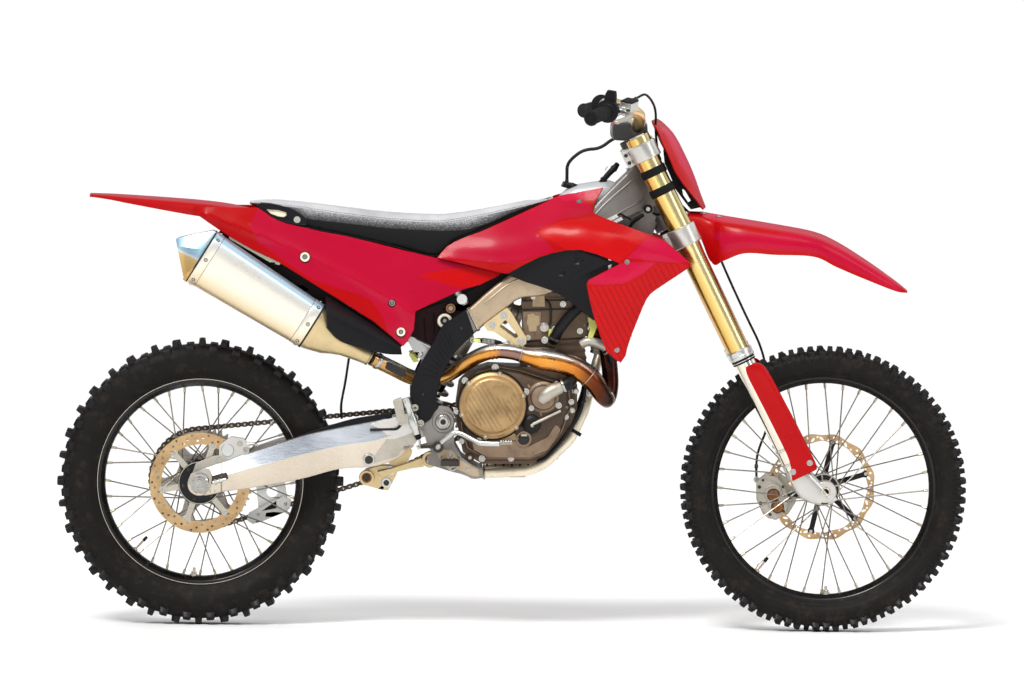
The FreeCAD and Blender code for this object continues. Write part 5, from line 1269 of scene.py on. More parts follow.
    # buttress bars that run down from each shoulder block
    B.use(0)
    for k in range(rows * 2 if front else rows):
        n = rows * 2 if front else rows
        a = (k + (0.0 if front else 0.5)) * 2 * math.pi / n
        for s in (-1, 1):
            secs = []
            for q, wd, hgt in ((0.93, 1.0, 2.6), (0.84, 1.0, 2.2), (0.72, 0.85, 1.6), (0.62, 0.6, 0.3)):
                r = rim_r + H_ * q
                # sidewall y at this radius
                yy = None
                for i in range(len(dense) - 1):
                    if dense[i][0] <= r <= dense[i + 1][0]:
                        yy = abs(dense[i][1])
                        break
                yy = yy if yy is not None else w * 0.9
                hw = (6.0 if front else 8.0) * wd / r
                p = [pol(axle, r, a - hw, s * (yy - 2.0)), pol(axle, r, a + hw, s * (yy - 2.0)), pol(axle, r + hgt * 0.3, a + hw * 0.8, s * (yy + hgt)), pol(axle, r + hgt * 0.3, a - hw * 0.8, s * (yy + hgt))]
                secs.append(p)
            B.loft(secs)
    # wear marks and blank moulded bar segments on the sidewall
    for s in (-1, 1):
        for k in range(6):
            a = math.radians(18 + 60 * k)
            r0, r1 = rim_r + H_ * 0.33, rim_r + H_ * 0.52
            secs = []
            for j in range(11):
                t = a + math.radians(22) * (j / 10 - 0.5)
                sec = []
                for rr in (r0, r0 + 0.8, r1 - 0.8, r1):
                    yy = w
                    for i in range(len(dense) - 1):
                        if dense[i][0] <= rr <= dense[i + 1][0]:
                            yy = abs(dense[i][1])
                            break
                    lift = 0.55 if rr not in (r0, r1) else -0.6
                    sec.append(pol(axle, rr, t, s * (yy + lift)))
                sec2 = [pol(axle, rr, t, s * (w * 0.8)) for rr in (r1, r0)]
                secs.append(sec + sec2)
            B.loft(secs)
    return B.finish(name, body, [node], ["rubber", "rubber_block"], angle=38)


TYRE_F = make_tyre("tread_and_carcass_front", AXLE_F, 268.5, 43.0, WHEEL_R, "front_tyre", "front_wheel", 45, True)
TYRE_R = make_tyre("tread_and_carcass_rear", AXLE_R, 244.5, 54.0, WHEEL_R, "rear_tyre", "rear_wheel", 36, False)


def spoke_ends(axle, hub_r, hub_y, rim_r, rim_y, lean):
    res = []
    for side in (-1, 1):
        for k in range(18):
            a = math.radians(k * 20 + (10 if side > 0 else 0))
            way = 1 if k % 2 else -1
            ah = a + way * math.radians(lean)
            p0 = pol(axle, hub_r, ah, side * hub_y + way * 2.4)
            p1 = pol(axle, rim_r, a, side * rim_y + way * 2.4)
            res.append((p0, p1, side, way, a))
    return res


def make_rim(name, axle, inner, outer, half, node, body, ends, valve, lock):
    B = Body()
    sec = [(inner, 0), (inner, -half * 0.30), (inner + 2.2, -half * 0.46), (inner + 5.0, -half * 0.60), (inner + 8.2, -half * 0.80), (inner + 10.5, -half * 0.93), (inner + 13.5, -half * 0.985), (outer - 5.0, -half), (outer - 2.2, -half), (outer - 0.5, -half + 0.6), (outer, -half + 1.6), (outer - 0.6, -half + 2.8),
           (outer - 4.0, -half + 3.4), (inner + 14, -half + 4.0), (inner + 12, -half * 0.62), (inner + 6, -half * 0.30), (inner + 6, 0)]
    full = sec + [(r, -y) for r, y in reversed(sec[1:-1])]
    B.revolve(axle, YY, full, 120, closed=True)
    # machined line near the outer edge, each side
    B.use(1)
    for s in (-1, 1):
        B.revolve(axle, YY, [(outer - 6.6, s * (half - 0.4)), (outer - 6.5, s * (half + 0.12)), (outer - 5.2, s * (half + 0.12)), (outer - 5.1, s * (half - 0.4))], 120, closed=True)
    # bosses where the nipples seat
    B.use(0)
    for p0, p1, side, way, a in ends:
        d = unit(p0 - p1)
        q = p1 + d * -1.5
        B.cyl(q, p1 + d * 3.6, 5.4, n=12, ch=0.8, r2=4.4)
    # tyre valve and rim lock
    rad = V(math.cos(valve), 0, math.sin(valve))
    q = axle + rad * (inner + 1)
    B.use(1)
    B.cyl(q, q - rad * 5, 6.2, n=16)
    B.cyl(q - rad * 4, q - rad * 34, 2.6, n=14)
    for k in range(8):
        B.cyl(q - rad * (12 + k * 2.2), q - rad * (13.2 + k * 2.2), 3.1, n=14, ch=0.3)
    B.use(2)
    B.cyl(q - rad * 30, q - rad * 43, 4.1, n=14, r2=3.4)
    rad = V(math.cos(lock), 0, math.sin(lock))
    q = axle + rad * (inner + 1)
    B.use(1)
    B.cyl(q, q - rad * 4, 10, n=20)
    B.bolt(q - rad * 3.6, -rad, 7.5, 7, "hex")
    B.cyl(q - rad * 8, q - rad * 20, 3.6, n=14)
    return B.finish(name, body, [node], ["rim_black", "rim_line", "black_rubber"], angle=30)


def make_spokes(name, ends, node, body, axle):
    B = Body()
    for p0, p1, side, way, a in ends:
        d = unit(p1 - p0)
        L = (p1 - p0).length
        # elbow through the flange, butted shank, threaded end in its nipple
        e = p0 - d * 0.5
        B.use(0)
        B.tube([p0 + V(0, -way * 5.4, 0) - d * 1.0, p0 + V(0, -way * 2.0, 0) - d * 0.6, p0 + d * 2.5, p0 + d * 12, p0 + d * 26, p1 - d * 20, p1], [1.95, 1.95, 1.95, 1.9, 1.65, 1.65, 1.8], n=10, per=3)
        B.cyl(p0 + V(0, -way * 7.4, 0) - d * 1.0, p0 + V(0, -way * 5.2, 0) - d * 1.0, 3.3, n=12, r2=2.4)
        B.use(1)
        B.cyl(p1 - d * 16.5, p1 - d * 15.0, 2.3, n=12, r2=3.0)
        n1, n2 = p1 - d * 15.0, p1 - d * 3.0
        aa, bb = perp(d)
        secs = []
        for q, r in ((n1, 3.0), (n1 + d * 0.8, 3.35), (n2 - d * 1.0, 3.35), (n2, 3.6), (p1 + d * 0.5, 3.9)):
            secs.append([q + aa * (r * math.cos(2 * math.pi * k / 8)) + bb * (r * math.sin(2 * math.pi * k / 8)) for k in range(8)])
        B.loft(secs)
    return B.finish(name, body, [node], ["spoke_steel", "nipple"], angle=40)


SF = spoke_ends(AXLE_F, 30.0, 30.5, 254 + 3.0, 3.0, 62)
SR = spoke_ends(AXLE_R, 48.0, 33.5, 228 + 3.0, 3.5, 58)
vf = math.atan2(-(567 - 488.9), (763 - 823.5))
lf = math.atan2(-(592 - 488.9), (828 - 823.5))
vr = math.atan2(-(546 - 481), (140 - 200.5))
lr = math.atan2(-(571 - 481), (195 - 200.5))
RIM_F = make_rim("rim_well_front", AXLE_F, 254.0, 276.0, 21.0, "front_rim", "front_wheel", SF, vf, lf)
RIM_R = make_rim("rim_well_rear", AXLE_R, 228.0, 252.0, 28.0, "rear_rim", "rear_wheel", SR, vr, lr)
make_spokes("spokes_and_nipples_front", SF, "front_spokes", "front_wheel", AXLE_F)
make_spokes("spokes_and_nipples_rear", SR, "rear_spokes", "rear_wheel", AXLE_R)


# hubs: flanges scalloped between the spoke holes
def flange(B, axle, y0, y1, r, inner, n_holes, phase, depth):
    """Disc whose edge dips between the holes."""
    n = n_holes * 8
    o = []
    for k in range(n):
        a = 2 * math.pi * k / n
        rr = r - depth * (0.5 - 0.5 * math.cos((a - phase) * n_holes))
        o.append((rr, a))
    secs = []
    for y, d in ((y0, 1.0), (y0 + 0.8, 0), (y1 - 0.8, 0), (y1, 1.0)):
        secs.append([pol(axle, rr - d, a, y) for rr, a in o])
    B.loft(secs)


B = Body()
ax = AXLE_F
B.revolve(ax, YY, [(11.05, -50), (20, -50), (21.4, -48.6), (21.6, -38), (24, -35), (24, -33), (21, -29), (19.4, -22), (18.6, 0), (19.4, 22), (21, 29), (26, 33), (30, 36), (33, 40), (33.6, 44), (33.6, 57.6), (32.4, 59.4), (20, 59.6), (20, 65.2), (19, 66), (11.05, 66)], 64, closed=True)
flange(B, ax, -34, -27.4, 36, 20, 9, math.radians(-62), 4.0)
flange(B, ax, 27.4, 34, 36, 20, 9, math.radians(-52), 4.0)
# pale rim and dark scalloped pocket on the right-hand flange
B.use(0)
B.revolve(ax, YY, [(35.2, -33), (38.6, -33), (39.2, -34), (39.2, -37.2), (38.4, -38.2), (36.2, -38.2), (35.2, -37)], 72, closed=True)
B.use(3)
B.revolve(ax, YY, [(20, -34), (35.4, -34), (35.4, -36.4), (20, -37.0)], 60, closed=True)
B.use(0)
for k in range(9):
    a = math.radians(-62) + k * 2 * math.pi / 9
    d = V(math.cos(a), 0, math.sin(a))
    t = V(-math.sin(a), 0, math.cos(a))
    B.box(ax + d * 29.6 + V(0, -36.6, 0), t, d, YY, 1.7, 6.6, 1.3, 0.9)
B.use(1)
for y0, y1 in ((-50.2, -47.8), (66.0, 63.6)):
    B.revolve(ax, YY, [(11.2, y0), (17.2, y0), (17.2, y1), (11.2, y1)], 40, closed=True)
for k in range(6):
    a = 0.3 + k * math.pi / 3
    B.use(2)
    B.bolt(pol(ax, 26.5, a, 63.5), YY, 4.2, 3.0, "dome")
B.finish("hub_shell_front", "front_wheel", ["front_hub"], ["hub_alloy", "black_rubber", "steel_dark", "hub_black"], angle=30)

B = Body()
ax = AXLE_R
B.revolve(ax, YY, [(12.55, -76), (22.6, -76), (24, -74.8), (24, -69.5), (40.6, -69.5), (42, -68), (42, -44), (38, -38), (34, -36), (30, -30), (26.6, -22), (25.6, 0), (26.6, 22), (30, 30), (36, 36), (42, 40), (46, 44), (46, 64), (44.6, 65.4), (24, 65.4), (24, 74.8), (22.6, 76), (12.55, 76)], 64, closed=True)
flange(B, ax, -37, -30.4, 54, 27, 9, math.radians(-58), 4.6)
flange(B, ax, 30.4, 37, 54, 27, 9, math.radians(-48), 4.6)
for s, y0, y1 in ((-1, -66, -38), (1, 38, 62)):
    for k in range(6):
        a = 0.2 + k * math.pi / 3
        d = V(math.cos(a), 0, math.sin(a))
        t = V(-math.sin(a), 0, math.cos(a))
        B.box(ax + d * 41.0 + V(0, (y0 + y1) / 2, 0), t, d, YY, 3.0, 5.0, (y1 - y0) / 2, 0.9)
B.use(1)
for y0, y1 in ((-76.2, -73.6), (76.2, 73.6)):
    B.revolve(ax, YY, [(12.8, y0), (20.2, y0), (20.2, y1), (12.8, y1)], 40, closed=True)
B.use(2)
for k in range(6):
    B.bolt(pol(ax, 41.0, 0.2 + k * math.pi / 3, -74.6), -YY, 4.4, 1.6, "dome")
# dark ring plate outside the disc, with its pale edge and dimples
B.use(0)
B.revolve(ax, YY, [(24.4, -72.9), (50.4, -72.9), (51.6, -73.8), (51.6, -75.4), (50.6, -76.0), (48.8, -76.0), (47.8, -74.8), (30, -74.4), (27.6, -75.4), (24.4, -75.4)], 96, closed=True)
for k in range(18):
    a = 0.2 + (k + 0.5) * math.pi / 9
    B.cyl(pol(ax, 42.6, a, -74.4), pol(ax, 42.6, a, -75.4), 3.0, n=14)
B.use(3)
B.revolve(ax, YY, [(49.0, -75.8), (50.8, -75.8), (50.6, -76.3), (49.2, -76.3)], 96, closed=True)
B.finish("hub_shell_rear", "rear_wheel", ["rear_hub"], ["hub_black", "black_rubber", "steel_dark", "hub_alloy"], bevel=None, angle=30)


# discs
def disc_piece(name, axle, y0, y1, ro, ri, wave, n_wave, arms, phase, hub_o, hub_i, arm_w, holes, node, body, carrier_mat, inner_wave=0.0):
    B = Body()
    n = 240

    def loop(r, amp, cnt, ph=0.0):
        return [pol(axle, r - amp * (0.5 + 0.5 * math.cos(cnt * 2 * math.pi * k / n + ph)), 2 * math.pi * k / n, y0) for k in range(n)]
    hl = []
    for r, a, kind, rot in holes:
        if kind == "o":
            hl.append([pol(axle, r, a, y0) + (V(math.cos(a), 0, math.sin(a)) * (6.4 * math.cos(q) * math.cos(rot) - 2.9 * math.sin(q) * math.sin(rot)) + V(-math.sin(a), 0, math.cos(a)) * (6.4 * math.cos(q) * math.sin(rot) + 2.9 * math.sin(q) * math.cos(rot))) for q in [2 * math.pi * j / 14 for j in range(14)]])
        else:
            rad = kind
            hl.append([pol(axle, r, a, y0) + V(math.cos(q), 0, math.sin(q)) * rad for q in [2 * math.pi * j / 12 for j in range(12)]])
    B.slab(loop(ro, wave, n_wave), V(0, y1 - y0, 0), [loop(ri + inner_wave, inner_wave, n_wave, math.pi)] + hl)
    # carrier: hub ring with tapering arms, pinned to the disc
    B.use(1)
    m = 90
    inn = [pol(axle, hub_i, 2 * math.pi * k / m, y0) for k in range(m)]
    outl = []
    for k in range(arms):
        a = 2 * math.pi * k / arms + phase
        nx = a + 2 * math.pi / arms
        for r, w in ((hub_o, arm_w * 0.95), (hub_o + 8, arm_w * 0.55), (ri - 6, arm_w * 0.5), (ri + 1.5, arm_w * 0.72), (ri + 6.5, arm_w * 0.52)):
            outl.append(pol(axle, r, a - w / r, y0))
        for r, w in ((ri + 6.5, arm_w * 0.52), (ri + 1.5, arm_w * 0.72), (ri - 6, arm_w * 0.5), (hub_o + 8, arm_w * 0.55), (hub_o, arm_w * 0.95)):
            outl.append(pol(axle, r, a + w / r, y0))
        for j in range(1, 6):
            t = a + arm_w * 0.95 / hub_o + (nx - a - 2 * arm_w * 0.95 / hub_o) * j / 6
            outl.append(pol(axle, hub_o, t, y0))
    off = 0.35
    lift = V(0, -off if y0 > 0 else -off, 0)
    B.slab([p + lift for p in outl], V(0, (y1 - y0) + 2 * off, 0), [[p + lift for p in inn]])
    B.use(2)
    for k in range(arms):
        a = 2 * math.pi * k / arms + phase
        B.cyl(pol(axle, ri + 2.5, a, y0 - 0.9), pol(axle, ri + 2.5, a, y1 + 0.9), 4.6, n=18)
    return B.finish(name, body, [node], ["bronze_disc", carrier_mat, "steel"], bevel=0.25, seg=1, angle=40)


hs = []
for k in range(12):
    a = 2 * math.pi * k / 12
    hs += [(124.0 - 3.6, a + 0.10, 2.6, 0), (116.5, a + 0.02, "o", 0.9), (115.0, a + 0.20, "o", -0.9), (122.0, a + 0.29, 3.0, 0), (113.5, a + 0.40, 2.4, 0)]
disc_piece("brake_disc_front", AXLE_F, 60.0, 63.5, 130.0, 108.0, 5.0, 12, 6, 0.3, 33.0, 20.05, 12.0, hs, "front_disc", "front_wheel", "carrier_black", 3.0)
hs = []
for k in range(18):
    a = 2 * math.pi * k / 18
    hs += [(114.5, a, 3.0, 0), (107.5, a + 0.117, 3.0, 0), (100.5, a + 0.234, 3.0, 0)]
disc_piece("brake_disc_rear", AXLE_R, -73.0, -70.0, 120.0, 92.0, 0.0, 12, 6, 0.2, 40.0, 24.05, 13.0, hs, "rear_disc", "rear_wheel", "hub_alloy")

# rear sprocket
B = Body()
SPR_R = PITCH / (2 * math.sin(math.pi / TEETH))
y0 = CHAIN_Y - 3.3
outl = []
for k in range(TEETH):
    a = 2 * math.pi * k / TEETH
    for da, r in ((-0.44, SPR_R - 5.0), (-0.34, SPR_R - 4.3), (-0.25, SPR_R - 2.2), (-0.18, SPR_R + 0.6), (-0.11, SPR_R + 3.4), (-0.05, SPR_R + 4.6), (0.05, SPR_R + 4.6), (0.11, SPR_R + 3.4), (0.18, SPR_R + 0.6), (0.25, SPR_R - 2.2), (0.34, SPR_R - 4.3), (0.44, SPR_R - 5.0)):
        b = a + da * 2 * math.pi / TEETH
        outl.append(pol(AXLE_R, r, b, y0))
wins = []
for k in range(6):
    a = 2 * math.pi * k / 6 + 0.15 + math.pi / 6
    w = []
    for r, t in ((66, -0.26), (62, -0.18), (62, 0.18), (66, 0.26), (88, 0.36), (98, 0.34), (101, 0.26), (101, -0.26), (98, -0.34), (88, -0.36)):
        w.append((r * math.cos(t), r * math.sin(t)))
    w = round_poly(w, 6, 3)
    wins.append([AXLE_R + V(math.cos(a) * x - math.sin(a) * z, y0, math.sin(a) * x + math.cos(a) * z) for x, z in w])
inn = [pol(AXLE_R, 24.1, 2 * math.pi * k / 60, y0) for k in range(60)]
B.slab(outl, V(0, 6.6, 0), wins + [inn])
B.use(1)
for k in range(6):
    B.bolt(pol(AXLE_R, 54, 0.15 + k * math.pi / 3, y0 + 6.6), YY, 5.2, 4.5, "hex")
B.finish("sprocket_rear", "rear_wheel", ["rear_sprocket"], ["sprocket_alloy", "steel"], bevel=0.5, seg=2, angle=40)

# axles: nuts and collars
B = Body()
ax = AXLE_F
B.revolve(ax, YY, [(8.1, -129), (10.2, -129), (10.95, -128), (10.95, 128), (8.1, 128)], 40, closed=True)
B.use(1)
B.revolve(ax, YY, [(11, -77.4), (16, -77.4), (17, -76.4), (17, -52), (15.6, -50.4), (11, -50.4)], 40, closed=True)
B.revolve(ax, YY, [(11, 66.4), (15.6, 66.4), (17, 68), (17, 76.4), (16, 77.4), (11, 77.4)], 40, closed=True)
B.use(2)
secs = []
for y, r, hx in ((128.1, 16.9, 0), (129.4, 16.9, 0), (129.4, 14.8, 1), (132.2, 14.8, 1), (132.9, 13.6, 0), (132.9, 8.4, 0), (130.5, 8.2, 0)):
    s = []
    for k in range(36):
        t = 2 * math.pi * k / 36
        mm = (t + math.pi / 6) % (math.pi / 3) - math.pi / 6
        rr = r * (math.cos(math.pi / 6) / math.cos(mm) if hx else 1)
        s.append(pol(ax, rr, t, y))
    secs.append(s)
B.loft(secs, cap0=True, cap1=True)
B.finish("spindle_front", "steering", ["front_axle"], ["chrome", "machined", "steel"], angle=30)

B = Body()
ax = AXLE_R
B.revolve(ax, YY, [(8.6, -135.6), (11.6, -135.6), (12.45, -134.6), (12.45, 134.6), (11.6, 135.6), (8.6, 135.6)], 44, closed=True)
B.use(1)
B.revolve(ax, YY, [(12.5, -84.4), (18, -84.4), (19, -83.4), (19, -77.4), (18, -76.4), (12.5, -76.4)], 44, closed=True)
B.revolve(ax, YY, [(12.5, 76.4), (18, 76.4), (19, 77.4), (19, 83.4), (18, 84.4), (12.5, 84.4)], 44, closed=True)
for s in (-1, 1):
    B.use(2)
    secs = []
    for y, r, hx in ((119.2, 18.9, 0), (121.4, 18.9, 0), (121.4, 17.6, 1), (129.6, 17.6, 1), (130.8, 16.0, 0), (130.8, 12.6, 0)):
        q = []
        for k in range(36):
            t = 2 * math.pi * k / 36
            mm = (t + math.pi / 6) % (math.pi / 3) - math.pi / 6
            rr = r * (math.cos(math.pi / 6) / math.cos(mm) if hx else 1)
            q.append(pol(ax, rr, t, s * y))
        secs.append(q)
    B.loft(secs)
    B.use(3)
    B.cyl(pol(ax, 0.0, 0.0, s * 116), pol(ax, 0.0, 0.0, s * 119), 8.9, n=30)
B.finish("spindle_rear", "chassis", ["rear_axle"], ["steel", "machined", "steel", "black_rubber"], angle=30)


# ================================================================ FORK AND CLAMPS
B = Body()
for s in (-1, 1):
    y = s * FORK_HALF
    base = F(0, 0, y)
    B.use(0)
    prof = [(24.7, 372), (26.4, 372), (26.7, 373), (26.7, 388), (26.6, 392), (26.9, 440), (27.5, 500), (27.5, 640), (27.7, 648), (28.6, 664), (28.95, 672), (28.95, 950), (28.4, 957), (27.6, 958), (25.4, 958)]
    B.revolve(base, UP, prof + [(24.8, 955), (24.7, 940)], 72, closed=True)
    # seal housing with its wiper ring and turned grooves
    B.use(1)
    B.revolve(base, UP, [(25.0, 373.5), (29.6, 373.5), (30.6, 374.5), (30.9, 376), (30.9, 381), (30.3, 382), (30.3, 383.5), (30.9, 384.5), (30.9, 391.5), (30.4, 394), (28.8, 395.8), (27.0, 396), (25.0, 396)], 72, closed=True)
    B.use(2)
    B.revolve(base, UP, [(24.6, 362.5), (27.2, 362.5), (28.7, 364.0), (28.7, 371), (28.0, 373), (24.6, 373)], 72, closed=True)
    B.use(1)
    B.revolve(base, UP, [(28.0, 366.5), (29.0, 366.8), (29.0, 368.6), (28.0, 369.0)], 60, closed=True)
    # fork cap: hexagon, adjuster
    B.use(3)
    n = 36
    secs = []
    for h, r, hx in ((954, 25.2, 0), (958.6, 25.2, 0), (958.6, 22.0, 1), (957.2, 21.2, 1)):
        pass
    a, b = perp(UP)

    def ringh(h, r, hx):
        s_ = []
        for k in range(n):
            t = 2 * math.pi * k / n
            mm = (t + math.pi / 6) % (math.pi / 3) - math.pi / 6
            rr = r * (math.cos(math.pi / 6) / math.cos(mm) if hx else 1)
            s_.append(base + UP * h + a * (rr * math.cos(t)) + b * (rr * math.sin(t)))
        return s_
    B.loft([ringh(940, 25.0, 0), ringh(957.0, 25.0, 0), ringh(957.8, 24.2, 0), ringh(957.8, 21.0, 1), ringh(960.4, 21.0, 1), ringh(961.2, 19.6, 0), ringh(961.2, 10, 0), ringh(959.0, 9.6, 0)])
    B.use(4)
    B.cyl(base + UP * 958.5, base + UP * 961.6, 8.0, n=24)
    B.use(2)
    # straps that hold the hoses to the near tube
    for t0, t1 in (((808, 828), (857, 877)) if s < 0 else ((808, 826), (859, 877))):
        B.revolve(base, UP, [(28.6, t0), (30.6, t0 + 0.8), (31.0, t0 + 2.4), (31.0, t1 - 2.4), (30.6, t1 - 0.8), (28.6, t1)], 60, closed=True)
        B.revolve(base, UP, [(30.8, (t0 + t1) / 2 - 3.2), (31.7, (t0 + t1) / 2 - 2.4), (31.7, (t0 + t1) / 2 + 2.4), (30.8, (t0 + t1) / 2 + 3.2)], 60, closed=True)
        B.box(base + UP * ((t0 + t1) / 2) + FWD * 30.5, YY, UP, FWD, 4.5, (t1 - t0) / 2 + 1.0, 1.6, 0.8)
B.finish("outer_tubes_and_seals", "steering", ["fork_outer_tubes"], ["fork_gold", "machined", "black_rubber", "clamp_alloy", "steel"], angle=28)

# sliders: polished tube, cast foot with its axle clamp
B = Body()
for s in (-1, 1):
    y = s * FORK_HALF
    base = F(0, 0, y)
    B.use(0)
    B.revolve(base, UP, [(0, 74), (24.4, 74), (24.4, 392), (22, 392.5), (0, 392.5)], 64)
    B.use(1)
    foot = []
    stations = [(82, -24.9, 24.9, 24.9, 0.95), (70, -26.0, 26.5, 25.4, 0.85), (52, -26.4, 31.5, 25.0, 0.6), (30, -24.5, 38.5, 24.2, 0.55), (10, -19.5, 44.5, 23.6, 0.5), (-8, -5.5, 49.0, 22.8, 0.5), (-19, 8.5, 49.0, 21.5, 0.5)]
    for t, f0, f1, w, k in stations:
        p = 2 + (1 - k) * 3
        sec = []
        for i in range(32):
            g = 2 * math.pi * i / 32
            cg, sg = math.cos(g), math.sin(g)
            x = math.copysign(abs(cg) ** (2 / p), cg) * (f1 - f0) / 2 + (f0 + f1) / 2
            z = math.copysign(abs(sg) ** (2 / p), sg) * w
            sec.append(F(t, x, y + z))
        foot.append(sec)
    dense = []
    for i in range(len(foot) - 1):
        for k in range(4):
            t = k / 4
            dense.append([p + (q - p) * t for p, q in zip(foot[i], foot[i + 1])])
    dense.append(foot[-1])
    B.loft(dense)
    # clamped boss round the spindle with a slot below
    B.revolve(F(0, AXLE_LEAD, 0), V(0, s, 0), [(11.05, 78.2), (25.2, 78.2), (26.8, 80), (26.8, 119.5), (25.2, 121.8), (11.05, 121.8)], 56, closed=True)
    # pinch bolts under the boss
    for yy in (88, 112):
        q = F(-22, AXLE_LEAD + 6, s * yy)
        B.box(q, FWD, YY, UP, 12, 7.5, 7.5, 0.92)
        B.use(2)
        B.bolt(F(-22, AXLE_LEAD + 17.5, s * yy), FWD, 4.8, 4.2, "socket")
        B.use(1)
    # dark disc in the bore of the right-hand spindle end: painted shade standing in for its hexagon recess
    B.use(3)
    if s < 0:
        B.revolve(F(0, AXLE_LEAD, 0), V(0, -1, 0), [(0, 121.0), (10.9, 121.0), (10.9, 122.6), (0, 122.6)], 36)
    # damping adjuster and guard lugs
    B.use(4)
    B.cyl(F(52, -24.5, y), F(52, -30.5, y), 5.4, n=20)
    B.use(1)
    for tt in (92, 130):
        B.revolve(base, UP, [(24.3, tt), (26.6, tt + 0.8), (26.6, tt + 7.2), (24.3, tt + 8)], 48, closed=True)
B.finish("sliders_and_feet", "steering", ["fork_legs"], ["chrome", "clamp_alloy", "steel_dark", "recess_shade_black", "gold_anod"], bevel=0.5, seg=2, angle=34)


def clamp_looks(B, t0, t1, lobe, web_f1, stem_r, rear):
    """Cast clamp: rounded lobes, scalloped web, split ears with bolts."""
    mid = (t0 + t1) / 2
    for s in (-1, 1):
        y = s * FORK_HALF
        base = F(0, 0, y)
        B.use(0)
        B.revolve(base, UP, [(29.1, t0 + 0.4), (lobe - 2.2, t0 + 0.4), (lobe - 0.5, t0 + 1.8), (lobe - 0.1, t0 + 4), (lobe - 1.2, mid), (lobe - 0.1, t1 - 4), (lobe - 0.5, t1 - 1.8), (lobe - 2.2, t1 - 0.4), (29.1, t1 - 0.4)], 64, closed=True)
        # ears at the back, split by a slot
        for k in (-1, 1):
            yy = y - s * 4 + k * 5.0
            secs = []
            for t, f0 in ((t0 + 0.6, -lobe - 8), (t0 + 3, -lobe - 11.6), (t1 - 3, -lobe - 11.6), (t1 - 0.6, -lobe - 8)):
                secs.append([F(t, f0, yy - 3.6), F(t, -lobe + 10, yy - 3.6), F(t, -lobe + 10, yy + 3.6), F(t, f0, yy + 3.6)])
            B.loft(secs)
        n_b = 2 if t1 - t0 > 44 else 2
        for q in range(n_b):
            t = t0 + (t1 - t0) * (0.27 + 0.46 * q)
            B.use(1)
            B.bolt(F(t, -lobe - 5.4, y - s * 4 + s * 8.4), V(0, s, 0), 4.6, 5.0, "socket")
            B.cyl(F(t, -lobe - 5.4, y - s * 4 - s * 8.4), F(t, -lobe - 5.4, y - s * 4 - s * 11.0), 4.2, n=18)
            B.use(0)
    # web: arched plate between the lobes, relieved on both faces
    stations = []
    for i in range(25):
        w = -1 + 2 * i / 24
        yy = w * (FORK_HALF - 22)
        k = abs(w)
        f0 = -CLAMP_OFFSET - stem_r + (CLAMP_OFFSET + stem_r - 26) * (k ** 1.6)
        f1 = web_f1 - 3 * math.cos(w * math.pi) * 0.5 + 3 * k
        relief = 4.0 + 5.5 * math.exp(-((k - 0.5) / 0.24) ** 2)
        sec = []
        for f, tt in ((f0, t0 + relief + 2), (f0 + 3, t0 + relief), (f1 - 3, t0 + relief), (f1, t0 + relief + 2), (f1, t1 - relief - 2), (f1 - 3, t1 - relief), (f0 + 3, t1 - relief), (f0, t1 - relief - 2)):
            sec.append(F(tt, f, yy))
        stations.append(sec)
    B.loft(stations)
    B.revolve(STEER0, UP, [(15.05, t0 + 0.2), (stem_r - 2, t0 + 0.2), (stem_r - 0.2, t0 + 2), (stem_r - 0.2, t1 - 2), (stem_r - 2, t1 - 0.2), (15.05, t1 - 0.2)], 56, closed=True)


B = Body()
clamp_looks(B, LOWER_T - 24, LOWER_T + 24, 36.0, 14, 26, True)
# stem, dust seal and the mudguard's bolts
B.use(2)
B.revolve(STEER0, UP, [(8.6, LOWER_T + 10), (14.9, LOWER_T + 10), (14.9, UPPER_T + 37.5), (13.6, UPPER_T + 38.8), (9.6, UPPER_T + 38.8), (8.6, UPPER_T + 37.8)], 48, closed=True)
B.use(3)
B.revolve(STEER0, UP, [(15, LOWER_T + 20.5), (27.4, LOWER_T + 20.5), (27.9, LOWER_T + 22), (26.6, LOWER_T + 25.5), (23.5, LOWER_T + 26.8), (15, LOWER_T + 26.8)], 56, closed=True)
B.use(1)
for s in (-1, 1):
    for dy in (26, 54):
        B.bolt(F(LOWER_T - 20, 4, s * dy), -UP, 4.6, 3.2, "hex")
B.finish("clamp_lower_and_stem", "steering", ["lower_clamp_and_stem"], ["clamp_alloy", "steel", "chrome", "black_rubber"], bevel=0.6, seg=2, angle=36)

B = Body()
clamp_looks(B, UPPER_T - 20, UPPER_T + 22, 37.0, 20, 27, True)
# crown nut with its castellations
B.use(1)
n = 48
a, b = perp(UP)
secs = []
for h, r in ((UPPER_T + 22.2, 20.6), (UPPER_T + 24, 20.9), (UPPER_T + 37.6, 20.9), (UPPER_T + 39.6, 19.4)):
    s_ = []
    for k in range(n):
        t = 2 * math.pi * k / n
        dip = 1.4 if (k % 8) in (0, 1) and h > UPPER_T + 23 else 0
        s_.append(STEER0 + UP * h + a * ((r - dip) * math.cos(t)) + b * ((r - dip) * math.sin(t)))
    secs.append(s_)
secs.append([STEER0 + UP * (UPPER_T + 39.6) + a * (15.1 * math.cos(2 * math.pi * k / n)) + b * (15.1 * math.sin(2 * math.pi * k / n)) for k in range(n)])
secs.append([STEER0 + UP * (UPPER_T + 22.2) + a * (15.1 * math.cos(2 * math.pi * k / n)) + b * (15.1 * math.sin(2 * math.pi * k / n)) for k in range(n)])
B.loft(secs, cap0=False, cap1=False)
B.use(0)
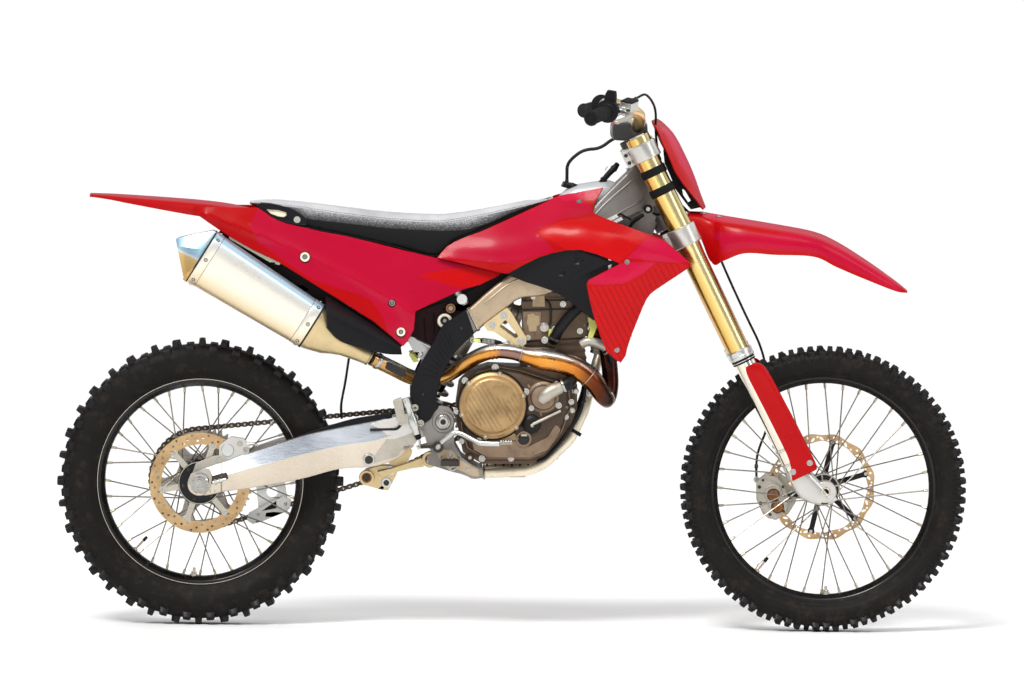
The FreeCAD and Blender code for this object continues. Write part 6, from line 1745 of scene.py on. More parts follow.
for y in (-48, 48):
    # bar clamp: waisted post, split cap with four bolts
    secs = []
    for t, w, f in ((UPPER_T + 8, 16.6, 19.6), (UPPER_T + 24, 15.4, 17.0), (UPPER_T + 40, 15.2, 17.0), (BAR_T - 8, 16.6, 22.0), (BAR_T - 1.2, 16.8, 22.6)):
        sec = []
        for i in range(20):
            g = 2 * math.pi * i / 20
            cg, sg = math.cos(g), math.sin(g)
            sec.append(A(t, BAR_F + math.copysign(abs(cg) ** 0.5, cg) * f, y + math.copysign(abs(sg) ** 0.5, sg) * w))
        secs.append(sec)
    B.loft(secs)
    n = 40
    for y0, y1 in ((y - 16.8, y + 16.8),):
        capo = []
        for yy, dr in ((y0, 1.4), (y0 + 1.2, 0), (y1 - 1.2, 0), (y1, 1.4)):
            q = []
            for k in range(n):
                g = math.pi * k / (n - 1)
                q.append(BAR + V(0, yy, 0) + FWD * ((22.8 - dr) * math.cos(g)) + UP * ((22.8 - dr) * math.sin(g) + 0.8))
            for k in range(n):
                g = math.pi * (1 - k / (n - 1))
                q.append(BAR + V(0, yy, 0) + FWD * (14.42 * math.cos(g)) + UP * (14.42 * math.sin(g) + 0.8))
            capo.append(q)
        B.loft(capo)
    for f in (-18.6, 18.6):
        for dy in (-9.5, 9.5):
            B.use(0)
            B.cyl(BAR + V(0, y + dy, 0) + FWD * f + UP * 2, BAR + V(0, y + dy, 0) + FWD * (f * 0.98) + UP * 13.0, 5.6, n=20)
            B.use(1)
            B.bolt(BAR + V(0, y + dy, 0) + FWD * (f * 0.98) + UP * 12.6, UP, 4.2, 3.6, "socket")
    B.use(0)
B.finish("clamp_upper_and_bar_mounts", "steering", ["upper_clamp"], ["clamp_alloy", "steel_dark"], bevel=0.5, seg=2, angle=36)

# ---------------------------------------------------------------- handlebar
def bar_pts(s):
    return [BAR + V(0, s * -1, 0), BAR + V(0, s * 74, 0), S(640, 113.5, s * 150), S(616.5, 107, s * 214), S(591.3, 118.4, s * 402)]


def bar_sym(s):
    return [V(p.x, abs(p.y) * s, p.z) for p in bar_pts(-1)]


def bar_frame(s):
    pts = bar_sym(s)
    d = pts[4] - pts[3]
    L = d.length
    return pts[3], pts[4], unit(d), L


B = Body()
right = bar_sym(-1)
left = bar_sym(1)
p3, p4, dR, L = bar_frame(-1)
q3, q4, dL, _ = bar_frame(1)
r_thick = route([V(BAR.x, -0.01, BAR.z), right[1], right[2], right[3], right[3] + (right[4] - right[3]) * 0.12], [45, 70, 45], 10)
l_thick = route([V(BAR.x, 0.01, BAR.z), left[1], left[2], left[3], left[3] + (left[4] - left[3]) * 0.12], [45, 70, 45], 10)
whole = list(reversed(r_thick)) + l_thick
tap = []
for p in whole:
    tap.append(14.1)
# tapers down to the grip diameter
B.tube([p3 + (p4 - p3) * 0.16] + whole + [q3 + (q4 - q3) * 0.16], [11.2] + tap + [11.2], n=40, smooth=False)
for a0, a1 in ((p3, p4), (q3, q4)):
    B.cyl(a0 + (a1 - a0) * 0.13, a1 - (a1 - a0) * 0.002, 11.0, n=36)
# knurled bands in the clamps and gauge lines
B.use(1)
for y0, y1 in ((-66, -30), (30, 66)):
    for k in range(18):
        yy = y0 + (y1 - y0) * (k + 0.5) / 18
        B.revolve(BAR + V(0, yy, 0), YY, [(13.8, -0.6), (14.22, -0.2), (14.22, 0.2), (13.8, 0.6)], 40, closed=True)
B.finish("handlebar_tube", "steering", ["handlebar"], ["bar_gold", "steel_dark"], angle=32)

# grips: half-waffle pattern raised on the sleeve, flange, end ring
B = Body()
for s in (-1, 1):
    a0, a1, d, L = bar_frame(s)
    g0 = a1 - d * 121.5

    def wob(r, h, t, s=s):
        if 8 < h < 116:
            row = math.sin(2 * math.pi * h / 5.4)
            col = math.sin(t * 16)
            w = 0.9 if row * col > 0.05 else -0.35
            if abs(h - 62) < 3.2:
                w = 0.7
            return r + w
        return r
    prof = [(11.15, 0.0), (15.6, 0.0)] + [(15.4, 2 + k * 0.9) for k in range(132)] + [(15.8, 121.5), (17.6, 122.2), (17.9, 124.0), (17.2, 125.2), (12.0, 125.4), (11.15, 122.0)]
    prof = [(r, h) for r, h in prof if h < 120.9 or r != 15.4]
    B.revolve(g0, d, prof, 64, closed=True, wob=lambda r, h, t: wob(r, h, t) if abs(r - 15.4) < 0.01 else r)
    # inner flange with a rolled lip
    B.revolve(a1 - d * 126, d, [(11.2, 0), (24, 0.2), (27.2, 0.9), (27.8, 2.3), (27.2, 3.8), (24, 4.2), (19, 4.9), (16.2, 7.2), (11.2, 7.2)], 64, closed=True)
    B.use(1)
    B.revolve(a1 - d * 1, d, [(0, 4.2), (6, 4.3), (10.6, 4.6), (11.2, 4.9), (10.0, 4.9), (5.5, 4.5), (0, 4.5)], 36)
    B.use(0)
    # lock-wire grooves
    for h in (10, 60, 112):
        B.revolve(g0 + d * h, d, [(15.0, -0.6), (15.85, -0.35), (15.85, 0.35), (15.0, 0.6)], 60, closed=True)
B.finish("grip_sleeves", "steering", ["grips"], ["grip_rubber", "black_rubber"], angle=30)


# ---------------------------------------------------------------- controls
def control_axes(s):
    p3_, p4_, d, L_ = bar_frame(s)
    fwd = V(1, 0, -0.12)
    fwd = unit(fwd - d * fwd.dot(d))
    up = d.cross(fwd)
    if up.z < 0:
        up = -up
    return p4_, d, fwd, unit(up)


B = Body()
for s in (-1, 1):
    p4_, d, fwd, up = control_axes(s)
    c = p4_ - d * 158
    # split perch with two bolts
    B.use(1)
    B.ring(c - d * 10.6, c + d * 10.6, 16.8, 11.25, n=44, ch=1.2)
    for q in (-6, 6):
        B.box(c + fwd * 14 + d * q + up * 0, fwd, d, up, 5.0, 4.2, 13.5, 0.85)
        B.use(2)
        B.bolt(c + fwd * 14 + d * q + up * 13.0, up, 3.4, 3.0, "socket")
        B.use(1)
    # arm out to the pivot
    secs = []
    for f, q0, q1, w in ((10, -10.5, 10.5, 9.0), (22, -9, 9.5, 8.4), (34, -7, 13, 7.6), (44, -5, 16, 7.0), (50, -2, 15, 6.6)):
        sec = []
        for i in range(16):
            g = 2 * math.pi * i / 16
            cg, sg = math.cos(g), math.sin(g)
            qq = (q0 + q1) / 2 + math.copysign(abs(cg) ** 0.6, cg) * (q1 - q0) / 2
            sec.append(c + fwd * f + d * qq + up * (math.copysign(abs(sg) ** 0.6, sg) * w))
        secs.append(sec)
    B.loft(secs)
    # blade: flattened, drilled, dog-leg, ball end
    B.use(0)
    st = []
    for q, f, wf, wu in ((6, 44, 9.5, 5.0), (14, 47, 9.4, 5.4), (24, 53, 8.0, 5.6), (36, 58, 6.8, 5.4), (55, 61, 6.4, 5.2), (80, 62.5, 6.2, 4.9), (105, 61.5, 6.1, 4.6), (126, 59.5, 6.0, 4.4), (140, 58, 6.0, 4.2)):
        st.append((q, f, wf, wu))
    st = crom(st, 4)
    secs = []
    for q, f, wf, wu in st:
        m_ = c + d * q + fwd * f
        sec = []
        for i in range(16):
            g = 2 * math.pi * i / 16
            cg, sg = math.cos(g), math.sin(g)
            sec.append(m_ + fwd * (math.copysign(abs(cg) ** 0.7, cg) * wf) + up * (math.copysign(abs(sg) ** 0.7, sg) * wu))
        secs.append(sec)
    B.loft(secs)
    e = c + d * 143 + fwd * 58
    a_, b_ = fwd, d
    secs = []
    for k in range(9):
        g = -math.pi / 2 + math.pi * k / 8
        rr, hh = max(0.3, 8.0 * math.cos(g)), 5.6 * math.sin(g)
        secs.append([e + up * hh + a_ * (rr * math.cos(2 * math.pi * i / 20)) + b_ * (rr * math.sin(2 * math.pi * i / 20)) for i in range(20)])
    B.loft(secs)
    # pivot bolt with ring
    B.use(2)
    B.bolt(c + d * 11 + fwd * 44 + up * 6.4, up, 5.0, 3.4, "dome")
    B.cyl(c + d * 11 + fwd * 44 - up * 6.6, c + d * 11 + fwd * 44 - up * 9.6, 5.4, n=20)
    # boot over the push rod
    B.use(3)
    for k in range(4):
        B.revolve(c + fwd * 36 + d * (-2 + k * 3.4), d, [(0, 0), (6.8 - k * 0.6, 0.4), (8.2 - k * 0.6, 1.7), (6.8 - k * 0.6, 3.0), (0, 3.4)], 24)
    if s < 0:
        # front brake master cylinder with its reservoir and lid
        m_ = c - d * 34 + fwd * 30
        B.use(4)
        secs = []
        for q in (-29.5, -28, 24.5, 26):
            k = 0.0 if q in (-28, 24.5) else 1.2
            sec = []
            for a2, b2 in round_poly([(-13.6 + k, -5.6 + k), (15.6 - k, -5.6 + k), (15.6 - k, 19.6), (-13.6 + k, 19.6)], [5, 5, 1, 1], 4):
                sec.append(m_ + fwd * a2 + up * b2 + d * q)
            secs.append(sec)
        B.loft(secs)
        B.use(5)
        secs = []
        for bb, k in ((19.7, 0.4), (20.4, 0), (22.9, 0), (24.0, 1.2)):
            secs.append([m_ + fwd * x + d * y + up * bb for x, y in round_poly([(-14.2 + k, -30 + k), (16.2 - k, -30 + k), (16.2 - k, 26.4 - k), (-14.2 + k, 26.4 - k)], 4, 4)])
        B.loft(secs)
        B.use(2)
        for q in (-24, 20.5):
            B.bolt(m_ + fwd * 1 + d * q + up * 23.6, up, 2.8, 1.2, "socket", depth=0.9)
        B.use(4)
        cc = c + fwd * 36
        B.revolve(cc - d * 46, d, [(0, 0), (8.2, 0), (9.4, 1.2), (9.6, 8), (10, 10), (10, 50), (8.6, 53), (8.6, 57.5), (0, 57.5)], 36)
        # banjo bolt of the brake hose
        B.use(2)
        B.cyl(cc - d * 50.5, cc - d * 45, 7.2, n=24)
        B.bolt(cc - d * 50.2, -d, 4.8, 4.4, "hex")
        # sight glass
        B.use(2)
        B.ring(m_ - fwd * 13.6 + up * 7 - d * 2, m_ - fwd * 15.4 + up * 7 - d * 2, 6.0, 3.6, n=24, ch=0.4)
        # throttle housing and its tower with two cables' elbows
        B.use(3)
        secs = []
        for q, r, k in ((128.4, 21.6, 0.96), (129.6, 23.4, 1), (143.6, 23.2, 1), (144.8, 21.4, 0.96)):
            sec = []
            for i in range(36):
                g = 2 * math.pi * i / 36
                sec.append(p4_ - d * q + fwd * (r * math.cos(g)) + up * (r * math.sin(g) + 3))
            secs.append(sec)
        B.loft(secs)
        secs = []
        for bb, w0, w1, k in ((12, -15, 15, 8.2), (28, -14, 14, 8.2), (40, -12.5, 13, 7.6), (48.5, -9, 11, 6.6)):
            secs.append([p4_ - d * 136.6 + fwd * x + d * y + up * bb for x, y in round_poly([(w0, -k), (w1, -k), (w1, k), (w0, k)], 3.4, 4)])
        B.loft(secs)
        B.use(2)
        for bb, ff in ((20, 9), (34, -7)):
            B.bolt(p4_ - d * 144.4 + up * bb + fwd * ff, -d, 3.2, 2.2, "socket")
        B.bolt(p4_ - d * 128.8 + up * 8 + fwd * 16, d, 3.0, 2.0, "socket")
    else:
        # clutch master cylinder
        m_ = c - d * 30 + fwd * 30
        B.use(4)
        secs = []
        for q in (-20, -18.6, 14.6, 16):
            k = 0.0 if q in (-18.6, 14.6) else 1.2
            secs.append([m_ + fwd * a2 + up * b2 + d * q for a2, b2 in round_poly([(-9 + k, -6 + k), (11 - k, -6 + k), (11 - k, 10), (-9 + k, 10)], [4, 4, 1, 1], 4)])
        secs_ok = secs
        # held inside the perch's own outline: only a low body ahead of it
        B.revolve(c + fwd * 36 - d * 9, d, [(0, 0), (6.4, 0), (7.2, 0.8), (7.2, 14), (6.0, 16), (0, 16)], 28)
        B.use(3)
        B.cyl(c + fwd * 36 - d * 9, c + fwd * 36 - d * 12.0, 5.0, n=20)
B.finish("levers_and_perches", "steering", ["hand_levers"], ["cast_alloy", "machined", "steel_dark", "black_plastic", "clamp_alloy", "black_rubber"], bevel=0.35, seg=1, angle=38)

# ---------------------------------------------------------------- fork guards
B = Body()
for s in (-1, 1):
    st = [(352, -3, 22, 30.5, 0.5), (344, -6, 33, 31.2, 0.8), (330, -8, 39.4, 32, 1), (300, -7.6, 43, 32, 1), (240, -6, 45.6, 32, 1), (180, -5, 48, 32, 1), (120, -4.5, 49.4, 32, 1), (90, -9, 49.4, 32, 1), (72, -15.6, 49.0, 32, 1), (62, -19.4, 47.2, 31.6, 1), (58.4, -18.6, 44.6, 31.0, 1)]
    st = crom(st, 3)
    secs = []
    for t, f0, f1, yo, k in st:
        o = []
        i_ = []
        # outer face, rounded corner, front face; then back inside
        for q in range(6):
            g = q / 5
            f = f0 + (f1 - 11 - f0) * g
            o.append((f, yo + 0.5 * math.sin(g * math.pi)))
            i_.append((f, yo - 3.0))
        for q in range(1, 7):
            g = q / 6 * math.pi / 2
            o.append((f1 - 11 + 11 * math.sin(g), yo - 11 + 11 * math.cos(g)))
            i_.append((f1 - 11 + 8 * math.sin(g), yo - 11 + 8 * math.cos(g)))
        for q in (0.5, 1.0):
            o.append((f1, (yo - 11) + (6 - (yo - 11)) * q))
            i_.append((f1 - 3.0, (yo - 11) + (6 - (yo - 11)) * q))
        secs.append([F(t, f, s * (FORK_HALF + y)) for f, y in o + i_[::-1]])
    B.use(0)
    B.loft(secs)
    # washers and bolts that hold the guard
    for t, f in ((78, -9), (80, 36)):
        B.use(1)
        B.bolt(F(t, f, s * (FORK_HALF + 31.6)), V(0, s, 0), 4.2, 2.4, "washer")
B.finish("guards_fork", "steering", ["fork_guards"], ["red", "steel"], angle=30)


# ================================================================ BODYWORK
def grid_shell(B, G, t, inner_ref, mats=None, mirror=False, rim=0.0):
    """Sheet with thickness over a grid of points G[i][j]; inner_ref(p) gives a point on its hollow side."""
    s0, f0 = len(B.v), len(B.f)
    m, n = len(G), len(G[0])
    N = []
    for i in range(m):
        row = []
        for j in range(n):
            a = G[min(i + 1, m - 1)][j] - G[max(i - 1, 0)][j]
            b = G[i][min(j + 1, n - 1)] - G[i][max(j - 1, 0)]
            c = a.cross(b)
            if c.length < 1e-9:
                c = V(0, 0, 1)
            c.normalize()
            if c.dot(G[i][j] - inner_ref(G[i][j])) < 0:
                c = -c
            row.append(c)
        N.append(row)
    tt = t if callable(t) else (lambda i, j: t)
    vo = [G[i][j] for i in range(m) for j in range(n)]
    vi = [G[i][j] - N[i][j] * tt(i, j) for i in range(m) for j in range(n)]
    b = len(B.v)
    B.v.extend(vo + vi)
    K = m * n
    cur = B.cur

    def addf(f, q):
        B.f.append([b + x for x in f])
        B.mi.append(cur + q)
    for i in range(m - 1):
        for j in range(n - 1):
            q = mats(i, j) if mats else 0
            a0, a1, a2, a3 = i * n + j, i * n + j + 1, (i + 1) * n + j + 1, (i + 1) * n + j
            addf([a0, a1, a2, a3], q)
            addf([K + a3, K + a2, K + a1, K + a0], q)
    for j in range(n - 1):
        addf([j, K + j, K + j + 1, j + 1], mats(0, j) if mats else 0)
        o = (m - 1) * n
        addf([o + j + 1, K + o + j + 1, K + o + j, o + j], mats(m - 2, j) if mats else 0)
    for i in range(m - 1):
        a0, a1 = i * n, (i + 1) * n
        addf([a1, K + a1, K + a0, a0], mats(i, 0) if mats else 0)
        a0, a1 = i * n + n - 1, (i + 1) * n + n - 1
        addf([a0, K + a0, K + a1, a1], mats(i, n - 2) if mats else 0)
    if mirror:
        B.mirror_y(s0, f0)
    return N


# ---------------------------------------------------------------- front mudguard
ff = [(688, 211, 226, 60), (701, 211.5, 238, 64), (712, 213.2, 262, 78), (722, 215, 258.5, 100), (743, 218.5, 250.5, 112), (773, 223.5, 252, 112), (812, 231.0, 254, 106), (835, 240.5, 264.5, 98), (865, 259.0, 277.6, 84), (894, 279.5, 289.8, 62), (906.5, 289.5, 292, 42)]
fs = crom(ff, 7)
kk = [0, 0.10, 0.2, 0.32, 0.44, 0.56, 0.68, 0.78, 0.86, 0.90, 0.93, 0.96, 0.98, 1.0, 1.0, 1.0, 1.0]
gg = [0.0, 0.006, 0.015, 0.03, 0.045, 0.06, 0.085, 0.115, 0.155, 0.20, 0.26, 0.34, 0.42, 0.50, 0.66, 0.84, 1.0]


def fender_pt(u, vt, vs, w, k, g, sgn, x_sh=0.0):
    v = vt + (vs - vt) * g
    return V(S(u, vt, 0).x + x_sh, sgn * w * k, S(u, v, 0).z)


G = []
for st in fs:
    u, vt, vs, w = st
    # pressed ribs either side of the crown, fading out toward both ends
    fade = max(0.0, min(1.0, (u - 700) / 30)) * max(0.0, min(1.0, (893 - u) / 40))
    row = []
    idx = [(kk[q], gg[q], -1) for q in range(len(kk) - 1, 0, -1)] + [(kk[q], gg[q], 1) for q in range(len(kk))]
    for k, g, sgn in idx:
        p = fender_pt(u, vt, vs, w, k, g, sgn)
        h = 0.0
        if 0.26 < k < 0.60:
            h = 2.4 * math.sin(math.pi * (k - 0.26) / 0.34) ** 2
        if k < 0.08:
            h = 2.6
        p.z += h * fade * 0.9 - (2.2 * fade)
        row.append(p)
    G.append(row)
ncol = len(G[0])
half_n = (ncol - 1) // 2


def fmat(i, j):
    u = fs[i][0]
    c = j if j < half_n else ncol - 2 - j     # 0 at the edge
    if c <= 8:
        # the upper flank stays red behind the bend, the lower flank is crimson
        if c >= 5 and u < (762, 778, 792, 806)[c - 5]:
            return 0
        if (711, 711, 711, 711, 711, 714, 717, 720, 723)[8 - c] < u < 899 and 1 <= c <= 7:
            return 1
        return 0
    # the crown is pink: partly print, partly painted sky reflection
    return 2 if 700 < u < 902 and c > 8 else 0


B = Body()
grid_shell(B, G, 3.0, lambda p: V(p.x - 10, 0, p.z - 60), fmat)
# four bolts with collars on the flat over the clamp
B.use(3)
for dx, y in ((-4, 26), (-4, -26), (34, 34), (34, -34)):
    p = S(704, 213, 0)
    q = V(p.x + dx, y, 0)
    # height from the nearest station
    best = min((abs(r[0].x - q.x), i) for i, r in enumerate(G))[1]
    rr = min(G[best], key=lambda s_: abs(s_.y - y))
    q.z = rr.z
    B.bolt(q + V(0, 0, 0.2), V(0.1, 0, 1), 4.4, 2.6, "washer")
B.finish("mudguard_front_skin", "steering", ["front_mudguard"], ["red", "crimson", "pink", "steel"], bevel=0.9, seg=2, angle=34)

# ---------------------------------------------------------------- number plate
npst = [((657, 118.5), (652, 121), 62), ((662, 121.6), (653.5, 124), 80), ((671.5, 131), (657.5, 132), 98), ((677.5, 140), (661.5, 142), 107), ((682.4, 149.4), (666, 151), 111.5), ((688.2, 161.5), (670.5, 162), 112), ((692.7, 171.8), (674.5, 171), 110), ((696.5, 182), (681, 181), 100), ((699.8, 191.5), (688.5, 190.5), 86), ((703, 200), (696.5, 200.5), 70), ((705.6, 206.6), (702.5, 208.6), 54)]
st = crom([(a[0], a[1], b[0], b[1], w) for a, b, w in npst], 4)
G = []
for i_, (fu, fv, ru, rv, w) in enumerate(st):
    row = []
    ab = 0.8 - 0.3 * max(0.0, i_ / (len(st) - 1) - 0.5) / 0.36
    for q in range(-12, 13):
        # columns follow the edge of the pink field, partly print and partly painted sky reflection
        a = abs(q) / 9 * ab if abs(q) <= 9 else ab + (abs(q) - 9) / 3 * (1 - ab)
        a = a if q > 0 else -a
        k = 1 - abs(a) ** 2.3
        p = S(ru + (fu - ru) * k, rv + (fv - rv) * k, 0)
        row.append(V(p.x, w * a, p.z))
    G.append(row)
m = len(G)


# pink centre field: partly print, partly painted sky reflection
def nmat(i, j):
    t = i / (m - 2)
    if 0.13 < t < 0.86 and abs(j - 11.5) < 9:
        return 1
    return 0


B = Body()
grid_shell(B, G, 3.0, lambda p: V(p.x - 60, 0, p.z + 10), nmat)
# strap over the bar and side pins
B.use(2)
for s in (-1, 1):
    q = G[m // 2][2 if s < 0 else 22]
    B.cyl(q + V(-2.0, 0, 0), q + V(-9, -s * 2, 0), 5.0, n=18)
# black backing that bridges from the hose straps to the plate, open in the middle
for s in (-1, 1):
    wing = round_poly([(663.5, 150), (669.5, 148), (674, 159), (679.6, 176), (684.5, 184), (691, 193), (701, 206.2), (690, 208.6), (683.5, 200), (676, 190), (670.5, 176), (665, 164)], 1.6)
    slot_ = round_poly([(681.0, 187.6), (685.0, 190.4), (691.4, 201.4), (688.4, 203.0), (682.4, 194.4)], 0.8)
    B.prism(wing, s * 52 - 1.8, s * 52 + 1.8, 0, [slot_])
B.box(S(672, 168, 0), YY, UP, FWD, 50, 12, 1.8, 0.95)
back = S(656, 133, 0)
B.use(2)
B.box(V(back.x + 4, 0, back.z - 2), YY, UP, FWD, 22, 7, 2.2, 0.9)
B.finish("plate_number_front", "steering", ["number_plate"], ["red", "pink", "black_rubber"], bevel=0.8, seg=2, angle=34)

# ---------------------------------------------------------------- rear mudguard
rf = [(91, 193.0, 196.2, 46), (112, 193.6, 198.6, 62), (140, 195.2, 203.5, 78), (170, 197.2, 209.0, 88), (200, 199.5, 214.0, 92), (225, 202.5, 216.0, 92), (245, 206.5, 217, 90), (262, 211.5, 219.5, 83)]
fs2 = crom(rf, 6)
G = []
for u, vt, vs, w in fs2:
    fade = max(0.0, min(1.0, (u - 96) / 30))
    row = []
    idx = [(kk[q], gg[q], -1) for q in range(len(kk) - 1, 0, -1)] + [(kk[q], gg[q], 1) for q in range(len(kk))]
    for k, g, sgn in idx:
        p = fender_pt(u, vt, vs, w, k, g, sgn)
        h = 0.0
        if 0.32 < k < 0.62:
            h = 1.8 * math.sin(math.pi * (k - 0.32) / 0.30) ** 2
        p.z += (h - 1.8) * fade
        row.append(p)
    G.append(row)


def rmat(i, j):
    u = fs2[i][0]
    c = j if j < half_n else ncol - 2 - j
    # the crown is crimson: partly print, partly painted sky reflection
    return 1 if c > 8 and 100 < u < 240 else 0


B = Body()
grid_shell(B, G, 3.0, lambda p: V(p.x + 10, 0, p.z - 60), rmat)
B.finish("mudguard_rear_skin", "chassis", ["rear_mudguard"], ["red", "crimson"], bevel=0.9, seg=2, angle=34)

# ---------------------------------------------------------------- side panels
sp = [[(193, 206.5, -97), (193, 209, -98), (193, 211.5, -98)], [(212, 207.0, -98), (212, 214, -104), (212, 224.5, -106)], [(230, 207.5, -98), (231, 221, -108), (232, 237.5, -114)], [(252, 207.6, -98), (253, 226, -110), (255, 250, -118)], [(266, 211.5, -97), (267, 232, -111), (269, 257.5, -120)], [(282, 220.5, -97), (284, 242, -111), (287, 267, -122)], [(300, 226.4, -96), (302, 249, -110), (304, 276.5, -123)], [(345, 235.6, -95), (345, 266, -108), (345, 303, -123)], [(374, 242.5, -94), (374, 279, -107), (374, 321, -121)], [(392, 247, -93), (392, 287, -107), (392, 336, -119)], [(403, 250, -93), (403, 292, -107), (403, 346.5, -117.5)], [(416, 253, -93), (416, 281, -106), (416, 309, -115)], [(430, 256.5, -92), (430, 278, -103), (430, 301, -112)], [(455, 262, -92), (455, 276, -99), (455, 292, -106)], [(472, 268, -94), (472, 276, -97), (472, 287, -100)], [(500, 273, -97), (500, 275, -98)]]
dp = Depth([q for st_ in sp for q in st_])
outl = [(194, 206.6), (212, 206.9), (232, 207.3), (250, 207.4), (258, 207.6), (264.5, 211.5), (274, 218.6), (287, 223.4), (300, 226.4), (322, 231.4), (345.7, 235.8), (374, 242.6), (403, 250), (435.5, 257.6), (460, 263.6), (484, 269), (501, 273.0), (497, 276.2), (480, 284.8), (462, 289.6), (446, 297.2), (430, 304.4), (415.5, 311.5), (413.8, 330), (408, 341), (403, 346.3), (389, 334.5), (374, 321.8), (345, 303.4), (317, 286), (298, 274), (278, 261.6), (252, 249.4), (227, 235), (208, 222.2), (194, 212.2)]
stripe = [(419, 276.4), (426, 273.4), (434, 271.6), (452, 268.8), (468, 267.4), (484, 269.6), (499.4, 273.2), (493, 277.6), (481, 284.2), (470, 287.0), (458.6, 287.6), (446, 284.4), (437, 280.6)]
# crim, the crimson area, is partly print and partly painted sky reflection
crim = [(258, 207.9), (264.5, 211.7), (274, 218.8), (300, 226.6), (345.7, 236.0), (403, 250.3), (435.5, 257.8), (460, 263.8), (480, 268.4), (480, 284.6), (462, 289.4), (446, 297.0), (430, 304.2), (415.6, 311.3), (413.9, 330), (408.2, 340.6), (403, 345.8), (393, 337.6), (388.6, 331.0), (385.4, 325.2), (382.6, 317.0), (378.4, 309.0), (371, 300.6), (361.6, 295.4), (351.4, 291.8), (333, 286.4), (313, 279.6), (298, 270.6), (276, 254.6), (258, 242), (250, 226)]


def spb(u, v):
    # a long crease that swells the panel's lower half, and a pressed dish by the rear opening
    h = 0.0
    ln = [(206, 214), (250, 231), (300, 252), (350, 277), (392, 300), (414, 316)]
    d = dist_line((u, v), ln)
    h += 3.2 * max(0.0, 1 - d / 7.0)
    ln2 = [(272, 221), (330, 236), (400, 253)]
    h += 1.6 * max(0.0, 1 - dist_line((u, v), ln2) / 3.0)
    return h


plain("bolt_cream", lin(244, 232, 206), rough=0.32, metal=0.2, var=0.05, vscale=30, fine=500, bump=0.1)
B = Body()
sheet_panel(B, outl, dp, wall=3.0, step=4.6, lines=[[(206, 214), (250, 231), (300, 252), (350, 277), (392, 300), (413, 315.4)]], regions=[(crim, 2), (stripe, 1)], bumps=spb, edge=1.0)
for u, v, r in ((305, 257, 11.4), (392, 303, 7.2), (401, 332, 10.4)):
    for s in (-1, 1):
        y = dp(u, v) - spb(u, v)
        p = S(u, v, y)
        p.y = s * abs(y)
        d = unit(V(0, s, 0.15))
        B.use(4)
        B.cyl(p - d * 2, p + d * 0.7, r + 2.4, n=40)
        B.use(5 if r > 8 else 3)
        B.revolve(p, d, [(r * 0.55, 0), (r, 0), (r, 1.6), (r - 0.7, 2.2), (r * 0.6, 2.2), (r * 0.55, 1.8)], 44, closed=True)
        B.use(4)
        B.cyl(p, p + d * 1.2, r * 0.56, n=32)
        B.use(3)
        B.bolt(p + d * 0.8, d, r * 0.42, 2.2, "socket")
B.use(0)
SIDE = B.finish("panels_side", "chassis", ["side_panels"], ["red", "orange", "crimson", "steel", "black_plastic", "bolt_cream"], angle=26)

# ---------------------------------------------------------------- radiator shrouds
up_st = [(436, 258.0, 262, -100, -103), (456, 241.5, 268.5, -90, -108), (480, 232, 271, -84, -114), (507, 219.5, 274.5, -78, -131), (540, 204.5, 257.5, -72, -147), (556, 203, 253.5, -76, -153), (580, 207, 249.8, -84, -162), (592.5, 211, 253, -96, -165), (608.6, 219, 258.5, -122, -168), (621, 223.5, 264, -140, -170), (640.7, 230.7, 265.5, -154, -172), (664, 239.6, 266.5, -166, -174), (690, 262.6, 268.2, -173, -174)]
lo_st = [(586, 281, 286, -164, -163), (590, 279, 303, -165, -160), (594, 276.5, 318, -166, -158), (600, 273.5, 336, -167, -153), (607, 270, 352.5, -168, -147), (614, 266.5, 359, -169, -143), (620.5, 263, 363, -170, -141), (627, 263, 349.5, -170.5, -144), (637, 263.5, 322, -171, -150), (648, 264.0, 296, -172.5, -158), (664, 265, 284, -173.5, -164)]
horn = [[(548, 200.2, -62), (548, 206, -80)], [(560, 195.2, -62), (560, 207, -82)], [(580, 191.6, -62), (580, 209, -85)], [(592, 189.3, -62), (592, 212.3, -95)], [(603, 187, -62), (602.8, 188.6, -66)]]
ctrl = []
for u, vt, vb, yt, yb in up_st:
    for k, q in ((0, 0), (0.35, 0.62), (0.7, 0.92), (1, 1)):
        ctrl.append((u, vt + (vb - vt) * k, yt + (yb - yt) * q))
for u, vt, vb, yt, yb in lo_st:
    for k, q in ((0.5, 0.22), (1, 1)):
        ctrl.append((u, vt + (vb - vt) * k, yt + (yb - yt) * q))
for st_ in horn:
    ctrl.append(st_[0])
dsh = Depth(ctrl)
outl = [(437, 257.6), (441, 252.6), (447, 246.0), (455, 241.2), (466, 236.4), (480, 231.4), (507, 219.3), (534, 206.8), (548, 200.2), (555, 196.4), (562, 194.6), (580, 191.4), (592, 189.2), (603, 187.2), (601.2, 191), (596, 200), (592.6, 207.6), (593.4, 212), (598.5, 215.2), (608.6, 219.2), (624, 225.0), (640.7, 230.9), (652, 235.0), (664, 240.0), (676, 249.8), (690.3, 262.8), (690.6, 266.6), (682, 272.4), (664, 284.4), (654, 291.2), (648, 296.4), (643, 307), (637, 322), (631.5, 336), (627.6, 347.5), (625.6, 356), (620.8, 362.8), (616, 360.2), (607, 352.6), (600, 335.5), (594, 317.6), (589.5, 301), (586.4, 284.2), (588.6, 279.6), (600, 273.6), (612, 267.6), (619.6, 263.6), (612, 260.2), (596, 254.0), (580, 249.8), (566, 250.2), (552, 253.2), (539, 257.3), (522, 265.8), (507, 273.9), (497, 272.2), (480, 268.0), (460, 263.2)]
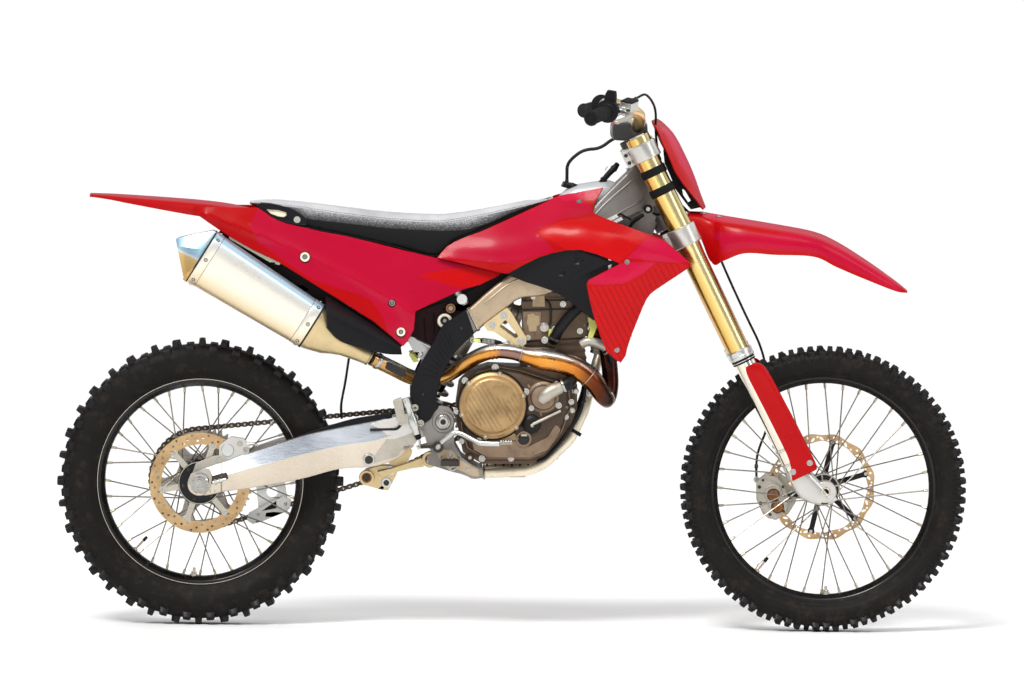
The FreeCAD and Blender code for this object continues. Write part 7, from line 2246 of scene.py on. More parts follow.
# left_crim is crimson and right_crim and fin_crim pink, each partly print and partly painted sky reflection; the pink
# band along the top by the tank is a painted highlight
mid_orange = [(535, 232.8), (560, 221), (596, 216), (640, 232), (648, 236.4), (632, 251.4), (618.8, 262.4), (596, 253.4), (580, 249.2), (566, 249.6), (556, 243.0)]
right_crim = [(648.5, 236.4), (664, 240.8), (676, 250.6), (688.5, 262.4), (665, 262.2), (634, 258.6), (626, 258.2), (633, 251.8)]
fin_crim = [(588.2, 280.6), (600, 274.8), (621.5, 262.9), (636, 262.0), (655.6, 262.4), (646, 271), (637, 277.0), (628, 281.4), (619.5, 284.2), (604, 284.6), (588.2, 284.0)]
fin_low = [(587.0, 286.0), (604, 286.4), (620, 286.0), (630, 282.8), (640, 277.6), (650, 270.2), (660, 263.6), (688, 264.6), (664, 283.4), (648, 295.6), (637, 321), (627, 347), (620.6, 361.6), (607.4, 351.8), (600.6, 335), (594.6, 317.4)]
left_crim = [(438.5, 257.5), (455.4, 242.2), (480.4, 232.4), (507.4, 220.3), (548.4, 201.2), (555.4, 197.6), (572, 194), (590, 206), (592, 212), (560, 219.6), (533.5, 231.4), (545, 240.4), (554, 250.8), (539.5, 255.6), (519, 262.6), (495, 262.4), (470, 260.4)]
tank_edge_highlight = [(556, 196.9), (562, 195.2), (580, 192.1), (592, 189.9), (601.5, 188.0), (598.5, 193.6), (580, 199.4), (566, 201.4)]


def shb(u, v):
    h = 0.0
    # crease along the blade's lower band, dying out forward
    d = dist_line((u, v), [(437, 258), (470, 260.6), (500, 263.4), (522, 261.0), (545, 252)])
    h += 2.4 * max(0.0, 1 - d / 6.0) * max(0.0, min(1, (560 - u) / 40))
    # ridge from the tank horn to the nose
    d = dist_line((u, v), [(560, 212), (600, 228), (640, 246), (686, 264)])
    h += 3.0 * max(0.0, 1 - d / 11.0) * max(0.0, min(1, (u - 556) / 30)) * max(0.0, min(1, (690 - u) / 22))
    # diagonal grooves on the fin
    if v > 262 and u > 586:
        k = (u * 0.80 + v * 0.24)
        w = (k / 5.4) % 1.0
        q = max(0.0, min(1.0, (u - 596) / 12)) * max(0.0, min(1.0, (652 - u) / 12)) * max(0.0, min(1.0, (v - 268) / 10)) * max(0.0, min(1.0, (352 - v) / 16))
        h += (0.9 if w < 0.5 else 0.0) * q
    # turned lip on the trailing edge of the fin
    d = dist_line((u, v), [(648, 297), (637, 323), (627.5, 348)])
    h -= 2.0 * max(0.0, 1 - d / 5.0)
    return h


B = Body()
sheet_panel(B, outl, dsh, wall=3.0, step=3.4, lines=[[(437.5, 258), (470, 260.6), (500, 263.4), (522, 261.0), (545, 252)][1:4], [(566, 214.6), (600, 228), (640, 246), (684, 263.2)]],
            regions=[(left_crim, 1), (mid_orange, 2), (right_crim, 3), (fin_low, 4), (fin_crim, 3), (tank_edge_highlight, 3)], bumps=shb, edge=1.1)
for u, v in ((579, 202), (627, 262.0), (617, 350)):
    for s in (-1, 1):
        B.use(5)
        y = dsh(u, v) - shb(u, v)
        p = S(u, v, y)
        p.y = s * abs(y)
        B.bolt(p, V(0, s, 0.1), 3.6, 2.4, "washer")
B.use(0)
SHROUD = B.finish("shrouds_radiator", "chassis", ["radiator_shrouds"], ["red", "crimson", "orange", "pink", "fin_film", "steel"], angle=24)

# ---------------------------------------------------------------- dark ducts
du = [(508, 275.5, 277.5, -113, -111), (520, 268.5, 282, -121, -113), (539, 259.0, 287, -133, -117), (555, 255.0, 291.5, -142, -121), (570, 252.5, 302, -149, -123), (580, 251.5, 309, -152, -125), (587, 253.0, 314.6, -154, -127), (593, 254.6, 319, -155, -129), (600, 257, 290, -157, -147), (610, 260, 282, -158, -151)]
ctrl = []
for u, vt, vb, yt, yb in du:
    for k, q in ((0, 0), (0.5, 0.4), (1, 1)):
        ctrl.append((u, vt + (vb - vt) * k, yt + (yb - yt) * q))
ddu = Depth(ctrl)
outl = [(507.4, 274.8), (522, 263.4), (539, 255.4), (552, 251.2), (566, 248.2), (580, 247.8), (597, 252.0), (614, 259.0), (619.5, 263.8), (616.5, 267.4), (604, 274.0), (591.5, 279.8), (589.2, 284.0), (592, 298), (595.4, 313), (597.4, 322.4), (590.6, 318.6), (580, 310.2), (570, 301.6), (556.4, 292.6), (541, 287), (524, 281.6)]
chev = [(573.0, 250.2), (584.5, 249.8), (600, 255.0), (614.8, 262.6), (598, 271.0), (582.0, 278.5), (577.0, 285.0), (582, 299.4), (593.5, 317.0), (584, 310.4), (573.6, 298), (567.4, 284.2), (569.4, 275.4), (580.6, 268.0), (590.4, 261.6), (582.6, 256.2)]
slot1 = [(568.6, 256.2), (581.2, 257.6), (586.8, 260.0), (578.6, 264.4), (571.6, 264.0), (575.6, 260.4)]
slot2 = [(557.4, 267.4), (563.4, 266.6), (567.2, 270.0), (563.4, 276.4), (558.4, 275.6), (561, 271.4)]


def dub(u, v):
    h = 0.0
    if inside((u, v), chev):
        h += min(3.4, 0.9 * dist_line((u, v), chev + chev[:1]))
    for s_ in (slot1, slot2):
        if inside((u, v), s_):
            h -= min(5.0, 1.8 * dist_line((u, v), s_ + s_[:1]))
    return h


B = Body()
sheet_panel(B, outl, ddu, wall=2.6, step=2.2, lines=[], regions=[(chev, 0), (slot1, 1), (slot2, 1)], bumps=dub, edge=0.9)
DUCT = B.finish("ducts_shroud", "chassis", ["shroud_ducts"], ["black_plastic", "tank_black"], angle=26)

# ---------------------------------------------------------------- fuel tank and cap
B = Body()
tst = [(486, 231, 262, 46), (510, 220, 262, 50), (540, 207, 262, 52), (556, 198, 260, 52), (566, 189, 255, 50), (576, 184.6, 252, 48.6), (584, 183, 250, 47), (606, 180, 226, 40), (614, 182, 205, 32)]
st = crom(tst, 4)
secs = []
for u, vt, vb, w in st:
    c = [( -w, vb), (-w, vt + (vb - vt) * 0.6), (-w, vt + (vb - vt) * 0.30), (-w * 0.97, vt + (vb - vt) * 0.16), (-w * 0.86, vt + 5), (-w * 0.62, vt + 1.6), (-w * 0.3, vt + 0.2), (0, vt)]
    c = c + [(-y, v) for y, v in reversed(c[:-1])]
    c = crom(c, 2)
    secs.append([S(u, v, 0) + V(0, y, 0) for y, v in c])
B.loft(secs)
CAP = S(572.5, 186.5, 0)
B.use(1)
# filler neck, knurled cap, breather spigot
B.revolve(CAP + V(-3, 0, -6), V(0.24, 0, 1), [(0, 0), (25, 0), (26.4, 1.4), (26.4, 4.4), (24.6, 5.0), (0, 5.0)], 48)
n = 72
secs = []
dcap = unit(V(0.24, 0, 1))
a, b = perp(dcap)
for h, r in ((4.6, 23.4), (5.4, 25.2), (12.0, 24.6), (13.8, 23.0), (14.4, 19.0), (13.6, 17.0), (13.4, 0.5)):
    secs.append([CAP + V(-3, 0, -6) + dcap * h + a * ((r - (0.9 if k % 4 < 2 and 5 < h < 13 else 0)) * math.cos(2 * math.pi * k / n)) + b * ((r - (0.9 if k % 4 < 2 and 5 < h < 13 else 0)) * math.sin(2 * math.pi * k / n)) for k in range(n)])
B.loft(secs)
B.box(CAP + V(-3, 0, -6) + dcap * 14.0, YY, unit(V(1, 0, -0.24)), dcap, 15, 3.4, 1.4, 0.9)
B.finish("tank_and_cap", "chassis", ["fuel_tank"], ["tank_silver", "tank_black"], bevel=None, angle=30)

# breather hose with its clip
STEM_TOP = A(UPPER_T + 40)
B = Body()
hp = nurbs_line([CAP + V(-14, 0, 7), CAP + V(-14, 0, 30), CAP + V(-14, 0, 54), S(575.5, 155.0), S(585, 149.4), S(600, 148.6), STEM_TOP + V(-34, 0, 3), STEM_TOP + V(-9, 0, 8), STEM_TOP + UP * 7.0, STEM_TOP - UP * 4, STEM_TOP - UP * 14])
B.tube(hp, 4.0, n=18, smooth=False)
B.use(1)
for i in (1, len(hp) - 22):
    d = unit(hp[i + 1] - hp[i])
    B.cyl(hp[i], hp[i] + d * 5, 4.7, n=20)
B.finish("hose_tank_breather", "chassis", ["tank_vent_hose"], ["hose_rubber", "steel_dark"], angle=40)


# ================================================================ FRAME GROUP
# warm tan finish on the rear run of the spars, their pressed channel and the pivot plate's lower arm: painted warm
# reflection on the grey casting
plain("frame_warm_reflection", lin(186, 166, 140), rough=0.42, metal=0.75, var=0.1, vscale=14, fine=420, bump=0.4, dist=0.0006, grime=(lin(128, 104, 78), 0.4))
plain("frame_grey", lin(142, 138, 134), rough=0.45, metal=0.75, var=0.12, vscale=14, fine=420, bump=0.45, dist=0.0006, grime=(lin(98, 84, 72), 0.45))
plain("engine_brown", lin(102, 84, 68), rough=0.44, metal=0.7, var=0.16, vscale=16, fine=380, bump=0.5, dist=0.0007, grime=(lin(62, 44, 34), 0.6))
# near-black for joints, lenses and leads, and painted shade inside the silencer's outlet and the pivot bolt's sockets
plain("dark_void", lin(22, 18, 17), rough=0.6, var=0.2, vscale=20, fine=400, bump=0.3)
plain("yellow_part", lin(210, 212, 104), rough=0.45, var=0.08, vscale=14, fine=500, bump=0.1)


def rsec(a, b, y0, y1, r=6.0, seg=3):
    """Rounded box section from a to b on the side sheet (mm vectors), y0 outer to y1 inner."""
    e = V(b.x - a.x, 0, b.z - a.z)
    L = e.length
    e.normalize()
    return [V(a.x, 0, a.z) + e * s + V(0, y, 0) for s, y in round_poly([(0, y0), (L, y0), (L, y1), (0, y1)], r, seg)]


def bead(B, pts, r=2.6, pitch=4.2, closed=False):
    """Weld run: a rope of small overlapping scallops along a line."""
    P = pts + [pts[0]] if closed else pts
    dense = []
    for i in range(len(P) - 1):
        n = max(1, int((P[i + 1] - P[i]).length / (pitch / 4)))
        for k in range(n):
            dense.append(P[i] + (P[i + 1] - P[i]) * (k / n))
    dense.append(P[-1])
    rs, s = [], 0.0
    for i, p in enumerate(dense):
        if i:
            s += (p - dense[i - 1]).length
        rs.append(r * (0.84 + 0.22 * abs(math.sin(math.pi * s / pitch))))
    B.tube(dense, rs, n=9, smooth=False)


spar_st = [((641, 158), (656, 207), -6, -34), ((622, 177), (636, 214), -28, -52), ((600, 199), (612, 227), -48, -74), ((570, 232), (584, 259), -62, -90), ((535, 262), (552, 292), -68, -98), ((508, 276), (521, 298), -72, -102), ((487, 292), (505, 309), -74, -104), ((468, 309), (478, 330), -76, -106), ((447, 325), (461, 346), -78, -108), ((430, 350), (450, 359), -78, -109), ((418, 373), (441, 378), -79, -109), ((411, 394), (436, 398), -80, -110), ((415, 414), (441, 412), -80, -110)]
flat = [(a[0], a[1], b[0], b[1], yi, yo) for a, b, yi, yo in spar_st]
sm = crom(flat, 5)
PIVOT = S(443, 419.2, 0)

B = Body()
secs = []
for i, (u0, v0, u1, v1, yi, yo) in enumerate(sm):
    ym = (yi + yo) / 2
    secs.append(rsec(S(u0, v0, ym), S(u1, v1, ym), yo, yi, 8.0))
cut = 7 * 5
B.use(0)
B.loft(secs[:16])
# the middle run of the spar in the warm tan finish: painted warm reflection
B.use(1)
B.loft(secs[15:cut + 1])
B.use(0)
B.loft(secs[cut:])
# weld where the forged upright meets the spar
B.use(2)
bead(B, secs[cut][:9] + secs[cut][9:], 3.2, 4.6, closed=True)
bead(B, [p + V(3, 0, 2) for p in secs[cut]], 2.6, 4.6, closed=True)
bead(B, secs[15], 2.8, 4.6, closed=True)
# pressed channel along the outer face of the spar
B.use(1)
rib = [sm[k] for k in range(17, cut - 2)]
top = [V(S(q[0] * 0.72 + q[2] * 0.28, q[1] * 0.72 + q[3] * 0.28, q[5]).x, q[5] - 0.2, S(q[0] * 0.72 + q[2] * 0.28, q[1] * 0.72 + q[3] * 0.28, q[5]).z) for q in rib]
B.tube(top, [0.6] + [2.6] * (len(top) - 2) + [0.6], n=10, smooth=False)
# ribs on the head casting
B.use(0)
for k0, k1, w in ((0.24, 0.24, 2.6), (0.76, 0.76, 2.6)):
    rib = [sm[k] for k in range(3, 16)]
    pts = []
    for q in rib:
        p = S(q[0] * (1 - k0) + q[2] * k0, q[1] * (1 - k0) + q[3] * k0, q[5])
        pts.append(V(p.x, q[5] - 0.3, p.z))
    B.tube(pts, [0.8] + [w] * (len(pts) - 2) + [0.8], n=10, smooth=False)
# forged pivot plate with its boss, shoulder and lower arm
B.use(0)
pp = round_poly([(421, 405), (434, 408), (440, 405.4), (449, 407), (454, 413.5), (454.2, 444), (461.5, 457), (470, 463.5), (481, 469.4), (482.6, 478), (474, 479), (458, 472.6), (443, 467), (434.4, 457), (427, 444), (422.6, 428)], 3.2)
B.prism(pp, -110.6, -80)
B.use(0)
B.prism(round_poly([(424.5, 426), (433, 418), (439, 411), (447, 411), (452, 417), (452.6, 443.5), (448, 447.6), (431.6, 446.4)], 2.4), -112.3, -105)
B.use(1)
B.prism(round_poly([(437, 450), (452, 450), (459, 459.6), (478, 469.8), (479.6, 476.6), (474, 476.6), (445, 464.4), (438.4, 458)], 1.6), -112.2, -104)
B.use(0)
B.ring(PIVOT + V(0, -104, 0), PIVOT + V(0, -114.0, 0), 27.5, 17.3, n=56, ch=2.2)
B.use(2)
bead(B, [S(481.2, 468.2, -92), S(482.8, 478.6, -92)], 3.4)
B.use(3)
for u, v in ((415.2, 407.8), (420.8, 423.3)):
    p = S(u, v, -112)
    B.bolt(V(p.x, -110, p.z), V(0, -1, 0), 5.0, 4.4, "washer")
for u, v in ((468, 469.6), (450.6, 455)):
    p = S(u, v, -112)
    B.bolt(V(p.x, -112, p.z), V(0, -1, 0), 4.4, 3.4, "hex")
# head gusset
B.use(0)
B.prism(round_poly([(620, 196), (657, 206), (654, 226), (640, 240), (604, 226)], 5), -26, -8)
B.mirror_y()
# head tube, its machined seats and the ribs that wrap it
B.use(0)
HEAD_R, STEM_BORE = 33.0, 15.2
ht0, ht1 = LOWER_T + 28, UPPER_T - 21
B.revolve(A(ht0), UP, [(STEM_BORE, 0), (HEAD_R - 1.2, 0), (HEAD_R, 1.2), (HEAD_R, 15), (HEAD_R - 3.4, 21), (HEAD_R - 3.4, ht1 - ht0 - 21), (HEAD_R, ht1 - ht0 - 15), (HEAD_R, ht1 - ht0 - 1.2), (HEAD_R - 1.2, ht1 - ht0), (STEM_BORE, ht1 - ht0)], 56, closed=True)
B.use(4)
B.ring(A(ht0 - 0.2), A(ht0 + 3.4), HEAD_R + 1.0, 16, n=56)
B.ring(A(ht1 - 3.4), A(ht1 + 0.2), HEAD_R + 1.0, 16, n=56)
# down tube, boxed
B.use(0)
dt = [((640, 214), (657, 222), 26), ((622, 262), (640, 267), 22), ((603, 318), (620, 323), 21), ((590, 352), (606, 358), 24)]
secs = []
for a0, a1, b0, b1, w in crom([(a[0], a[1], b[0], b[1], w) for a, b, w in dt], 5):
    secs.append(rsec(S(a0, a1), S(b0, b1), -w, w, 7.0))
B.loft(secs)
B.use(2)
bead(B, secs[-2], 2.8, 4.6, closed=True)
# cross members and lugs
B.use(0)
c = S(470, 318, 0)
B.revolve(c + V(0, -80, 0), YY, [(0, 0), (16, 0), (16, 10), (14, 18), (14, 142), (16, 150), (16, 160), (0, 160)], 36)
c = S(472, 472, 0)
B.revolve(c + V(0, -84, 0), YY, [(0, 0), (11, 0), (11, 12), (9.6, 18), (9.6, 150), (11, 156), (11, 168), (0, 168)], 32)
lug = round_poly([(474, 466.5), (474, 477), (452, 472), (428, 464.5), (427, 456), (434, 453)], 2)
B.prism(lug, -57.5, -50.5, -54)
B.prism(lug, 50.5, 57.5, 54)
FRAME = B.finish("frame_spars", "chassis", ["frame"], ["frame_grey", "frame_warm_reflection", "weld", "steel", "machined"], bevel=1.0, seg=2, angle=38)

# pale engine hanger brackets
B = Body()
hb = round_poly([(483.4, 324.6), (506.6, 307.4), (511, 312), (526.4, 337.6), (526.2, 343.6), (521.6, 347), (515.6, 346), (494, 331.6), (487.4, 330.6)], 1.8)
ho = round_poly([(505.4, 319.6), (499.2, 326.4), (515.8, 338.4), (518.4, 336.0)], 1.2)
B.use(0)
B.prism(hb, -109.5, -104.6, -107, [ho])
B.use(1)
for u, v in ((503.7, 315.4), (492.4, 324.7), (521.0, 341.4)):
    p = S(u, v, -108)
    B.bolt(V(p.x, -109.4, p.z), V(0, -1, 0), 5.2, 4.6, "washer")
p = S(521, 341.4, -108)
B.cyl(V(p.x, -105, p.z), V(p.x, -61, p.z), 7.0)
for u, v in ((503.7, 315.4), (492.4, 324.7)):
    p = S(u, v, -104)
    B.cyl(V(p.x, -105, p.z), V(p.x, -96, p.z), 6.0)
B.mirror_y()
B.finish("hangers_engine", "chassis", [], ["bracket_gold", "steel"], bevel=0.7, angle=34)

# black guard plates over the uprights
gst = [(466.0, 309.6, 474.0, 333.2), (452.4, 319.0, 464.0, 343.0), (442.0, 327.0, 454.4, 353.0), (430.6, 347.8, 446.4, 365.6), (418.0, 369.4, 441.0, 376.8), (410.4, 391.6, 436.0, 397.6), (413.2, 405.6, 438.4, 406.4), (418.6, 416.4, 434.4, 412.4), (423.4, 424.4, 430.4, 419.4)]
gl = crom(gst, 4)
B = Body()
G = []
for q in gl:
    row = []
    for k in range(9):
        t = k / 8
        y = -113.0 - 1.4 * math.sin(math.pi * t)
        p = S(q[0] + (q[2] - q[0]) * t, q[1] + (q[3] - q[1]) * t, -113)
        row.append(V(p.x, y, p.z))
    # edges roll round the casting
    d0 = unit(row[0] - row[-1])
    row = [V(row[0].x, -107.5, row[0].z) + d0 * 1.2] + [V(row[0].x, -111.6, row[0].z) + d0 * 0.9] + row + [V(row[-1].x, -111.6, row[-1].z) - d0 * 0.9] + [V(row[-1].x, -107.5, row[-1].z) - d0 * 1.2]
    G.append(row)
B.use(0)
grid_shell(B, G, 2.2, lambda p: V(p.x, -90, p.z))
# moulded grip ridges and two fixing clips
for k in range(7, 17):
    q = gl[k]
    a, b = S(q[0] + (q[2] - q[0]) * 0.2, q[1] + (q[3] - q[1]) * 0.2), S(q[0] + (q[2] - q[0]) * 0.8, q[1] + (q[3] - q[1]) * 0.8)
    B.tube([V(a.x, -114.1, a.z), V((a.x + b.x) / 2, -114.8, (a.z + b.z) / 2), V(b.x, -114.1, b.z)], 1.0, n=8, per=3)
B.use(1)
for k in (3, 20):
    q = gl[k]
    p = S((q[0] + q[2]) / 2, (q[1] + q[3]) / 2, -114)
    B.bolt(V(p.x, -113.8, p.z), V(0, -1, 0), 3.6, 2.4, "dome")
B.mirror_y()
B.finish("guards_frame", "chassis", ["frame_guards"], ["black_plastic", "steel_dark"], bevel=0.6, angle=36)

# cradle rails with end lugs, belly plate and the stub
B = Body()
B.use(0)
cp = [S(483.5, 474, -82), S(528, 471.5, -80), S(544, 465, -78), S(571, 439.5, -70), S(584.5, 411, -56), S(591, 386, -42), S(599, 356, -18)]
path = route(cp, 90, 8)
B.tube(path, 11.5, n=22, smooth=False)
B.use(2)
bead(B, [path[0] + V(2, 12 * math.cos(t), 12 * math.sin(t)) for t in [2 * math.pi * k / 16 for k in range(17)]], 2.2)
B.use(1)
for p, h in ((S(589.6, 392.6, -56), 12),):
    B.cyl(p + V(0, -4, 0), p + V(0, 10, 0), 10, n=28)
    B.bolt(p + V(0, -4, 0), V(0, -1, 0), 5.0, 4.4, "hex")
B.use(3)
p, q = S(569.5, 428.6, -74), S(581, 435.4, -78)
B.tube([p, p + (q - p) * 0.9, q], [4.6, 4.6, 3.8], n=16, per=3)
B.use(4)
hose = [S(585.2, 384, -50), S(582.4, 398, -62), S(576.6, 413, -70), S(563, 433, -78), S(548, 450, -80), S(538, 458.5, -76)]
B.tube(hose, 4.0, n=14, per=6)
B.mirror_y()
B.use(0)
pz = S(512, 472.2, -80).z - 11.5
c = V(S(512, 472).x, 0, pz + 0.6)
B.box(c, V(1, 0, 0), YY, V(0, 0, 1), 32, 74, 2.4, 0.96)
for y in (-55, 0, 55):
    B.bolt(V(c.x, y, pz - 1.8), V(0, 0, -1), 4.0, 1.6, "dome")
B.finish("rails_cradle", "chassis", ["cradle"], ["cradle_paint", "steel", "weld", "black_plastic", "hose_rubber"], bevel=0.7, angle=36)

# subframe rails with collars, tabs and bolts
B = Body()
B.use(0)
for pts in ([(466, 304, -68), (440, 268, -66), (330, 243, -64), (250, 217, -58)], [(436, 352, -66), (400, 334, -66), (300, 262, -62), (258, 219.5, -58)]):
    pr = route([S(*q) for q in pts], 60, 7)
    B.tube(pr, 9.0, n=22, smooth=False)
B.use(1)
for u, v, y in ((436, 352, -66), (462, 299, -68)):
    p = S(u, v, y)
    B.cyl(p + V(0, -11, 0), p + V(0, 11, 0), 13, n=32)
B.use(0)
# tapered end lug on the lower rail, as seen behind the guard
B.prism(round_poly([(406.6, 338.4), (413, 336.4), (430.4, 351.4), (429, 358.6), (420.6, 359.4), (414, 352)], 1.6, 3), -80, -56)
B.use(2)
p = S(420.6, 354.0, -80)
B.bolt(V(p.x, -80, p.z), V(0, -1, 0), 5.0, 4.6, "hex")
B.use(3)
B.prism(round_poly([(408.4, 353.6), (412.6, 353.2), (419.4, 361.2), (413.4, 362.4)], 1.0, 2), -76, -64)
B.mirror_y()
B.use(0)
for u, v, h in ((258, 219, 62), (330, 243.4, 66)):
    p = S(u, v, -60)
    B.revolve(V(p.x, -h, p.z), YY, [(0, 0), (7, 0), (7, 8), (6.2, 12), (6.2, 2 * h - 12), (7, 2 * h - 8), (7, 2 * h), (0, 2 * h)], 24)
B.use(4)
for s in (-1, 1):
    for f in (0.25, 0.5, 0.75):
        p = S(258 + 72 * f, 219 + 24.4 * f, 58)
        B.box(V(p.x, s * 58, p.z), V(1, 0, -0.34).normalized(), YY, V(0.34, 0, 1).normalized(), 9, 1.6, 9, 0.9)
B.finish("rails_subframe", "chassis", ["rear_subframe"], ["subframe_alloy", "machined", "steel", "yellow_part", "steel_dark"], bevel=0.7, angle=36)

# ---------------------------------------------------------------- swingarm
arm = [(200, 470.5, 494.5, -86, -113), (207, 467.5, 495.5, -85, -115), (226, 461.5, 491.5, -85, -117), (248, 453.5, 488.5, -84, -118), (300, 436.5, 479.5, -80, -116), (340, 427.5, 469.0, -77, -113), (374, 421.0, 466.5, -75, -108), (398, 413.5, 458, -73, -102), (418, 408.5, 440, -71, -79.0), (443, 408, 430.5, -71, -79.0)]
B = Body()
B.use(0)
secs = []
for q in crom(arm, 5):
    u, vt, vb, yi, yo = q
    ym = (yi + yo) / 2
    a, b = S(u, vt, ym), S(u, vb, ym)
    h = a.z - b.z
    th = yi - yo
    k = min(1.0, th / 28.0)
    prof = [(0, yi), (0, yo + 13 * k), (0.02, yo + 10.5 * k), (0.40, yo + 1.0 * k), (0.435, yo), (0.46, yo + 0.6 * k), (0.94, yo + 3.4 * k), (0.99, yo + 6 * k), (1, yo + 9 * k), (1, yi)]
    secs.append([V(a.x, y, a.z - h * f) for f, y in prof])
B.loft(secs)
# rounded axle end with side boss
B.revolve(AXLE_R + V(0, -86.2, 0), V(0, -1, 0), [(14.6, 0), (27.0, 0), (28.8, 2), (28.8, 24), (27.4, 28), (24.0, 29.4), (22.5, 29.4), (22.0, 28.0), (14.6, 28.0)], 52, closed=True)
# forged root that flows into the pivot
B.use(1)
B.prism(round_poly([(372, 438), (378, 437.6), (392, 440), (404, 436), (417, 431), (421, 436), (414, 445), (404, 446), (398, 456.5), (382, 461), (370, 465), (366, 456)], 2.2), -105.5, -96)
B.use(0)
B.prism(round_poly([(368, 424.6), (384, 420.4), (398, 416), (413, 412.6), (418, 416), (418, 432), (399, 441.6), (389, 437.8), (380, 428.4)], 2.0), -104.6, -92)
# linkage pin through the arm
p = S(368.8, 460.0, -106)
B.use(2)
B.ring(V(p.x, -106.5, p.z), V(p.x, -111.2, p.z), 14.5, 9.5, n=36, ch=1.2)
B.use(3)
B.bolt(V(p.x, -106.8, p.z), V(0, -1, 0), 9.0, 3.6, "socket")
# welds near the axle block and the root
B.use(4)
for st in (secs[9], secs[40]):
    ring_ = [st[i] + V(0, -0.2, 0) for i in (1, 2, 3, 4, 5, 6, 7)]
    bead(B, ring_, 1.8, 4.0)
# chain adjuster: slot, block, screw and lock nut
B.use(5)
B.prism(round_poly([(207, 477.4), (226.6, 472.2), (228.4, 479), (208.6, 485)], 1.2), -118.4, -113)
B.use(2)
ax_ = unit(S(226, 476.2) - S(206, 481.6))
a0 = S(213.5, 479.6)
B.cyl(V(a0.x, -117.4, a0.z), V(a0.x, -117.4, a0.z) + ax_ * 34, 3.6, n=18)
for o, l, r in ((4, 7, 6.6), (15, 6, 6.0)):
    q = V(a0.x, -117.2, a0.z) + ax_ * o
    n6 = []
    aa, bb = perp(ax_)
    for h in (0, l):
        n6.append([q + ax_ * h + aa * (r * math.cos(math.pi / 3 * k)) + bb * (r * math.sin(math.pi / 3 * k)) for k in range(6)])
    B.loft(n6)
B.use(1)
B.prism(round_poly([(190.5, 473.6), (209, 467.8), (212, 474), (211, 487.6), (205, 494.6), (192, 491.4), (188.4, 482.4)], 4), -119.0, -113, -116, [circle_uv(200.5, 481, 8.4, 28)])
for k in range(5):
    u = 196 + k * 4.6
    p, q = S(u, 494.4 - 0.3 * k, -117), S(u + 0.4, 491.6 - 0.3 * k, -117)
    B.tube([V(p.x, -119.0, p.z), V(q.x, -119.0, q.z)], 0.7, n=6, smooth=False)
B.use(0)
B.mirror_y()
# pivot tube and cross member
B.use(1)
B.revolve(PIVOT + V(0, -79, 0), YY, [(12.2, 0), (19, 0), (20, 1.4), (20, 14), (18.4, 17), (18.4, 141), (20, 144), (20, 156.6), (19, 158), (12.2, 158)], 44, closed=True)
B.prism(round_poly([(384, 426), (400, 422.6), (414, 421), (414, 446), (398, 449), (384, 449)], 4), -76, 56, -10)
B.finish("swingarm_body", "chassis", ["swingarm"], ["swing_alloy", "cast_alloy", "machined", "steel_dark", "weld", "steel_dark"], bevel=1.0, seg=2, angle=32)

# black slider and chain guard on the left arm, fin on the right
B = Body()
B.use(0)
sl = [(350, 421.6, 426.0), (372, 417.2, 421.6), (394, 412.6, 418.6), (412, 409.4, 415.6), (424, 406.6, 412.6)]
secs = []
for u, v0, v1 in crom(sl, 4):
    a, b = S(u, v0, 70), S(u, v1, 70)
    secs.append(rsec(a, b, 84.5, 60.5, 1.8))
B.loft(secs)
B.use(1)
for u, v in ((360, 424), (390, 418.5)):
    p = S(u, v, 84)
    B.bolt(V(p.x, 83.6, p.z), V(0, 1, 0), 3.6, 2.4, "dome")
# strip that shields the arm's top edge on the right
B.use(0)
secs = []
for u, v0, v1 in crom([(286, 440.6, 443.6), (320, 428.6, 434), (350, 419.6, 428.6), (374, 415.2, 424.4), (392, 412.6, 420)], 4):
    a, b = S(u, v0, -92), S(u, v1, -92)
    secs.append(rsec(a, b, -96, -86, 1.4))
B.loft(secs)
B.finish("slider_chain", "chassis", [], ["black_plastic", "steel_dark"], bevel=0.5, angle=36)

# pivot bolt
B = Body()
B.use(0)
for s in (-1, 1):
    B.revolve(PIVOT + V(0, s * 112.2, 0), V(0, s, 0), [(0, 1), (6.0, 1.0), (6.0, 8.4), (6.8, 9.4), (11.5, 9.6), (12.4, 8.8), (12.8, 4.4), (15.6, 4.2), (16.9, 3.2), (17.0, 0.0), (0, 0)], 40)
# dark hexagon in each socket of the pivot bolt: painted shade
B.use(1)
for s in (-1, 1):
    n6 = []
    for h, r in ((5.6, 6.0), (9.3, 6.2)):
        n6.append([PIVOT + V(r * math.cos(math.pi / 3 * k), s * (112.2 + h), r * math.sin(math.pi / 3 * k)) for k in range(6)])
    B.loft(n6)
B.use(0)
B.cyl(PIVOT + V(0, -112, 0), PIVOT + V(0, 112, 0), 11.8, n=32)
B.finish("bolt_swingarm", "chassis", ["swingarm_pivot_bolt"], ["steel", "dark_void"], bevel=0.5, angle=36)

# ---------------------------------------------------------------- shock, reservoir and linkage
B = Body()
SH0, SH1 = S(466, 338, 0), S(396, 462, 0)
d = SH1 - SH0
dn = unit(d)
L = d.length
B.use(2)
B.cyl(SH0 + V(0, -14, 0), SH0 + V(0, 14, 0), 19, n=36)
B.use(2)
B.revolve(SH0 - dn * 3, d, [(0, 0), (18, 0), (20.5, 3), (20.5, L * 0.13), (17, L * 0.15), (17, L * 0.17), (0, L * 0.17)], 44)
B.use(1)
B.revolve(SH0 + dn * L * 0.13, d, [(17.4, 0), (28, 0), (30, 1.6), (30, 8), (28, 9.6), (17.4, 9.6)], 44, closed=True)
B.revolve(SH0 + dn * L * 0.705, d, [(9, 0), (26, 0), (30, 2), (30, 6), (27, 9), (14, 15), (9, 15)], 44, closed=True)
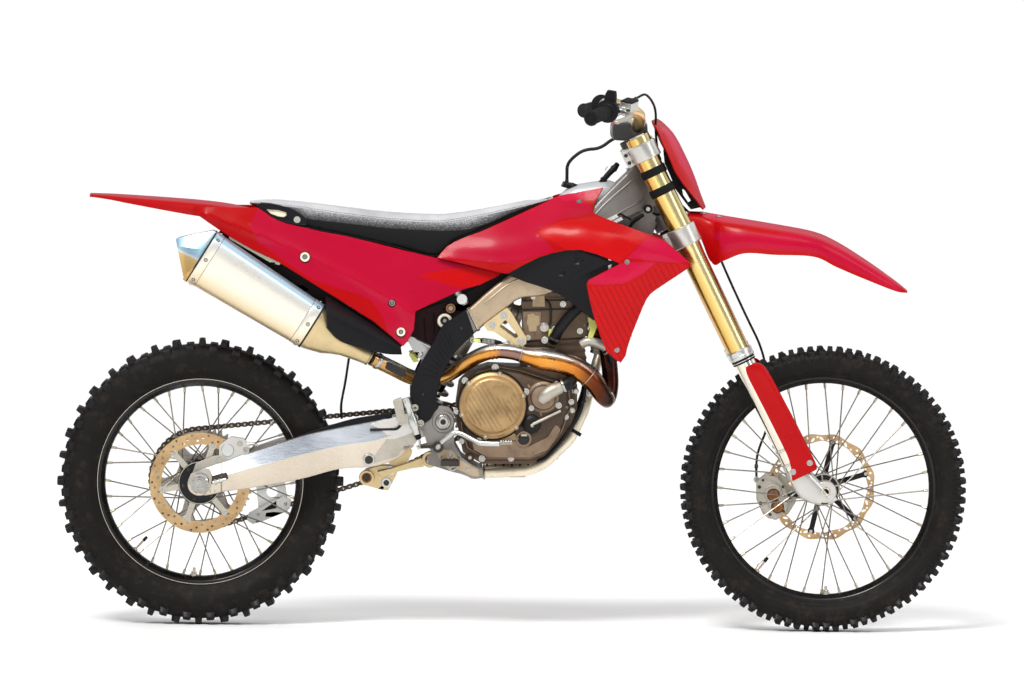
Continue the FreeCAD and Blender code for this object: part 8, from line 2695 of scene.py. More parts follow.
# coil spring
B.use(0)
turns, n = 6.6, 190
aa, bb = perp(dn)
s0, s1 = L * 0.175, L * 0.70
pts = []
for i in range(n + 1):
    t = i / n
    ang = 2 * math.pi * turns * t
    e = min(1.0, t / 0.1, (1 - t) / 0.1)
    hh = s0 + (s1 - s0) * t
    pts.append(SH0 + dn * hh + aa * (26.6 * math.cos(ang)) + bb * (26.6 * math.sin(ang)))
B.tube(pts, 5.0, n=10, smooth=False)
B.use(4)
B.revolve(SH0 + dn * L * 0.16, d, [(0, 0), (15.6, 0), (15.6, L * 0.30), (7.6, L * 0.305), (7.6, L * 0.56), (0, L * 0.56)], 30)
B.use(3)
B.revolve(SH0 + dn * L * 0.76, d, [(0, 0), (11, 0), (13.5, 5), (13.5, L * 0.12), (11, L * 0.15), (0, L * 0.15)], 36)
B.box(SH1 - dn * 15, YY, unit(dn.cross(YY)), dn, 15, 13, 20, 0.9)
B.use(3)
B.prism(round_poly([(386.5, 449.6), (398, 446.4), (409, 446.6), (412.4, 452), (408, 461), (397, 467.4), (391, 466), (386, 458)], 2.4), -22, 22)
p = S(393.4, 454.4, -22)
B.use(2)
B.bolt(V(p.x, -22, p.z), V(0, -1, 0), 5.0, 3.0, "socket")
# piggyback reservoir with its adjuster knob
knob = S(444.7, 320.5, -60)
B.use(2)
B.cyl(V(knob.x, -57, knob.z), V(knob.x, -8, knob.z), 21.6, n=44)
B.use(1)
B.ring(V(knob.x, -70, knob.z), V(knob.x, -57.4, knob.z), 17.8, 8, n=44, ch=1.4)
B.use(6)
B.ring(V(knob.x, -74.2, knob.z), V(knob.x, -69, knob.z), 18.0, 10, n=44, ch=1.2)
B.use(5)
B.cyl(V(knob.x, -72.6, knob.z), V(knob.x, -60, knob.z), 10.6, n=32)
B.use(2)
B.bolt(V(knob.x, -72.6, knob.z), V(0, -1, 0), 4.4, 2.0, "socket")
B.use(7)
rb = S(450.6, 308.2, -62)
B.ring(V(rb.x, -70, rb.z), V(rb.x, -56, rb.z), 12.4, 6.4, n=32, ch=1.2)
B.use(2)
B.bolt(V(rb.x, -66, rb.z), V(0, -1, 0), 6.0, 3.2, "socket")
B.use(2)
B.tube([SH0 + V(0, -6, 0), V((SH0.x + knob.x) / 2, -14, (SH0.z + knob.z) / 2), V(knob.x, -20, knob.z)], [13, 12, 13], n=22, per=5)
B.finish("shock_coil", "chassis", ["shock_absorber"], ["spring_steel", "machined", "cast_alloy", "bracket_gold", "steel_dark", "dark_void", "silencer_skin", "brass_cap"], bevel=0.5, angle=34)

B = Body()
B.use(0)
B.prism(round_poly([(366, 470), (380, 466), (394, 466), (397, 474), (388, 491), (378, 489), (361, 484), (360, 476)], 2.6), -33, 33, -30)
B.use(1)
for u, v, r in ((386.3, 483.0, 9.5), (390.6, 470.6, 8.5)):
    p = S(u, v, -33)
    for s in (-1, 1):
        B.ring(V(p.x, s * 31, p.z), V(p.x, s * 36, p.z), r + 3, r - 3.4, n=30, ch=0.9)
        B.use(2)
        B.bolt(V(p.x, s * 33.6, p.z), V(0, s, 0), r - 3.4, 2.6, "socket")
        B.use(1)
for s in (-1, 1):
    y = s * 44
    a, b = S(366.6, 477.9, y), S(430, 459.6, y)
    B.use(0)
    B.ring(V(a.x, y - 6.4, a.z), V(a.x, y + 6.4, a.z), 18.4, 9.4, n=40, ch=1.4)
    B.ring(V(b.x, y - 6.4, b.z), V(b.x, y + 6.4, b.z), 19.8, 9.4, n=40, ch=1.4)
    e = unit(b - a)
    q = V(-e.z, 0, e.x)
    secs = []
    for t, w, hh in ((0.19, 8.6, 5), (0.4, 6.6, 4.4), (0.7, 8.4, 4.6), (0.88, 13.0, 5)):
        c = a + (b - a) * t
        secs.append([c + q * i * w + V(0, j * hh, 0) for i, j in ((-1, -0.4), (-0.7, -1), (0.7, -1), (1, -0.4), (1, 0.4), (0.7, 1), (-0.7, 1), (-1, 0.4))])
    B.loft(secs)
    for c in (a, b):
        B.use(3)
        B.ring(V(c.x, y - 7.4, c.z), V(c.x, y + 7.4, c.z), 12.4, 8.6, n=32)
        B.use(2)
        B.bolt(V(c.x, y + s * 5.6, c.z), V(0, s, 0), 8.4, 3.8, "socket")
a, b = S(366.6, 477.9, 0), S(430, 459.6, 0)
B.use(4)
B.cyl(V(a.x, -50, a.z), V(a.x, 50, a.z), 8.6)
B.cyl(V(b.x, -57, b.z), V(b.x, 57, b.z), 8.6)
B.finish("linkage_rocker", "chassis", ["shock_linkage"], ["bracket_gold", "machined", "steel_dark", "brass_cap", "steel"], bevel=0.8, angle=34)

# ================================================================ SMALL PARTS AT THE FRAME HEAD
plain("bracket_cream", lin(250, 238, 208), rough=0.36, metal=0.0, var=0.06, vscale=14, fine=500, bump=0.1)
# dark reddish-black for the sheets behind the side panels: painted shade
plain("painted_shade_dark", lin(26, 14, 16), rough=0.46, var=0.25, vscale=8, fine=700, bump=0.2, spec=0.14, second=(lin(56, 14, 16), 0.5))
plain("head_pale", lin(176, 154, 120), rough=0.42, metal=0.6, var=0.12, vscale=30, fine=420, bump=0.3, grime=(lin(110, 92, 70), 0.3))

# lead guide, connectors and the loom that runs over the tank's nose; all inboard of the fork's sweep
B = Body()
B.use(0)
for s in (-1, 1):
    yo = s * 53
    c = S(648, 209, yo)
    # guide ring on its lug, with a short strap down to the lower clamp's height
    B.ring(V(c.x, yo - s * 5, c.z), V(c.x, yo + s * 2.5, c.z), 10.4, 6.2, n=32)
    B.tube([S(643.4, 214.6, yo), S(639, 217.4, yo), S(633.6, 221.6, yo - s * 2), S(629.4, 227.4, yo - s * 5)], [4.4, 4.8, 4.6, 4.0], n=14, per=6)
    B.tube([S(652.6, 212.4, yo), S(656.4, 214.6, yo), S(659.6, 214.2, yo - s * 3)], [3.4, 3.4, 3.0], n=12, per=5)
    B.use(1)
    B.bolt(V(c.x, yo - s * 1.0, c.z), V(0, s, 0), 5.6, 3.6, "socket")
    B.cyl(V(c.x, yo - s * 18, c.z), V(c.x, yo - s * 1, c.z), 4.0, n=20)
    B.use(0)
# pale multi-pin connectors clipped along the spar's upper edge on the right
for (u0, v0), (u1, v1), w in (((606.8, 220.8), (617.6, 215.4), 4.2), ((612.8, 222.6), (622.4, 218.0), 3.8)):
    a, b = S(u0, v0, -76), S(u1, v1, -76)
    e = unit(b - a)
    h = V(-e.z, 0, e.x)
    mid = (a + b) / 2
    L_ = (b - a).length / 2
    B.use(2)
    B.box(mid, e, YY, h, L_, w + 2.4, w, 0.9)
    B.box(a - e * 1.6, e, YY, h, 3.0, w + 0.8, w * 0.72, 0.9)
    for k in (-0.5, 0.0, 0.5):
        B.box(mid + e * (L_ * k) - V(0, w + 2.4, 0), e, YY, h, 1.0, 0.7, w * 0.8)
    B.use(0)
    B.tube([b, b + e * 5 + h * 1, b + e * 12 - h * 5 + V(0, 6, 0), b + e * 16 - h * 14 + V(0, 14, 0)], [2.6, 2.4, 2.2, 2.0], n=10, per=5)
    B.tube([a - e * 3, a - e * 8 - h * 2 + V(0, 4, 0), a - e * 14 - h * 6 + V(0, 12, 0)], [2.2, 2.0, 1.8], n=10, per=5)
# loom from the head down to the tank's nose, taped, with its clip
B.use(0)
lm = [S(617.4, 163.5, -8), S(614.6, 167.6, -12), S(609.4, 172.8, -16), S(604.4, 178.6, -18), S(600.2, 184.2, -18), S(599.6, 190.6, -16)]
B.tube(lm, [5.6, 7.4, 7.0, 6.6, 6.6, 6.0], n=18, per=7)
for k in (1, 3):
    p, q = lm[k], lm[k + 1]
    e = unit(q - p)
    B.revolve(p, e, [(6.2, 0), (8.6, 0.6), (8.6, 6.0), (6.2, 6.6)], 30, closed=True)
B.use(1)
p = S(606, 168.4, -12)
B.box(p, unit(S(612, 160, -12) - p), YY, unit(V(0.8, 0, -0.6)), 6.0, 7.0, 1.4, 0.9)
B.finish("head_fittings", "chassis", [], ["black_plastic", "steel", "white_plastic"], bevel=0.3, angle=36)

# ---------------------------------------------------------------- slotted brackets at the seat's rear, and dark sheets of painted shade behind the side panels
B = Body()
sb = round_poly([(257.6, 205.2), (261.6, 203.2), (270, 203.8), (279.4, 205.6), (291, 208.8), (299, 213.2), (305.8, 218.8), (306.4, 224.9), (294.2, 223.6), (280, 220.6), (270.2, 217.2), (262.4, 210.6)], 0.9)
sh_ = round_poly([(265.4, 208.8), (271.7, 209.8), (278.6, 210.2), (286.4, 212.4), (286.8, 215.2), (284, 217.2), (278.4, 216.4), (271.0, 213.8)], 0.9)
B.use(0)
B.prism(sb, -96.4, -93.0, -94, [sh_])
B.use(1)
B.prism(round_poly([(264.4, 207.8), (288, 211), (288, 218), (277, 217.8), (269.6, 214.4)], 0.8), -92.6, -90.8, -94)
p = S(297.2, 219.6, -94)
B.use(2)
B.bolt(V(p.x, -96.2, p.z), V(0, -1, 0), 4.6, 3.0, "washer")
B.use(0)
rim_ = [S(u, v, -95) for u, v in sb]
B.tube([V(q.x, -95.4, q.z) for q in rim_] + [V(rim_[0].x, -95.4, rim_[0].z)], 1.5, n=8, smooth=False)
for i, v in enumerate(B.v):
    # lean the plate in toward the seat's narrow tail
    k = max(0.0, min(1.0, (S(306, 0).x - v.x) / (S(306, 0).x - S(257, 0).x)))
    v.y += 12.0 * k * k
B.mirror_y()
B.finish("seat_brackets", "chassis", [], ["black_plastic", "bracket_cream", "steel"], bevel=0.4, angle=34)

# dark sheet between the silencer and the tail, painted shade in that gap, its pale rail, and a second dark sheet by the
# damper, painted shade under the panels
B = Body()
B.use(0)
B.prism(round_poly([(222, 228), (236, 234), (262, 247), (292, 263), (322, 284), (336, 293.6), (368, 312.6), (393, 335), (402.4, 345.6), (398.6, 350), (388, 344), (366, 326.6), (345, 314), (328, 311), (305, 300), (283, 286), (247.6, 261), (224, 243), (217, 235.4)], 1.2), -70, -66.4, -68)
B.prism(round_poly([(412, 313), (446, 302), (470, 291), (484, 283), (500, 272.5), (509, 270), (507, 276), (491, 288), (472, 305), (456, 318), (443, 330), (434, 345), (429, 352.4), (420, 351.4), (410.4, 343.6)], 1.2), -62, -58, -60)
for a, b in (((424, 318), (426, 344)), ((434, 313), (434, 334))):
    B.tube([S(a[0], a[1], -62), S(b[0], b[1], -62)], 2.0, n=8, smooth=False)
B.use(1)
B.prism(round_poly([(229, 235.6), (234, 234.2), (281.6, 261.6), (279.4, 265.2), (270, 262.2), (229.4, 238.8)], 0.8), -99.6, -96.6, -98)
B.mirror_y()
B.finish("shade_walls_and_rail", "chassis", [], ["painted_shade_dark", "bracket_cream"], bevel=0.5, angle=34)


# ================================================================ ENGINE
CL = S(492.6, 405.6, -140)
PUMP = S(543.3, 397.6, -135)


# crankcase halves
case_uv = round_poly([(459, 383), (470, 371), (488, 365), (560, 368), (577, 384), (577, 408), (567, 434), (548, 458), (532, 463.5), (482, 463.5), (463, 452), (458.5, 430), (456, 404)], 4)
B = Body()
B.use(0)
B.prism(case_uv, -85, 85, -60)
B.use(1)
for y in (-62, 0, 62):
    ring_uv = [(u + (515 - u) * -0.004, v + (415 - v) * -0.004) for u, v in case_uv]
    B.prism(ring_uv, y - 3.0, y + 3.0, -60)
# stiffening ribs under the sump and at the front
for k in range(7):
    u = 487 + k * 8.2
    p = S(u, 461, 0)
    B.box(V(p.x, 0, p.z - 4), V(1, 0, 0), YY, V(0, 0, 1), 2.2, 78, 4.4, 0.9)
for k in range(5):
    u0, v0 = 574 - k * 4.6, 420 + k * 9.0
    p = S(u0, v0, 0)
    B.box(p, unit(V(1, 0, -0.5)), YY, unit(V(0.5, 0, 1)), 5.5, 74, 1.8, 0.9)
# output boss and front sprocket
FSPR = S(467, 417.6, CHAIN_Y)
B.use(2)
R2 = PITCH / (2 * math.sin(math.pi / FRONT_TEETH))
ring_ = []
for k in range(FRONT_TEETH):
    a0 = 2 * math.pi * k / FRONT_TEETH
    for da, r in ((-0.24, R2 - 4.6), (-0.12, R2 - 0.4), (-0.05, R2 + 3.6), (0.05, R2 + 3.6), (0.12, R2 - 0.4), (0.24, R2 - 4.6)):
        ring_.append(V(FSPR.x + r * math.cos(a0 + da), CHAIN_Y - 3.4, FSPR.z + r * math.sin(a0 + da)))
B.slab(ring_, V(0, 6.8, 0))
B.use(3)
B.cyl(V(FSPR.x, CHAIN_Y - 14, FSPR.z), V(FSPR.x, CHAIN_Y + 4, FSPR.z), 14, n=32)
B.bolt(V(FSPR.x, CHAIN_Y + 4, FSPR.z), YY, 8.0, 3.8, "hex")
# mounting ears with through bolts
B.use(1)
for u, v, r in ((535, 456.5, 9.5), (470, 458, 8.5), (572, 391.5, 9.5)):
    p = S(u, v, -92)
    for s in (-1, 1):
        B.ring(V(p.x, s * 80, p.z), V(p.x, s * 92, p.z), r + 2, r - 4.2, n=30, ch=1.0)
        B.use(3)
        B.bolt(V(p.x, s * 87, p.z), V(0, s, 0), r - 3.6, 5.2, "hex")
        B.use(1)
B.finish("case_halves", "chassis", ["crankcase"], ["engine_brown", "engine_cast", "sprocket_alloy", "steel"], bevel=1.0, angle=36)

# right cover: outer cover, clutch cover, water pump, filter cap, sight glass
cov_uv = round_poly([(459, 430), (456.4, 404), (461, 384), (476, 370), (498, 364.4), (522, 369), (540, 375), (558, 380.4), (572, 387), (573.6, 408), (564, 434), (546, 456), (530, 461.6), (484, 461.6), (465, 450)], 4)
B = Body()
B.use(0)
B.prism(cov_uv, -97, -84.6, -110)
flange_in = [(u + (515 - u) * 0.045, v + (413 - v) * 0.045) for u, v in cov_uv]
B.use(1)
B.prism(flange_in, -101.5, -96, -110)
# swelling body of the cover, lofted in steps
steps = []
for k, y in ((0.06, -101), (0.075, -112), (0.11, -119), (0.16, -122.5), (0.30, -124)):
    loop = []
    for u, v in cov_uv:
        p = S(u + (514 - u) * k, v + (414 - v) * k, -110)
        loop.append(V(p.x, y, p.z))
    steps.append(loop)
B.use(0)
B.loft(steps)
# raised trunk over the shafts toward the sump
B.use(1)
B.prism(round_poly([(472, 440), (492, 443), (515, 440.5), (528, 447), (548, 437), (556, 424), (561, 430), (548, 450), (530, 457.6), (488, 457.6), (474, 450)], 3), -126.2, -118, -120)
# webs that run from the pump to the flange
for (u0, v0), (u1, v1) in (((550, 388), (566, 384.5)), ((554, 403), (568, 408)), ((540, 411), (546, 428)), ((530, 388), (523, 378))):
    p, q = S(u0, v0, -120), S(u1, v1, -120)
    B.tube([V(p.x, -121, p.z), V(q.x, -116, q.z)], [5.2, 3.6], n=12, smooth=False)
# dark ring behind the clutch cover
B.use(4)
B.ring(V(CL.x, -119, CL.z), V(CL.x, -129.5, CL.z), 84.5, 60, n=96, ch=1.4)
# clutch cover: rim, dished face, raised centre with diagonal ribs
B.use(2)
B.revolve(V(CL.x, -124, CL.z), V(0, -1, 0), [(0, 0), (79.0, 0), (79.8, 1.5), (79.8, 13), (78.6, 17.4), (74.6, 20.6), (70.6, 21.8), (69.4, 20.6), (66.6, 20.2), (64.8, 22.4), (60, 24.4), (30, 26.4), (0, 26.8)], 120)
B.use(3)
rb = 66.0
for k in range(-6, 7):
    off = k * 9.6
    # ribs slope down to the right, and are shorter away from the middle
    half = math.sqrt(max(0.0, (rb - 3) ** 2 - off ** 2))
    if half < 12:
        continue
    dirx, dirz = math.cos(math.radians(-58)), math.sin(math.radians(-58))
    nx, nz = -dirz, dirx
    lo, hi = (-half, half)
    if k > 1:
        lo, hi = -half * 0.2, half
    if k > 3:
        lo = half * 0.1
    if k < -3:
        lo, hi = -half, half * 0.7
    if k in (0, 1):
        hi = half * 0.5
    pts = []
    for t in range(9):
        s = lo + (hi - lo) * t / 8
        x, z = nx * off + dirx * s, nz * off + dirz * s
        r = math.hypot(x, z)
        y = -124 - (26.5 - 2.1 * (r / 62.0) ** 2)
        pts.append(V(CL.x + x, y, CL.z + z))
    B.tube(pts, [0.6] + [1.5] * 7 + [0.6], n=8, smooth=False)
# facets cut in the rim, and rim screws
B.use(3)
for k in range(6):
    a = math.radians(18 + 60 * k)
    c = V(CL.x + 76.4 * math.cos(a), -136, CL.z + 76.4 * math.sin(a))
    B.cyl(c, c + V(0, -7.8, 0), 6.8, n=24, ch=1.4)
    B.use(5)
    B.bolt(c + V(0, -7.8, 0), V(0, -1, 0), 3.6, 1.6, "dome")
    B.use(3)
# lug that reaches down from the cover toward the lower right
B.prism(round_poly([(494, 432), (505, 427.6), (512, 431), (520, 440), (508, 440.6), (497, 438.4)], 1.6), -128.4, -120, -124)
# water pump
B.use(1)
B.revolve(V(PUMP.x, -118, PUMP.z), V(0, -1, 0), [(0, 0), (38, 0), (38.4, 2), (37.4, 6), (31.4, 8), (30.2, 20), (27.4, 24), (18, 26.4), (0, 27)], 64)
for u, v in ((538.9, 385.5), (556.8, 383.8), (558.6, 405.2), (531.4, 408)):
    p = S(u, v, -124)
    B.cyl(V(p.x, -114, p.z), V(p.x, -127, p.z), 6.6, n=24)
B.use(6)
pe = [V(PUMP.x - 6, -139, PUMP.z - 8), V(PUMP.x + 4, -142, PUMP.z + 4), V(PUMP.x + 20, -141, PUMP.z + 16), V(PUMP.x + 36, -137, PUMP.z + 23), V(PUMP.x + 44, -134, PUMP.z + 27)]
B.tube(pe, [12, 16.8, 17.0, 15.4, 14.2], n=28, per=5)
B.use(4)
B.tube([pe[-1] + V(-4, 0.6, -1.6), pe[-1] + V(10, -1, 4), pe[-1] + V(22, 8, 14), pe[-1] + V(30, 24, 34)], [15.6, 15.2, 14.4, 14.0], n=24, per=5)
B.use(5)
B.tube([pe[-1] + V(2, -0.2, 0.8), pe[-1] + V(7, -0.8, 3)], [17.0, 17.0], n=30, smooth=False)
# dark oil-filler knob with its pull rod
K = S(531.6, 424.2, -128)
B.use(4)
B.revolve(V(K.x, -120, K.z), V(0, -1, 0), [(0, 0), (23, 0), (23.4, 3), (22, 9), (17, 13.4), (9, 15.6), (0, 16.2)], 48)
B.use(6)
B.ball(V(K.x + 1, -134, K.z - 3), 5.2, n=20, m=12)
p, q = V(K.x + 3, -134, K.z), S(560.6, 411.0, -126)
B.tube([p, p + (q - p) * 0.5 + V(0, -2, 0), q], [4.0, 3.4, 3.4], n=14, per=6)
# sight glass
G_ = S(523.6, 439.4, -128)
B.use(1)
B.ring(V(G_.x, -118, G_.z), V(G_.x, -130.4, G_.z), 19.4, 13.4, n=44, ch=1.4)
B.use(7)
B.revolve(V(G_.x, -119, G_.z), V(0, -1, 0), [(0, 0), (13.8, 0), (13.8, 7.6), (11, 8.6), (0, 9.2)], 36)
B.use(6)
B.box(V(G_.x + 1, -129.4, G_.z + 9.6), V(1, 0, 0), V(0, 0, 1), V(0, -1, 0), 8.4, 3.0, 1.8, 0.8)
# perimeter bolts in their bosses
for u, v, r in ((465, 380.4, 5.2), (495.3, 367.6, 5.6), (526.4, 378.6, 5.0), (525.9, 391.5, 5.4), (538.9, 385.5, 4.6), (556.8, 383.8, 4.8), (558.6, 405.2, 5.0), (531.4, 408, 4.4), (456.8, 411, 4.8), (556.8, 430.3, 5.0), (516, 433.4, 4.6), (479.5, 438.8, 3.8), (537.5, 448.6, 4.8), (511, 458.6, 5.0), (482, 458.8, 5.2), (461.6, 441.6, 4.4), (571.4, 402, 4.6), (566, 417, 4.6)):
    p = S(u, v, -112)
    near = min(math.hypot(p.x - CL.x, p.z - CL.z), 999)
    top = -129 if near < 88 or inside((u, v), [(535, 380), (566, 380), (566, 412), (528, 412)]) else -112
    if top == -129:
        top = -127.2
    B.use(1)
    B.cyl(V(p.x, -92, p.z), V(p.x, top + 0.6, p.z), r + 2.6, n=24, ch=1.2)
    B.use(5)
    B.bolt(V(p.x, top + 0.8, p.z), V(0, -1, 0), r * 0.9, 4.2, "washer")
# left cover: generator, and the ribbed sprocket side
cvl = round_poly([(476, 430), (478, 398), (495, 377), (520, 374), (545, 388), (555, 415), (545, 445), (522, 459), (492, 459), (480, 448)], 4)
B.use(0)
B.prism(cvl, 84.6, 96, 100)
B.use(1)
steps = []
for k, y in ((0.03, 95), (0.05, 104), (0.10, 109), (0.2, 111.4)):
    loop = []
    for u, v in cvl:
        p = S(u + (515 - u) * k, v + (417 - v) * k, 100)
        loop.append(V(p.x, y, p.z))
    steps.append(loop)
B.loft(steps)
lc = S(505, 418, 110)
LC = V(lc.x + 24, 0, lc.z - 4)
B.use(2)
B.revolve(V(LC.x, 108, LC.z), YY, [(0, 0), (57, 0), (57.8, 1.6), (57.8, 8), (55, 12), (49, 14.4), (47, 13.4), (26, 14.2), (24, 15.4), (0, 15.6)], 90)
B.use(3)
for k in range(8):
    a = 2 * math.pi * k / 8 + 0.2
    p = V(LC.x + 27 * math.cos(a), 121.6, LC.z + 27 * math.sin(a))
    q = V(LC.x + 45 * math.cos(a), 121.4, LC.z + 45 * math.sin(a))
    B.tube([p, q], 1.5, n=8, smooth=False)
for k in range(9):
    u, v = cvl[int(k * len(cvl) / 9)]
    p = S(u + (515 - u) * 0.06, v + (417 - v) * 0.06, 100)
    B.use(1)
    B.cyl(V(p.x, 90, p.z), V(p.x, 104.4, p.z), 8, n=22, ch=1.2)
    B.use(5)
    B.bolt(V(p.x, 104.2, p.z), YY, 4.6, 4.0, "washer")
B.finish("covers_engine", "chassis", ["engine_covers"], ["engine_cast", "engine_light", "cover_bronze", "cover_olive", "hose_rubber", "steel", "cast_alloy", "dark_void"], bevel=0.9, angle=34)

# cylinder block with gasket lines
B = Body()
cu = round_poly([(523.4, 342.4), (583, 338.6), (587.6, 368.6), (520.6, 366.6)], 2.4)
B.use(0)
B.prism(cu, -56, 56, -60)
for k in range(4):
    f = 0.12 + 0.24 * k
    uv = [(523.4 - 2.8 * f - 0.8, 342.4 + 24.2 * f), (583 + 4.6 * f + 0.8, 338.6 + 30 * f), (583 + 4.6 * f + 1.0, 338.6 + 30 * f + 2.6), (523.4 - 2.8 * f - 1.0, 342.4 + 24.2 * f + 2.6)]
    B.use(1)
    B.prism(round_poly(uv, 0.8, 2), -59, 59, -60)
B.use(2)
B.prism([(521.8, 340.4), (585, 336.6), (585.2, 338.8), (522, 342.8)], -61, 61, -60)
B.use(3)
for u in (530, 548, 566, 580):
    p = S(u, 366, -60)
    for s in (-1, 1):
        B.cyl(V(p.x, s * 50, p.z), V(p.x, s * 62, p.z), 8, n=24)
        B.use(4)
        B.bolt(V(p.x, s * 62, p.z), V(0, s, 0), 5.0, 3.8, "hex")
        B.use(3)
B.finish("block_cylinder", "chassis", ["cylinder"], ["engine_brown", "engine_cast", "dark_void", "engine_light", "steel"], bevel=0.8, angle=36)

# head, its cover, coil cap, fittings, throttle body and coolant hose
B = Body()
B.use(0)
B.prism(round_poly([(521.6, 303), (527, 297.6), (580, 297.6), (587.6, 306), (586.6, 336.6), (523, 341.2)], 2.2), -66, 66, -60)
B.use(1)
B.prism(round_poly([(522.6, 311.6), (540.6, 311.6), (541.6, 338.8), (523.8, 340)], 1.6), -70, -60, -64)
B.use(8)
B.prism(round_poly([(527.6, 314.6), (533, 313.2), (535, 315.4), (539.4, 316), (539.4, 325), (536.6, 326), (536.6, 331.2), (528.8, 331.4), (528.4, 326), (526.8, 324)], 0.9, 2), -73.4, -68, -70)
# cam cover in steps, with its screws
B.use(0)
B.prism(round_poly([(524, 293.2), (579, 292.6), (584, 298.6), (522.6, 300)], 1.8), -60, 60, -60)
B.use(1)
B.prism(round_poly([(527, 282.6), (576, 282), (580, 292.8), (525, 293.6)], 2.6), -50, 50, -60)
B.use(2)
B.prism([(521.8, 299.4), (585.2, 298.4), (585.6, 300.4), (521.8, 301.6)], -67, 67, -60)
B.prism([(521.2, 308.6), (587.8, 307.6), (587.9, 309.4), (521.4, 310.6)], -67.4, 67.4, -60)
# coil cap and its plug lead
cc = S(538.6, 297, -52)
B.use(8)
B.box(V(cc.x, -60, cc.z - 4), V(1, 0, 0), YY, V(0, 0, 1), 15, 11, 18, 0.86)
B.use(2)
B.tube([S(545, 299, -66), S(549.6, 304, -72), S(550.6, 314, -73), S(549.8, 324, -70), S(546, 329, -66)], 2.6, n=12, per=6)
for u, v, r in ((544.4, 327.2, 6.4), (544.8, 340.0, 5.0), (533, 297, 3.4), (555, 330, 5.6), (528, 337.5, 3.8), (563, 304, 4.4), (580, 304, 4.4), (580, 331, 4.4)):
    p = S(u, v, -66)
    B.use(1)
    B.cyl(V(p.x, -62, p.z), V(p.x, -70.4, p.z), r + 2.6, n=24, ch=1.0)
    B.use(4)
    B.bolt(V(p.x, -70.2, p.z), V(0, -1, 0), r, 4.2, "washer")
    B.use(1)
    B.cyl(V(p.x, 62, p.z), V(p.x, 70.4, p.z), r + 2.6, n=24, ch=1.0)
    B.use(4)
    B.bolt(V(p.x, 70.2, p.z), V(0, 1, 0), r, 4.2, "washer")
# yellow spacer
B.use(6)
p = S(550, 332.8, -72)
B.box(p, V(1, 0, 0), YY, V(0, 0, 1), 3.6, 5, 9, 0.9)
# black coolant hose down to its elbow on the head
B.use(7)
hp = [S(584, 303, -92), S(577, 309, -90), S(568, 318, -88), S(560, 328, -86), S(555.4, 336, -80), S(552.6, 341.5, -70)]
B.tube(hp, [12.5, 12.5, 12.6, 12.6, 12.4, 12.2], n=26, per=6)
B.use(4)
d_ = unit(hp[-1] - hp[-2])
B.tube([hp[-2] + d_ * 0.2 * 1, hp[-2] + d_ * 6], [14.2, 14.2], n=28, smooth=False)
B.use(1)
B.tube([hp[-1] - d_ * 4, hp[-1] + d_ * 6, hp[-1] + d_ * 8 + V(0, 14, 0)], [11, 12, 13], n=24, per=4)
# exhaust flange ring at the port
B.use(3)
pt, pn = S(586, 326, -38), unit(S(597, 331, -46) - S(586, 326, -38))
B.revolve(pt - pn * 3, pn, [(20, 0), (28, 0), (28.6, 1.4), (28.6, 6), (24, 8), (20, 8)], 40, closed=True)
B.use(4)
for s in (-1, 1):
    B.bolt(pt + pn * 5 + V(0, 0, s * 24), pn, 4.2, 5, "hex")
# throttle body
TB0, TB1 = S(519.5, 316, 0), S(489, 306, 0)
t_ = unit(TB1 - TB0)
B.use(3)
LT = (TB1 - TB0).length
B.revolve(TB0 - t_ * 6, t_, [(0, 0), (29, 0), (29, 10), (24, 14), (23, LT * 0.36), (30, LT * 0.4), (31, LT * 0.62), (25, LT * 0.68), (23.6, LT * 0.9), (25.6, LT * 0.93), (25.6, LT + 4), (0, LT + 4)], 44)
B.use(7)
B.revolve(TB1 - t_ * 22, t_, [(24, 0), (29, 0.8), (29, 22), (27, 24), (24, 24)], 44, closed=True)
B.use(4)
B.ring(TB1 - t_ * 14, TB1 - t_ * 5, 30.4, 28.6, n=48)
B.use(3)
B.box(TB0 + t_ * LT * 0.5 + V(0, -34, 0), t_, YY, unit(t_.cross(YY)), 12, 9, 14, 0.85)
B.use(4)
B.cyl(TB0 + t_ * LT * 0.5 + V(0, -42, 0), TB0 + t_ * LT * 0.5 + V(0, -50, 0), 9, n=26)
B.finish("head_and_intake", "chassis", ["cylinder_head"], ["engine_brown", "engine_light", "dark_void", "cast_alloy", "steel", "engine_cast", "yellow_part", "hose_rubber", "head_pale"], bevel=0.8, angle=36)

# coolant stub, hanger and pale bracket ahead of the head
B = Body()
B.use(0)
B.prism(round_poly([(587.4, 316.6), (597.4, 320.4), (596.6, 328), (590.6, 343), (586.2, 343.4), (589.8, 330)], 1.2), -97, -91, -94)
B.use(1)
wp = [S(581, 344.6, -88), S(588, 341.6, -90), S(597, 343.2, -90), S(603, 346, -86), S(607, 349.6, -80)]
B.tube(wp, [10.5, 11.5, 11.5, 11, 11], n=24, per=6)
B.use(2)
B.tube([wp[-1] - unit(wp[-1] - wp[-2]) * 4, wp[-1] + V(10, 2, -12), wp[-1] + V(14, 4, -30)], [13, 12.4, 12], n=22, per=5)
B.use(3)
q = unit(wp[-1] - wp[-2])
B.tube([wp[-1] - q * 2.4, wp[-1] + q * 3.4], [14.2, 14.2], n=28, smooth=False)
p = S(594, 340.4, -98)
B.bolt(V(p.x, -97, p.z), V(0, -1, 0), 4.2, 3.4, "hex")
B.use(2)
B.tube([S(585.2, 384, -92), S(583.6, 400, -94), S(578.2, 416.4, -96), S(568.6, 431.6, -97), S(557.0, 446.4, -97), S(546.0, 457.8, -96), S(537.4, 461.6, -90)], [4.4, 4.6, 4.6, 4.6, 4.6, 4.4, 4.0], n=14, per=8)
for u, v in ((568.6, 431.6), (583.4, 402)):
    q = S(u, v, -96)
    B.box(q, unit(V(0.6, 0, -0.8)), YY, unit(V(0.8, 0, 0.6)), 3.4, 7.0, 6.4, 0.9)
